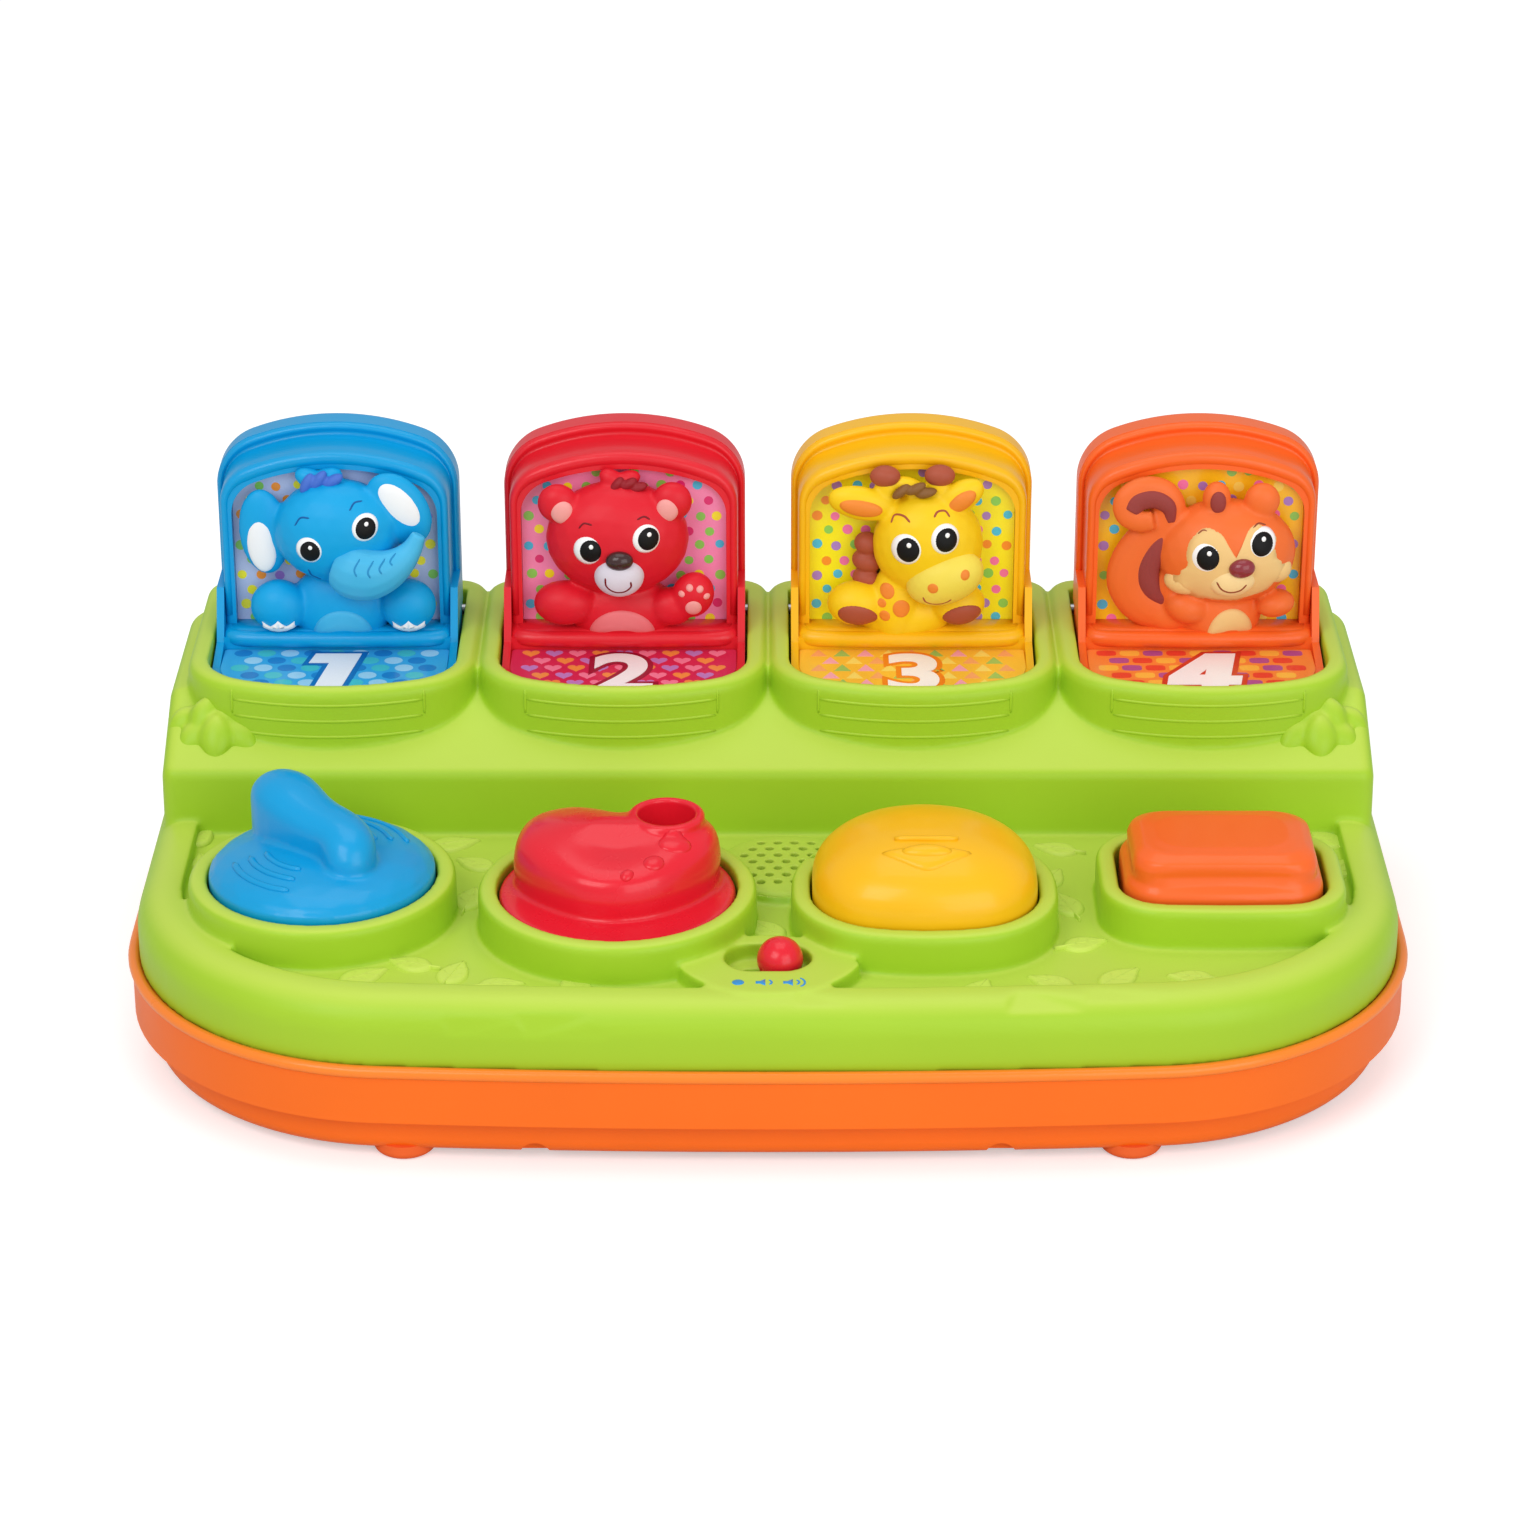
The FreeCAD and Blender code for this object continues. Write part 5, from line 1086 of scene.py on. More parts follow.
@dataclass
class TurnKnob(Control):
    """Domed knob with a high S-shaped grip and three raised arcs on each side."""

    centre: Pair = (-114.0, -35.0)
    radius: float = 28.9
    skirt: float = 54.5
    dome: float = 7.5
    course: tuple[Row, ...] = (
        # across, along, top, half width
        (-10.8, 13.6, 74.8, 8.2), (-9.4, 11.6, 75.0, 9.0), (-7.2, 8.4, 74.4, 8.8),
        (-4.0, 4.6, 73.2, 8.2), (-0.2, 1.0, 72.2, 7.7), (3.6, -2.2, 71.6, 7.4),
        (6.4, -5.4, 70.8, 7.2), (7.8, -8.2, 69.4, 7.0), (8.2, -10.2, 66.8, 6.6),
    )
    grip_foot: float = 50.0
    round_share: float = 0.75
    arc_reaches: Row = (22.5, 18.3, 14.1)
    arc_middles: Pair = (-135, 45)
    body: str = "knob"
    slot: str = "blue_gloss"
    finish: Finish = BLUE

    def build(self) -> None:
        """Make the knob."""
        x, y = self.centre
        mould = self.base("turn_knob", self.radius, self.skirt)
        mould.blob((x, y, self.skirt - 0.6), (self.radius - 0.2, self.radius - 0.2, self.dome))
        line = spline([row[:3] for row in self.course], 5)
        for point, width in zip(line, evenly([row[3] for row in self.course], 5)):
            spot, fall = (x + point.x, y + point.y), width * self.round_share
            mould.drum(spot, width, self.grip_foot, point.z - fall, 32)
            mould.blob((*spot, point.z - fall), (width, width, fall))
        data = Workshop("knob_skin").soften(mould.mesh("knob_rough"), 0.55, 10)
        piece = self.show("knob_skin", data)
        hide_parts("turn_knob")
        top = Surface(X_AXIS, Y_AXIS, piece)
        arcs = Mould()
        for middle in self.arc_middles:
            for reach in self.arc_reaches:
                top.ridge(arcs, arc(self.centre, reach, math.radians(middle), 0.5), 1.9, 0.6)
        self.show("knob_arcs", arcs)


@dataclass
class FingerDial(Control):
    """Flanged dial with a glossy bean on top, a finger well and three raised ovals."""

    centre: Pair = (-38.3, -42.2)
    radius: float = 30.2
    flange: float = 51.5
    foot: float = 50.0
    top: float = 69.6
    fall: float = 4.2
    bean: tuple[Pair, ...] = (
        (-26.0, 5.5), (-23.0, 15.5), (-14.5, 20.5), (-6.0, 18.8), (0.0, 14.8), (5.5, 17.6),
        (12.5, 20.8), (21.0, 18.0), (25.8, 9.0), (24.0, -1.5), (17.5, -10.5), (9.0, -16.6),
        (0.0, -18.8), (-9.5, -16.8), (-19.0, -9.8), (-25.0, -1.5),
    )
    calm_half: Pair = (22.5, 17.5)
    calm_from: float = 0.86
    brow: float = 0.68
    brow_end: float = 1.015
    brow_bend: float = 2.4
    girth: Pair = (0.955, 0.06)
    slope_start: float = 8.0
    slope_run: float = 27.0
    slope_bend: float = 1.3
    layers: int = 18
    well: Pair = (12.5, 8.0)
    well_radius: float = 7.3
    well_floor: float = 60.0
    rim_radius: float = 8.4
    rim_half: float = 1.5
    rim_drop: float = 1.3
    pillar_radius: float = 9.6
    ovals: tuple[tuple[Pair, Pair, float], ...] = (
        # place, half size, turn
        ((14.8, -4.0), (4.3, 3.0), 12), ((9.6, -11.0), (2.8, 2.3), 25),
        ((3.0, -15.4), (1.9, 1.5), 40),
    )
    body: str = "dial"
    slot: str = "red_gloss"
    finish: Finish = RED_GLOSS

    def crest(self, v: float) -> float:
        """Height of the bean's top, which falls towards the front."""
        share = min(max((self.slope_start - v) / self.slope_run, 0.0), 1.0)
        return self.top - self.fall * share ** self.slope_bend

    def bean_layer(self, rise: float) -> list[Vector]:
        """The bean's outline at a share of its height."""
        x, y = self.centre
        spread = self.girth[0] + self.girth[1] * math.sin(math.pi * min(1.0, rise * 1.25))
        if rise > self.brow:
            share = (rise - self.brow) / (self.brow_end - self.brow)
            spread *= math.sqrt(1 - share ** self.brow_bend)
        calm = max(0.0, (rise - self.calm_from) / (1 - self.calm_from))
        layer = []
        for u, v in loop(self.bean, 4):
            turn = math.atan2(v, u)
            u += (self.calm_half[0] * math.cos(turn) - u) * calm
            v += (self.calm_half[1] * math.sin(turn) - v) * calm
            layer.append(Vector((x + u * spread, y + v * spread,
                                 self.foot + (self.crest(v) - self.foot) * rise)))
        return layer

    def build(self) -> None:
        """Make the dial."""
        x, y = self.centre
        spot = (x + self.well[0], y + self.well[1])
        crest = self.crest(self.well[1])
        mould = self.base("finger_dial", self.radius, self.flange)
        mould.loft([self.bean_layer(layer / self.layers) for layer in range(self.layers + 1)])
        mould.drum(spot, self.pillar_radius, self.foot, crest - 1.6)
        shop = Workshop("dial_skin")
        rough = shop.soften(mould.mesh("dial_rough"), 0.55, 9)
        rim = [Vector((spot[0] + self.rim_radius * math.cos(a),
                       spot[1] + self.rim_radius * math.sin(a), crest - self.rim_drop))
               for a in (math.tau * step / 48 for step in range(49))]
        lip = Mould().worm(rim, [self.rim_half] * len(rim), 1.0, Z_AXIS, 10)
        hole = Mould().drum(spot, self.well_radius, self.well_floor - 1, 78.0, 64)
        hole.blob((*spot, self.well_floor), (self.well_radius, self.well_radius, 2.4))
        bored = shop.carve(
            shop.soften(joined("dial_joined", rough, lip.mesh("dial_lip")), 0.45, 3),
            shop.soften(hole.mesh("hole"), 0.4, 2))
        piece = self.show("dial_skin", shop.soften(bored, 0.45, 5))
        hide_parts("finger_dial")
        top = Surface(X_AXIS, Y_AXIS, piece)
        marks = Mould()
        for (u, v), half, turn in self.ovals:
            top.patch(marks, oval((x + u, y + v), half, turn), 0.8, 3.0)
        self.show("dial_ovals", marks)


@dataclass
class PushButton(Control):
    """Tall domed button with a raised line and a raised lens that points down."""

    centre: Pair = (39.8, -42.2)
    travel: float = 5.0
    foot: float = 48.4
    shoulder: float = 54.5
    wall: float = 2.0
    bulge: float = 0.95
    line: tuple[Pair, ...] = ((-8.0, -6.9), (0, -7.4), (8.0, -6.9))
    lens: tuple[Pair, ...] = (
        (-11.5, -11.6), (-6.0, -15.4), (0, -17.8), (6.0, -15.4), (11.5, -11.6), (6.0, -10.6),
        (0, -10.2), (-6.0, -10.6),
    )
    body: str = "button"
    slot: str = "yellow_gloss"
    finish: Finish = YELLOW

    def walls(self) -> list[Pair]:
        """Where the button's wall stands around its centre."""
        middle = Vector((*self.centre, self.foot + 1))
        return [tuple((spot - middle).xy) for _, spot in felt_walls("push_button", middle, 60, 96)]

    def dome(self, walls: Sequence[Pair], foot: float, inset: float, top: float) -> Mould:
        """A dome over the wall's outline.

        Args:
            walls: The outline around the centre.
            foot: Height of its lower end.
            inset: How far it lies inside the outline.
            top: Height of its crown.

        Returns:
            A mould with the dome.
        """
        x, y = self.centre
        profile = [(foot, 1.0)]
        for step in range(17):
            turn = math.pi / 2 * min(step / 16, 0.985)
            profile.append((self.shoulder + (top - self.shoulder) * math.sin(turn) ** self.bulge,
                            math.cos(turn) ** self.bulge))
        rings = []
        for height, share in profile:
            rings.append([Vector((x + u * share * (1 - inset / math.hypot(u, v)),
                                  y + v * share * (1 - inset / math.hypot(u, v)), height))
                          for u, v in walls])
        return Mould().loft(rings)

    def build(self) -> None:
        """Make the button."""
        x, y = self.centre
        crown = box_mm("push_button")[1].z
        shop = Workshop("button_skin")
        walls = self.walls()
        dome = shop.carve(
            self.dome(walls, self.foot, 0.0, crown).mesh("button_outer"),
            self.dome(walls, self.foot - 3, self.wall, crown - self.wall).mesh("button_inner"))
        data = shop.soften(joined("button_joined", shop.copy("push_button"), dome), 0.55, 6)
        piece = self.show("button_skin", data)
        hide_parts("push_button")
        top = Surface(X_AXIS, Y_AXIS, piece)
        marks = Mould()
        top.ridge(marks, moved(self.line, x, y), 1.7, 0.9)
        top.patch(marks, loop(moved(self.lens, x, y), 4), 0.9, 4.0)
        top.take(marks.mesh("lens_bench"))
        top.patch(marks, oval((x, y - 12.6), (6.4, 2.1)), 1.1, 2.6)
        self.show("button_marks", marks)
        self.spring()

    def spring(self) -> None:
        """The coil under the cap, on a mesh of its own."""
        coil = show("button_coil", Workshop.copy("button_spring"), "housing", "steel", STEEL)
        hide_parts("button_spring")
        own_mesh(coil)


@dataclass
class RockerSwitch:
    """Rocker with a pillow shaped bar, hollowed along its front, on a skirted base."""

    skirt: float = 54.0
    pad: tuple[Row, ...] = (
        # height, half width, half depth
        (53.0, 22.6, 15.6), (56.0, 23.4, 16.6), (59.5, 23.6, 16.8), (61.8, 22.8, 15.8),
        (63.2, 20.6, 13.4), (63.8, 17.0, 9.6),
    )
    pad_round: float = 8.0
    dent: float = 1.1
    dent_height: float = 58.6
    dent_half: float = 2.2
    dent_start: float = 9.0

    def ring(self, centre: Vector, half: Pair, height: float) -> list[Vector]:
        """A rounded rectangle at a height."""
        bend = min(self.pad_round, half[1] - 0.5)
        points = []
        for way_x, way_y, start in ((1, 1, 0.0), (-1, 1, 0.25), (-1, -1, 0.5), (1, -1, 0.75)):
            for step in range(9):
                turn = math.tau * (start + step / 32)
                points.append(Vector((
                    centre.x + way_x * (half[0] - bend) + bend * math.cos(turn),
                    centre.y + way_y * (half[1] - bend) + bend * math.sin(turn), height)))
        return points

    def build(self) -> None:
        """Make the rocker."""
        low, high = box_mm("rocker")
        mid = (low + high) / 2
        shop = Workshop("rocker_skin")
        pad = Mould().loft([self.ring(mid, (wide, deep), height)
                            for height, wide, deep in self.pad])
        data = shop.soften(
            joined("rocker_joined", shop.copy("rocker"), pad.mesh("rocker_pad")), 0.55, 6)
        for vertex in data.vertices:
            spot = vertex.co / MM
            if spot.z > self.skirt and spot.y < mid.y - self.dent_start:
                along = min(1.0, abs(spot.x - mid.x) / self.pad[0][1])
                depth = math.exp(-((spot.z - self.dent_height) / self.dent_half) ** 2)
                vertex.co.y += self.dent * depth * (1 - along ** 4) * MM
        piece = show("rocker_skin", data, "rocker_body", "orange_gloss", ORANGE)
        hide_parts("rocker")


# ------------------------------------------------------------------ lids

@dataclass
class Motif:
    """A small printed shape that repeats on a card."""

    outline: Callable[[float, float, float], list[Pair]]
    finishes: tuple[Print, ...]


def heart(x: float, y: float, size: float) -> list[Pair]:
    """A heart's outline."""
    points = []
    for step in range(20):
        t = math.tau * step / 20
        points.append((x + size * 0.065 * 16 * math.sin(t) ** 3,
                       y + size * 0.065 * (13 * math.cos(t) - 5 * math.cos(2 * t)
                                           - 2 * math.cos(3 * t) - math.cos(4 * t))))
    return list(reversed(points))


def dot(x: float, y: float, size: float) -> list[Pair]:
    """A round dot."""
    return oval((x, y), (size, size), count=18)


def ellipse(x: float, y: float, size: float) -> list[Pair]:
    """A lying ellipse."""
    return oval((x, y), (size * 1.08, size * 0.95), count=18)


def triangle(x: float, y: float, size: float) -> list[Pair]:
    """A triangle that stands on one side."""
    return [(x - size, y - size * 0.9), (x + size, y - size * 0.9), (x, y + size)]


def brick(x: float, y: float, size: float) -> list[Pair]:
    """A rounded brick."""
    return loop([(x - size * 1.15, y), (x - size * 0.9, y - size * 0.7),
                 (x + size * 0.9, y - size * 0.7), (x + size * 1.15, y),
                 (x + size * 0.9, y + size * 0.7), (x - size * 0.9, y + size * 0.7)], 2)


def inks(prefix: str, *tones: Colour) -> tuple[Print, ...]:
    """Printing inks from plain colours."""
    return tuple(Print(f"{prefix}_ink_{index}", tone) for index, tone in enumerate(tones))


STROKES: dict[str, tuple[tuple[Pair, ...], ...]] = {
    # the digits drawn here, their outer outline first and their counters after it
    "1": (((-0.06, 0.0), (0.1, 0.0), (0.22, 0.7), (-0.1, 0.7), (-0.13, 0.57), (0.035, 0.57)),),
    "4": (((0.18, 0.0), (0.34, 0.0), (0.36, 0.13), (0.46, 0.13), (0.48, 0.25), (0.385, 0.25),
           (0.46, 0.7), (0.26, 0.7), (-0.06, 0.26), (-0.08, 0.13), (0.2, 0.13)),
          ((0.11, 0.27), (0.29, 0.57), (0.235, 0.27))),
}


@dataclass
class LidLook:
    """What sets one lid apart: plastic, card, dots, label, motif and digit."""

    lid: Lid
    plastic: Plastic
    card: Print
    dots: tuple[Print, ...]
    label: Print
    motif: Motif
    digit: str
    rim: Print
    seed: int
    half_width: float = 27.6
    digit_low: float = 26.6
    digit_high: float = 49.6
    card_front: float = 63.0
    card_top: float = 126.0
    dot_step: float = 5.1
    dot_low: float = 81.8
    dot_size: Pair = (1.2, 1.45)
    motif_grid: Pair = (6.3, 4.9)
    motif_size: float = 2.3
    label_half: float = 27.0
    label_corner: Pair = (17.0, 0.85)
    label_top: float = 76.4
    arch_half: float = 32.65
    arch_foot: float = 84.0
    arch_top: float = 135.0
    arch_bow: float = 65.0
    arch_shoulder: float = 15.0
    shelf_lip: Pair = (54.4, 79.2)
    shelf_round: float = 2.3
    shelf_edge: tuple[Pair, ...] = (
        # beside the middle, how far behind the lip
        (29.2, 8.8), (29.2, 4.0), (26.4, 0.8), (14.0, 0.0), (0.0, -0.2),
    )
    profile: tuple[tuple[float, float, float], ...] = (
        # inset of the sides, inset of the crown, place from front to back
        (0.15, 0.15, 75.0), (0.05, 0.05, 73.2), (0.25, 0.3, 72.2), (0.7, 0.9, 71.6),
        (1.2, 1.6, 71.6), (1.6, 2.2, 72.1), (1.75, 2.9, 72.4), (1.8, 3.5, 71.6),
        (1.85, 3.8, 69.5), (1.9, 3.85, 66.0), (1.9, 3.85, 62.4), (2.05, 4.1, 60.6),
        (2.5, 4.8, 59.6), (3.2, 5.9, 59.4), (3.9, 7.1, 59.8), (4.5, 8.1, 60.8),
        (4.9, 8.6, 62.9), (4.2, 7.4, 64.0), (3.2, 5.0, 74.0),
    )

    def build(self) -> None:
        """Make the lid's printed card, its label and its beads."""
        for node, finish in (("cover", self.plastic), ("frame", self.plastic),
                             ("backdrop", self.card), ("number_label", self.label)):
            paint_node(f"{self.lid.value}_{node}", finish)
        self.spots()
        self.pattern()
        self.number()
        self.beads()

    def show(self, part: str, shape: Mould | bpy.types.Mesh, *finishes: Finish,
             slot: str = "card") -> None:
        """Show a piece of the lid."""
        show(f"{self.lid.value}_{part}", shape, self.lid.body, slot, *finishes)

    def arch(self, side: float, crown: float, y: float) -> list[Vector]:
        """The arch of the lid, set in from its cover.

        Args:
            side: How far its sides are set in.
            crown: How far its crown is set in.
            y: Place of the arch from front to back.

        Returns:
            Points from the right foot over the crown to the left foot.
        """
        mid = self.lid.middle
        half, top = self.arch_half - side, self.arch_top - crown
        bow, shoulder = self.arch_bow - crown, max(self.arch_shoulder - crown, 2.0)
        reach, foot = half - shoulder, self.arch_foot
        lean = math.asin(reach / (bow - shoulder))
        low = top - bow + math.sqrt((bow - shoulder) ** 2 - reach ** 2)
        right = [(half, foot + (low - foot) * step / 3) for step in range(4)]
        right += [(reach + shoulder * math.cos(turn), low + shoulder * math.sin(turn))
                  for turn in ((math.pi / 2 - lean) * step / 8 for step in range(1, 8))]
        crest = [(bow * math.cos(turn), top - bow + bow * math.sin(turn))
                 for turn in (math.pi / 2 - lean + 2 * lean * step / 20 for step in range(21))]
        full = right + crest + [(-u, z) for u, z in reversed(right)]
        return [Vector((mid + u, y, z)) for u, z in full]

    def beads(self) -> None:
        """The moulding of the open lid: outer bead, cove and inner ridge, and the shelf's lip."""
        curves = [self.arch(*row) for row in self.profile]
        mould = Mould().loft([list(ring) for ring in zip(*curves)])
        mid, (front, height) = self.lid.middle, self.shelf_lip
        left = [(mid - aside, front + back) for aside, back in self.shelf_edge]
        right = [(mid + aside, front + back) for aside, back in reversed(self.shelf_edge[:-1])]
        shelf = spline([(*point, height) for point in left + right], 6)
        mould.worm(shelf, [self.shelf_round] * len(shelf), 1.0, Z_AXIS, 16)
        top = height + self.shelf_round - 0.06
        mould.prism([(point.x, point.y) for point in shelf], top - 1.0, top)
        self.show("moulding", mould, self.plastic, slot=f"{self.lid.colour}_lid")

    def spots(self) -> None:
        """Printed dots in loose rows on the backdrop."""
        draw = random.Random(self.seed)
        mid, step, half, front = self.lid.middle, self.dot_step, self.half_width, self.card_front
        mould = Mould(smooth=False)
        for row in range(11):
            for column in range(12):
                u = (column - 5.5 + (row % 2) / 2) * step + draw.uniform(-0.5, 0.5)
                z = self.dot_low + row * step * 0.84 + draw.uniform(-0.4, 0.4)
                size = draw.uniform(*self.dot_size)
                mould.paint = draw.randrange(len(self.dots))
                if abs(u) > half - size or z > self.card_top - (u / half) ** 4 * 6 - size:
                    continue
                mould.loft([[Vector((a, y, b)) for a, b in dot(mid + u, z, size)]
                            for y in (front + 0.1, front - 0.05)])
        self.show("dots", mould, *self.dots)

    def pattern(self) -> None:
        """The motif in rows on the number label."""
        low, high = box_mm(f"{self.lid.value}_number_label")
        mid, top, (wide, tall) = self.lid.middle, self.label_top, self.motif_grid
        mould = Mould(smooth=False)
        for row in range(6):
            for column in range(11):
                x = mid + (column - 5 + (row % 2) / 2) * wide
                y = high.y - 2.6 - row * tall
                corner = max(0.0, abs(x - mid) - self.label_corner[0]) * self.label_corner[1]
                if abs(x - mid) > self.label_half or y < low.y + 2.4 + corner:
                    continue
                mould.paint = (row * 2 + column) % len(self.motif.finishes)
                mould.prism(self.motif.outline(x, y, self.motif_size), top - 0.1, top + 0.05)
        self.show("motifs", mould, *self.motif.finishes)

    def number(self) -> None:
        """The digit and its coloured edge."""
        for part, bold, lift, finish in (("rim", 0.075, 0.1, self.rim),
                                         ("digit", 0.03, 0.2, DIGIT)):
            data = self.type(f"{self.lid.value}_{part}", part, bold)
            for vertex in data.vertices:
                rise = lift if vertex.co.z > 0 else -0.1
                vertex.co = Vector((vertex.co.x, vertex.co.y, self.label_top + rise)) * MM
            self.show(part, data, finish)

    def type(self, name: str, part: str, bold: float) -> bpy.types.Mesh:
        """The lid's digit as a flat form in the middle of its label.

        Args:
            name: Name of the mesh.
            part: "rim" for the coloured edge, which has no counters.
            bold: How far its outline is moved out, as a share of its size.

        Returns:
            The mesh in millimetres.
        """
        if self.digit in STROKES:
            text = bpy.data.curves.new(f"{name}_line", "CURVE")
            text.dimensions = "2D"
            text.fill_mode = "BOTH"
            for outline in STROKES[self.digit][:1 if part == "rim" else None]:
                line = text.splines.new("POLY")
                line.points.add(len(outline) - 1)
                for point, (u, v) in zip(line.points, outline):
                    point.co = (u, v, 0, 1)
                line.use_cyclic_u = True
        else:
            text = bpy.data.curves.new(f"{name}_line", "FONT")
            text.body = self.digit
            text.size = 1.0
        text.offset = bold
        text.extrude = 0.01
        data = finished(placed(f"{name}_bench", text))
        lows = [min(vertex.co[axis] for vertex in data.vertices) for axis in range(2)]
        highs = [max(vertex.co[axis] for vertex in data.vertices) for axis in range(2)]
        scale = (self.digit_high - self.digit_low) / (highs[1] - lows[1] - 2 * bold)
        mid = self.lid.middle
        for vertex in data.vertices:
            vertex.co.x = mid + (vertex.co.x - (lows[0] + highs[0]) / 2) * scale
            vertex.co.y = self.digit_low + (vertex.co.y - lows[1] - bold) * scale
        return data


# ------------------------------------------------------------------ animals

@dataclass
class Animal:
    """An animal bust that sits on the shelf of its lid.

    Places are across from the lid's middle, up from the shelf and out from the card.
    """

    lid: Lid
    coat: Plastic
    shelf: float = 79.6
    card: float = 63.0
    parts: dict[str, tuple[Mould, Finish]] = field(default_factory=dict)
    lumps: tuple[Row, ...] = ()
    front: Surface = field(default_factory=lambda: Surface(X_AXIS, Z_AXIS))
    white_share: Pair = (0.94, 1.0)
    pupil_share: Pair = (0.74, 0.82)
    glint_share: float = 0.2
    glint_shift: Pair = (0.05, 0.36)

    def at(self, across: float, up: float, out: float) -> Vector:
        """A place in front of the card as a point."""
        return Vector((self.lid.middle + across, self.card - out, self.shelf + up))

    def flat(self, path: Iterable[Pair]) -> list[Pair]:
        """Places seen from the front, in the frame of the toy."""
        return moved(path, self.lid.middle, self.shelf)

    def show(self, part: str, shape: Mould | bpy.types.Mesh, finish: Finish) -> bpy.types.Object:
        """Show a piece of the animal."""
        return show(f"{self.lid.value}_{part}", shape, self.lid.body,
                    f"{self.lid.colour}_figure", finish)

    def cast(self, name: str, mould: Mould, finish: Finish, voxel: float = 0.55,
             rounds: int = 8) -> bpy.types.Object:
        """Melt a mould into a soft piece that stays in front of the card and on the shelf."""
        data = Workshop(f"{self.lid.value}_{name}").soften(mould.mesh("rough"), voxel, rounds)
        for vertex in data.vertices:
            vertex.co.y = min(vertex.co.y, (self.card - 0.1) * MM)
            vertex.co.z = max(vertex.co.z, (self.shelf + 0.02) * MM)
        self.front.take(data)
        return self.show(name, data, finish)

    def heap(self, *rows: Row) -> Mould:
        """Rounded lumps in one mould.

        Args:
            rows: Across, up, out, half width, half height, half depth and the turn, if any.

        Returns:
            The mould.
        """
        mould = Mould()
        for across, up, out, wide, tall, deep, *turn in rows:
            mould.blob(self.at(across, up, out), (wide, deep, tall), *turn)
        return mould

    def limb(self, mould: Mould, flat: float, steps: int, *rows: Row) -> Mould:
        """Add a limb.

        Args:
            mould: Takes the limb.
            flat: Its thickness as a share of its width.
            steps: Parts between two places.
            rows: Across, up, out and half width of places along it.

        Returns:
            The mould.
        """
        path = spline([self.at(*row[:3]) for row in rows], steps)
        return mould.worm(path, evenly([row[3] for row in rows], steps), flat)

    def tuft(self, tone: Colour, out: float, half: Row, *rows: Row) -> None:
        """Three locks of hair, each with its place and turn."""
        locks = self.heap(*((across, up, out, *half, turn) for across, up, turn in rows))
        self.cast("tuft", locks, Plastic(f"{self.lid.value}_tuft", tone, 0.5), 0.35, 3)

    def belly(self, finish: Finish, across: float, wide: float, tall: float) -> None:
        """Lay a paler half oval on the body, with its flat side on the shelf."""
        arch = [(across + wide * math.cos(turn), 0.4 + tall * math.sin(turn))
                for turn in (math.pi * step / 24 for step in range(25))]
        self.patch("belly", finish, arch, 0.5, 8.0)

    def part(self, key: str, finish: Finish) -> Mould:
        """The mould that gathers the parts laid on under one name."""
        return self.parts.setdefault(key, (Mould(), finish))[0]

    def patch(self, key: str, finish: Finish, outline: Sequence[Pair], rise: float,
              crown: float = 2.0) -> None:
        """Lay a relief on the front."""
        self.front.patch(self.part(key, finish), self.flat(outline), rise, crown)

    def line(self, key: str, finish: Finish, path: Sequence[Pair], width: float,
             rise: float = 0.12) -> None:
        """Lay a thin line on the front."""
        self.front.ridge(self.part(key, finish), self.flat(path), width, rise)

    def eye(self, across: float, up: float, radius: float, look: Pair) -> None:
        """Lay a white eye with a dark pupil and a highlight.

        Args:
            across: Place of its middle across.
            up: Place of its middle above the shelf.
            radius: Half its height.
            look: How far the pupil lies from the middle.
        """
        white, pupil = ((radius * wide, radius * tall)
                        for wide, tall in (self.white_share, self.pupil_share))
        self.patch("eyes", WHITE, oval((across, up), white), 1.0, 2.4)
        shine = Surface(X_AXIS, Z_AXIS)
        shine.trees = list(self.front.trees)
        shine.take(self.part("eyes", WHITE).mesh("eye_bench"))
        spot = (self.lid.middle + across + look[0], self.shelf + up + look[1])
        shine.patch(self.part("pupils", PUPIL), oval(spot, pupil), 0.25, 5.0)
        glint = oval((spot[0] + radius * self.glint_shift[0],
                      spot[1] + radius * self.glint_shift[1]),
                     (radius * self.glint_share, radius * self.glint_share))
        shine.patch(self.part("glints", WHITE), glint, 0.4, 3.0, 3)

    def build(self) -> None:
        """Make the animal."""
        mould = self.heap(*self.lumps)
        self.extra(mould)
        piece = self.cast("bust", mould, self.coat)
        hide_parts(f"{self.lid.value}_figure")
        self.dress()
        for key, (mould, finish) in self.parts.items():
            self.show(key, mould, finish)

    def extra(self, mould: Mould) -> None:
        """Add limbs that aren't plain lumps."""

    def dress(self) -> None:
        """Lay eyes, patches and lines."""


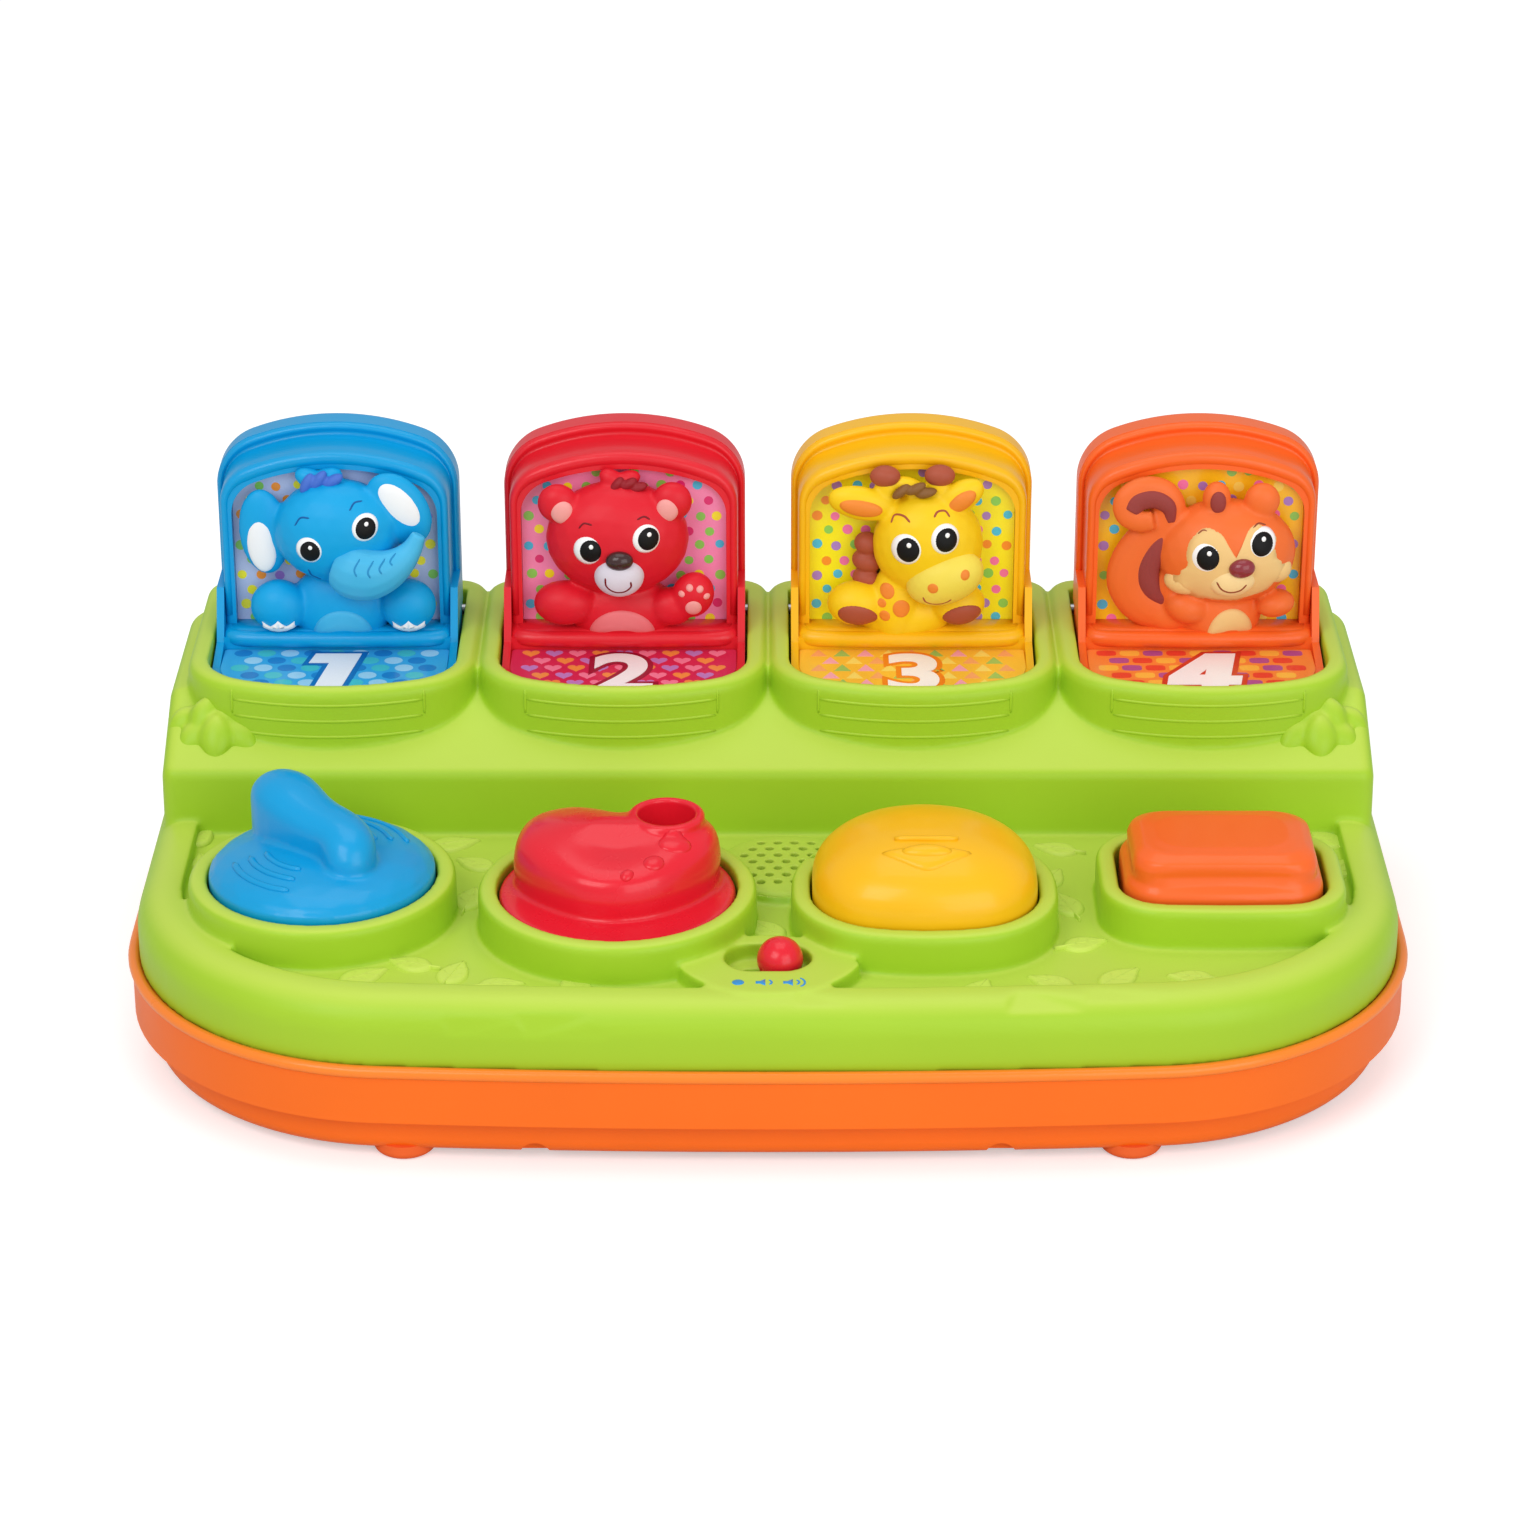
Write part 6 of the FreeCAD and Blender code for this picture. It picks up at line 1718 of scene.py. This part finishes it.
@dataclass
class Elephant(Animal):
    """Blue elephant with a curled trunk and white ears."""

    lumps: tuple[Row, ...] = (
        (0.8, 7, 2.4, 14, 12, 8), (0.9, 30.0, 5, 17.2, 14.5, 11),
        (-19.0, 29.0, 3.6, 6.8, 12.4, 3.2, -4), (17.6, 36.4, 6.0, 8.0, 11.4, 3.2, -32),
        (-15.6, 8.4, 6.0, 7.8, 7.4, 6), (19.4, 8.6, 6.0, 7.6, 7.4, 6),
        (-5.6, 44.4, 4.4, 4.8, 2.8, 2.8, 25), (-1.0, 45.2, 4.0, 4.0, 2.3, 2.6, -12),
    )
    paw_middles: Pair = (-15.6, 19.6)
    claws: tuple[Pair, ...] = (
        (-4.7, 3.4), (-2.4, 2.3), (0.0, 2.0), (2.4, 2.3), (4.7, 3.4), (4.5, 5.6), (2.4, 4.1),
        (0.1, 6.2), (-2.2, 4.1), (-4.5, 5.6),
    )

    def dress(self) -> None:
        """Lay ears, trunk, tuft, face and claws."""
        self.cast("ear_lining", self.heap((-19.4, 26.6, 5.2, 4.3, 8.8, 2.0, -3),
                                          (18.0, 37.8, 7.6, 4.6, 8.0, 1.9, -38)),
                  WHITE_FELT, 0.4, 3)
        self.eye(-6.0, 28.0, 3.8, (0.4, -0.1))
        self.eye(9.2, 34.2, 3.7, (0.2, -0.1))
        light = Plastic("elephant_trunk", (70, 180, 226), 0.46)
        self.belly(light, 1.6, 8.2, 8.2)
        trunk = self.limb(Mould(), 0.85, 5, (1.2, 22.6, 11.4, 5.8), (5.0, 21.4, 12.8, 7.6),
                          (9.8, 20.8, 13.6, 7.4), (14.4, 21.8, 13.4, 6.0),
                          (18.2, 24.0, 12.8, 4.4), (21.2, 27.2, 12.2, 3.0),
                          (23.4, 31.4, 11.8, 2.0))
        self.cast("trunk", trunk, light, 0.45, 8)
        fold = Plastic("trunk_fold", (34, 140, 196), 0.5)
        for u, v, tall in ((6.8, 26.0, 3.6), (10.4, 25.4, 3.4), (13.4, 25.6, 2.8),
                           (16.2, 26.6, 2.0)):
            self.line("wrinkles", fold, [(u + 1.0, v + 0.6), (u - 0.4, v - tall * 0.5),
                                         (u + 0.2, v - tall)], 0.5)
        self.tuft((72, 112, 204), 6.6, (1.5, 3.2, 1.7), (-6.6, 44.0, 28), (-3.4, 45.0, 38),
                  (0.4, 44.8, 62))
        dark = Plastic("elephant_line", (8, 92, 160), 0.4)
        self.line("smile", dark, [(-6.6, 21.6), (-5.8, 19.2), (-3.6, 17.8)], 0.6, 0.2)
        self.line("brows", dark, [(-9.6, 34.4), (-8.0, 36.6), (-5.6, 36.8)], 0.5)
        self.line("brows", dark, [(5.2, 38.8), (6.4, 40.4), (8.4, 40.6)], 0.5)
        for middle in self.paw_middles:
            self.patch("claws", WHITE_FELT, moved(self.claws, middle, 0), 0.5, 8.0)


@dataclass
class Bear(Animal):
    """Red bear that waves one paw."""

    lumps: tuple[Row, ...] = (
        (-0.6, 6, 2.4, 15, 10, 8), (-1.6, 28.0, 5, 19.4, 16, 11),
        (-17.4, 38.6, 7.3, 5.5, 5.5, 3.6), (13.2, 39.2, 7.3, 5.5, 5.5, 3.6),
        (-16.0, 9.4, 6.4, 8.5, 6.2, 6), (12.6, 8.0, 5.6, 6.5, 5.4, 5),
        (18.6, 12.0, 7.0, 5.8, 6.6, 4.4, 20), (-2.6, 44.4, 4.8, 4.2, 2.6, 2.6, 35),
        (1.4, 44.6, 4.4, 3.6, 2.2, 2.6, -15),
    )

    def dress(self) -> None:
        """Lay muzzle, nose, ears, tuft, face, belly and paw."""
        rose = Plastic("bear_rose", (240, 160, 156), 0.5)
        dark = Plastic("bear_dark", (120, 14, 28), 0.4)
        self.cast("muzzle", self.heap((-1.0, 20.4, 13.6, 6.8, 6.0, 5)),
                  Plastic("bear_muzzle", (222, 214, 226), 0.5), 0.45, 4)
        self.cast("nose", self.heap((-0.8, 25.6, 16.4, 3.8, 2.7, 2.6)),
                  Plastic("bear_nose", (62, 38, 38), 0.22, 0.4), 0.35, 3)
        self.cast("ear_lining", self.heap((-16.2, 37.2, 10.0, 3.1, 3.4, 1.5),
                                          (12.0, 37.8, 10.0, 3.1, 3.4, 1.5)), rose, 0.35, 2)
        self.tuft((150, 26, 38), 7.0, (1.3, 2.7, 1.6), (-1.6, 43.8, 40), (1.6, 44.0, 58),
                  (4.2, 43.0, 72))
        self.eye(-9.4, 27.9, 4.0, (0.9, 0.1))
        self.eye(6.4, 31.2, 3.9, (0.6, 0.1))
        self.line("face", dark, [(-4.6, 21.2), (-4.3, 18.8), (-2.2, 17.2), (0.4, 17.2),
                                 (2.2, 18.6), (2.2, 20.2)], 0.55)
        self.line("brows", dark, [(-11.6, 33.8), (-10.2, 35.2), (-8.0, 35.0)], 0.5)
        self.line("brows", dark, [(4.0, 36.4), (5.8, 37.0), (7.4, 36.2)], 0.5)
        self.belly(Plastic("bear_pink", (236, 122, 126), 0.5), -0.6, 9.2, 8.2)
        for u, v, size in ((18.8, 9.6, 2.3), (15.6, 13.6, 0.9), (17.8, 15.4, 1.0),
                           (20.6, 15.0, 1.0), (22.4, 12.8, 0.9)):
            self.patch("paw", rose, oval((u, v), (size, size)), 0.35, 3.0)


@dataclass
class Giraffe(Animal):
    """Yellow giraffe with a spotted neck, short horns and a brown mane."""

    lumps: tuple[Row, ...] = (
        (-2, 5, 2.4, 13, 8, 8), (4.1, 26.6, 5.5, 15.0, 15.0, 10.5),
        (-14, 38.6, 7.3, 9.2, 4.8, 3.2, 12), (12.2, 40.2, 7.2, 7.6, 4.4, 3.2, -32),
        (-7, 42.4, 5.6, 3.4, 4.4, 2.8, -6), (6.6, 42.6, 5.5, 3.4, 4.4, 2.8, 6),
        (-4.5, 9, 5.6, 7, 11.5, 6), (-15.0, 9.4, 6.4, 8, 6.2, 6),
        (12.5, 9.4, 6.4, 7.4, 6.0, 6), (-1.0, 43.0, 6.0, 5.0, 2.4, 2.6, 20),
    )

    def dress(self) -> None:
        """Lay eyes, muzzle, horns, mane, tuft, ears, nostrils, face, spots and knees."""
        brown = Plastic("giraffe_brown", (172, 82, 58), 0.5)
        warm = Plastic("giraffe_orange", (240, 138, 48), 0.45)
        brow = Plastic("giraffe_brow", (196, 134, 20), 0.5)
        self.eye(-2.0, 28.2, 4.3, (0.5, 0.1))
        self.eye(8.4, 31.2, 4.1, (0.3, -0.1))
        self.cast("muzzle", self.heap((8.6, 19.0, 11.8, 10.9, 7.4, 6.4, -20)),
                  Plastic("giraffe_pale", (244, 220, 84), 0.45), 0.45, 5)
        self.cast("mane", self.heap(
            (-7.6, 46.0, 6.4, 4.2, 3.0, 2.9), (7.0, 46.2, 6.4, 4.2, 3.0, 2.9),
            (-12.2, 25.6, 3.6, 3.6, 3.2, 3.4, 15), (-12.2, 20.6, 3.6, 4.2, 3.2, 3.4, 15),
            (-12.2, 15.4, 3.6, 4.0, 3.2, 3.4, 15)), brown, 0.4, 4)
        self.tuft((136, 92, 48), 9.0, (1.3, 3.0, 1.7), (-3.4, 42.6, 50), (0.6, 43.4, 62),
                  (3.4, 42.2, 75))
        self.cast("ear_lining", self.heap((-14.0, 38.2, 9.6, 6.0, 2.5, 1.6, 10),
                                          (12.8, 40.0, 9.4, 4.6, 2.5, 1.7, -36)), warm, 0.35, 2)
        self.patch("nostrils", warm, oval((5.2, 18.2), (1.5, 1.5)), 0.2, 3.0)
        self.patch("nostrils", warm, oval((13.8, 21.8), (1.3, 1.5)), 0.2, 3.0)
        self.line("face", brown, [(2.6, 15.2), (3.6, 13.4), (6.4, 12.8), (9.0, 13.6),
                                  (10.2, 14.6)], 0.5)
        self.line("face", brow, [(-6.0, 34.4), (-5.0, 36.4), (-2.6, 36.6), (-1.0, 35.4)],
                  0.6, 0.15)
        self.line("face", brow, [(5.4, 36.8), (6.4, 38.0), (8.4, 38.0), (9.6, 36.6)],
                  0.6, 0.15)
        for u, v, size in ((-6.8, 14.4, 2.0), (-3.0, 9.6, 2.4), (-7.4, 7.4, 1.5),
                           (-8.2, 11.0, 1.2)):
            self.patch("spots", warm, oval((u, v), (size, size * 1.1), 15), 0.25, 4.0)
        for u, turn in ((-14.8, -12), (13.4, 14)):
            self.patch("knees", brown, oval((u, 7.4), (5.6, 3.4), turn), 0.4, 4.0)


@dataclass
class Squirrel(Animal):
    """Orange squirrel with a big curled tail."""

    lumps: tuple[Row, ...] = (
        (5.5, 6, 2.4, 12, 10, 8), (6.6, 24.0, 5, 19.0, 14.8, 11), (3.4, 39.8, 6.6, 3.9, 4.8, 3.2),
        (15.6, 39.2, 6.6, 4.9, 5.0, 3.4), (-3.4, 8.6, 6.6, 6.4, 4.8, 5.4, 15), (-8, 5, 4, 6, 5, 4),
        (-8, 15, 4.4, 5, 6, 4), (20.4, 9.4, 6.6, 5.4, 3.8, 4.8, -10),
    )
    cream_outline: tuple[Pair, ...] = (
        (-8.0, 18.6), (-7.0, 15.6), (-2.6, 12.8), (3.0, 11.6), (9.6, 11.6), (15.6, 13.0),
        (20.4, 16.8), (22.4, 20.8), (21.4, 23.6), (19.8, 25.4), (20.2, 29.8), (18.4, 33.2),
        (15.4, 34.8), (12.2, 33.8), (10.2, 30.2), (8.8, 26.2), (6.6, 29.0), (4.2, 32.6),
        (0.2, 33.8), (-3.6, 31.4), (-5.0, 27.0), (-5.2, 22.8), (-7.2, 20.8),
    )

    def extra(self, mould: Mould) -> None:
        """Add the tail."""
        self.limb(mould, 0.62, 5, (-8.0, 5.6, 3.2, 5.5), (-14.6, 8.2, 3.8, 6.4),
                  (-18.6, 14.2, 4.0, 6.6), (-18.0, 20.6, 4.2, 6.4), (-15.0, 26.6, 4.6, 5.8),
                  (-11.2, 31.6, 5.0, 5.0), (-9.0, 36.2, 5.4, 4.6), (-11.0, 40.4, 5.6, 4.4),
                  (-16.0, 41.6, 6.0, 4.2), (-20.2, 39.2, 6.6, 4.0), (-20.4, 35.6, 7.4, 3.6),
                  (-17.0, 33.8, 8.4, 3.2), (-13.4, 34.4, 9.0, 2.8))

    def dress(self) -> None:
        """Lay tail lining, cheeks, muzzle, nose, eyes, face, ears and belly."""
        cream = Plastic("squirrel_cream", (238, 198, 130), 0.5)
        dark = Plastic("squirrel_dark", (150, 72, 40), 0.45)
        lining = Plastic("squirrel_lining", (150, 62, 58), 0.65, grain=0.05)
        inner = self.limb(Mould(), 0.55, 6, (-8.6, 33.2, 7.6, 1.2), (-9.6, 37.8, 8.0, 2.2),
                          (-13.4, 40.0, 8.0, 2.6), (-17.6, 39.2, 8.2, 2.7),
                          (-19.4, 36.6, 8.8, 2.2))
        self.limb(inner, 0.55, 6, (-9.4, 9.4, 6.2, 1.4), (-13.2, 13.6, 6.8, 2.8),
                  (-14.4, 19.2, 7.0, 3.2), (-12.0, 25.4, 7.2, 2.8), (-9.4, 29.8, 7.0, 1.4))
        self.cast("tail_lining", inner, lining, 0.35, 4)
        self.cast("cheeks", self.heap((-4.6, 16.9, 8.8, 5.6, 3.9, 3.6, 8),
                                      (19.6, 20.6, 8.8, 4.6, 4.2, 3.6, -12)), cream, 0.4, 3)
        self.patch("cream", cream, loop(self.cream_outline, 4), 0.3, 9.0)
        self.cast("muzzle", self.heap((7.8, 19.0, 13.6, 6.4, 4.6, 3.6, -10)),
                  Plastic("squirrel_muzzle", (248, 214, 152), 0.5), 0.4, 4)
        self.cast("nose", self.heap((10.0, 23.4, 16.2, 3.6, 2.7, 2.4, -8)),
                  Plastic("squirrel_nose", (140, 48, 58), 0.25, 0.4), 0.35, 3)
        self.eye(0.4, 26.0, 4.3, (0.5, 0.0))
        self.eye(15.4, 29.6, 4.1, (0.0, -0.1))
        self.line("face", dark, [(3.4, 19.4), (4.8, 17.4), (7.2, 16.6), (9.8, 17.2),
                                 (11.4, 18.8)], 0.55)
        self.line("brows", dark, [(-1.8, 32.0), (-0.2, 33.0), (1.8, 32.0)], 0.5)
        self.line("brows", dark, [(12.8, 33.4), (14.4, 34.4), (16.4, 33.8)], 0.5)
        self.cast("ear_lining", self.heap((3.6, 39.6, 9.4, 2.2, 3.2, 1.2)), lining, 0.35, 2)
        self.belly(cream, 8.4, 6.4, 8.6)


def lid_looks() -> list[LidLook]:
    """The four lids."""
    yellow, green, violet, orange = (255, 240, 40), (140, 214, 90), (170, 130, 210), (250, 150, 40)
    sky, pink, rose = (70, 196, 236), (246, 120, 180), (246, 168, 190)
    return [
        LidLook(Lid.ELEPHANT, BLUE, Print("card_lilac", (186, 200, 232)),
                inks("lilac", yellow, orange, violet, green), Print("label_blue", (56, 170, 226)),
                Motif(ellipse, inks("ellipse", (160, 214, 240), (30, 128, 200), (70, 196, 200))),
                "1", Print("rim_blue", (12, 104, 180)), 11),
        LidLook(Lid.BEAR, RED, Print("card_pink", (255, 144, 192)),
                inks("pink", yellow, (226, 40, 120), sky, green),
                Print("label_crimson", (214, 40, 84)),
                Motif(heart, inks("heart", (246, 130, 160), (246, 150, 70), (190, 130, 200))),
                "2", Print("rim_red", (150, 14, 50)), 12),
        LidLook(Lid.GIRAFFE, YELLOW, Print("card_yellow", (255, 242, 20)),
                inks("sun", orange, green, pink, sky, violet), Print("label_gold", (252, 196, 60)),
                Motif(triangle, inks("triangle", (252, 226, 110), (250, 170, 110), (150, 200, 100),
                                     rose)),
                "3", Print("rim_orange", (240, 130, 30)), 13),
        LidLook(Lid.SQUIRREL, ORANGE, Print("card_amber", (255, 204, 20)),
                inks("amber", (252, 226, 90), green, sky, pink, violet),
                Print("label_orange", (246, 140, 60)),
                Motif(brick, inks("brick", (170, 80, 150), (232, 70, 50), (252, 190, 70))),
                "4", Print("rim_brick", (206, 56, 36)), 14),
    ]


# ------------------------------------------------------------------ studio

@dataclass
class Studio:
    """Camera, floor and soft lights."""

    target: Vector = field(default_factory=lambda: Vector((0, 0, 0.066)))
    distance: float = 1.2
    elevation: float = 25.0
    focal_pixels: float = 4590.0
    sensor: float = 36.0
    floor_reach: float = 6.0
    sky_strength: float = 0.55
    lamps: tuple[tuple[str, Row, float, float], ...] = (
        # name, place, size, power
        ("key_light", (-0.7, -1.1, 1.2), 0.9, 9.4), ("fill_light", (0.8, -1.3, 0.6), 1.2, 9.0),
        ("top_light", (0.0, 0.2, 1.8), 1.2, 6.2),
    )

    def build(self) -> None:
        """Set up the studio."""
        self.camera()
        self.floor()
        for lamp in self.lamps:
            self.lamp(*lamp)
        self.sky()
        bpy.context.scene.view_settings.view_transform = "Standard"

    def camera(self) -> None:
        """The camera, level across and looking a little down."""
        data = bpy.data.cameras.new("camera")
        data.sensor_width = self.sensor
        data.lens = self.focal_pixels * self.sensor / PICTURE_SIZE
        data.clip_end = 20
        piece = placed("camera", data)
        tilt = math.radians(self.elevation)
        piece.location = self.target + self.distance * Vector((0, -math.cos(tilt), math.sin(tilt)))
        piece.rotation_euler = (math.pi / 2 - tilt, 0, 0)
        bpy.context.scene.camera = piece

    def floor(self) -> None:
        """A wide floor that looks white and still takes the toy's shadow."""
        data = bpy.data.meshes.new("floor")
        corners = ((-1, -1, 0), (1, -1, 0), (1, 1, 0), (-1, 1, 0))
        data.from_pydata([Vector(corner) * self.floor_reach for corner in corners], [],
                         [(0, 1, 2, 3)])
        piece = placed("floor", data)
        net = Net(bpy.data.materials.new("floor_white"))
        plain = net.wire("ShaderNodeBsdfDiffuse", None, {"Color": (0.82, 0.82, 0.82, 1.0)})
        glow = net.wire("ShaderNodeEmission", None, {"Color": (1, 1, 1, 1), "Strength": 0.42})
        both = net.wire("ShaderNodeAddShader", None, {0: plain, 1: glow})
        seen = net.wire("ShaderNodeLightPath", output="Is Camera Ray")
        grey = net.wire("ShaderNodeBsdfDiffuse", None, {"Color": (0.72, 0.72, 0.72, 1.0)})
        mixed = net.wire("ShaderNodeMixShader", None, {0: seen, 1: grey, 2: both})
        net.node("ShaderNodeOutputMaterial", None, {"Surface": mixed})
        data.materials.append(net.owner)

    def lamp(self, name: str, place: Sequence[float], size: float, power: float) -> None:
        """A square soft light that faces the toy."""
        data = bpy.data.lights.new(name, "AREA")
        data.size = size
        data.energy = power
        piece = placed(name, data)
        piece.location = place
        piece.rotation_euler = (self.target - Vector(place)).to_track_quat("-Z", "Y").to_euler()

    def sky(self) -> None:
        """Even white surroundings."""
        net = Net(bpy.data.worlds.new("surroundings"))
        bpy.context.scene.world = net.owner
        soft, white = (net.wire("ShaderNodeBackground", None,
                                {"Color": (1, 1, 1, 1), "Strength": strength})
                       for strength in (self.sky_strength, 1.0))
        seen = net.wire("ShaderNodeLightPath", output="Is Camera Ray")
        mixed = net.wire("ShaderNodeMixShader", None, {0: seen, 1: soft, 2: white})
        net.node("ShaderNodeOutputWorld", None, {"Surface": mixed})


def main() -> None:
    """Build every part in order."""
    logging.basicConfig(level=logging.INFO, format="%(name)s: %(message)s")
    Housing().build()
    TurnKnob().build()
    FingerDial().build()
    PushButton().build()
    RockerSwitch().build()
    for look in lid_looks():
        look.build()
    for animal in (Elephant(Lid.ELEPHANT, BODY_BLUE), Bear(Lid.BEAR, BODY_RED),
                   Giraffe(Lid.GIRAFFE, BODY_YELLOW), Squirrel(Lid.SQUIRREL, BODY_ORANGE)):
        animal.build()
    Studio().build()


if __name__ == "__main__":
    main()
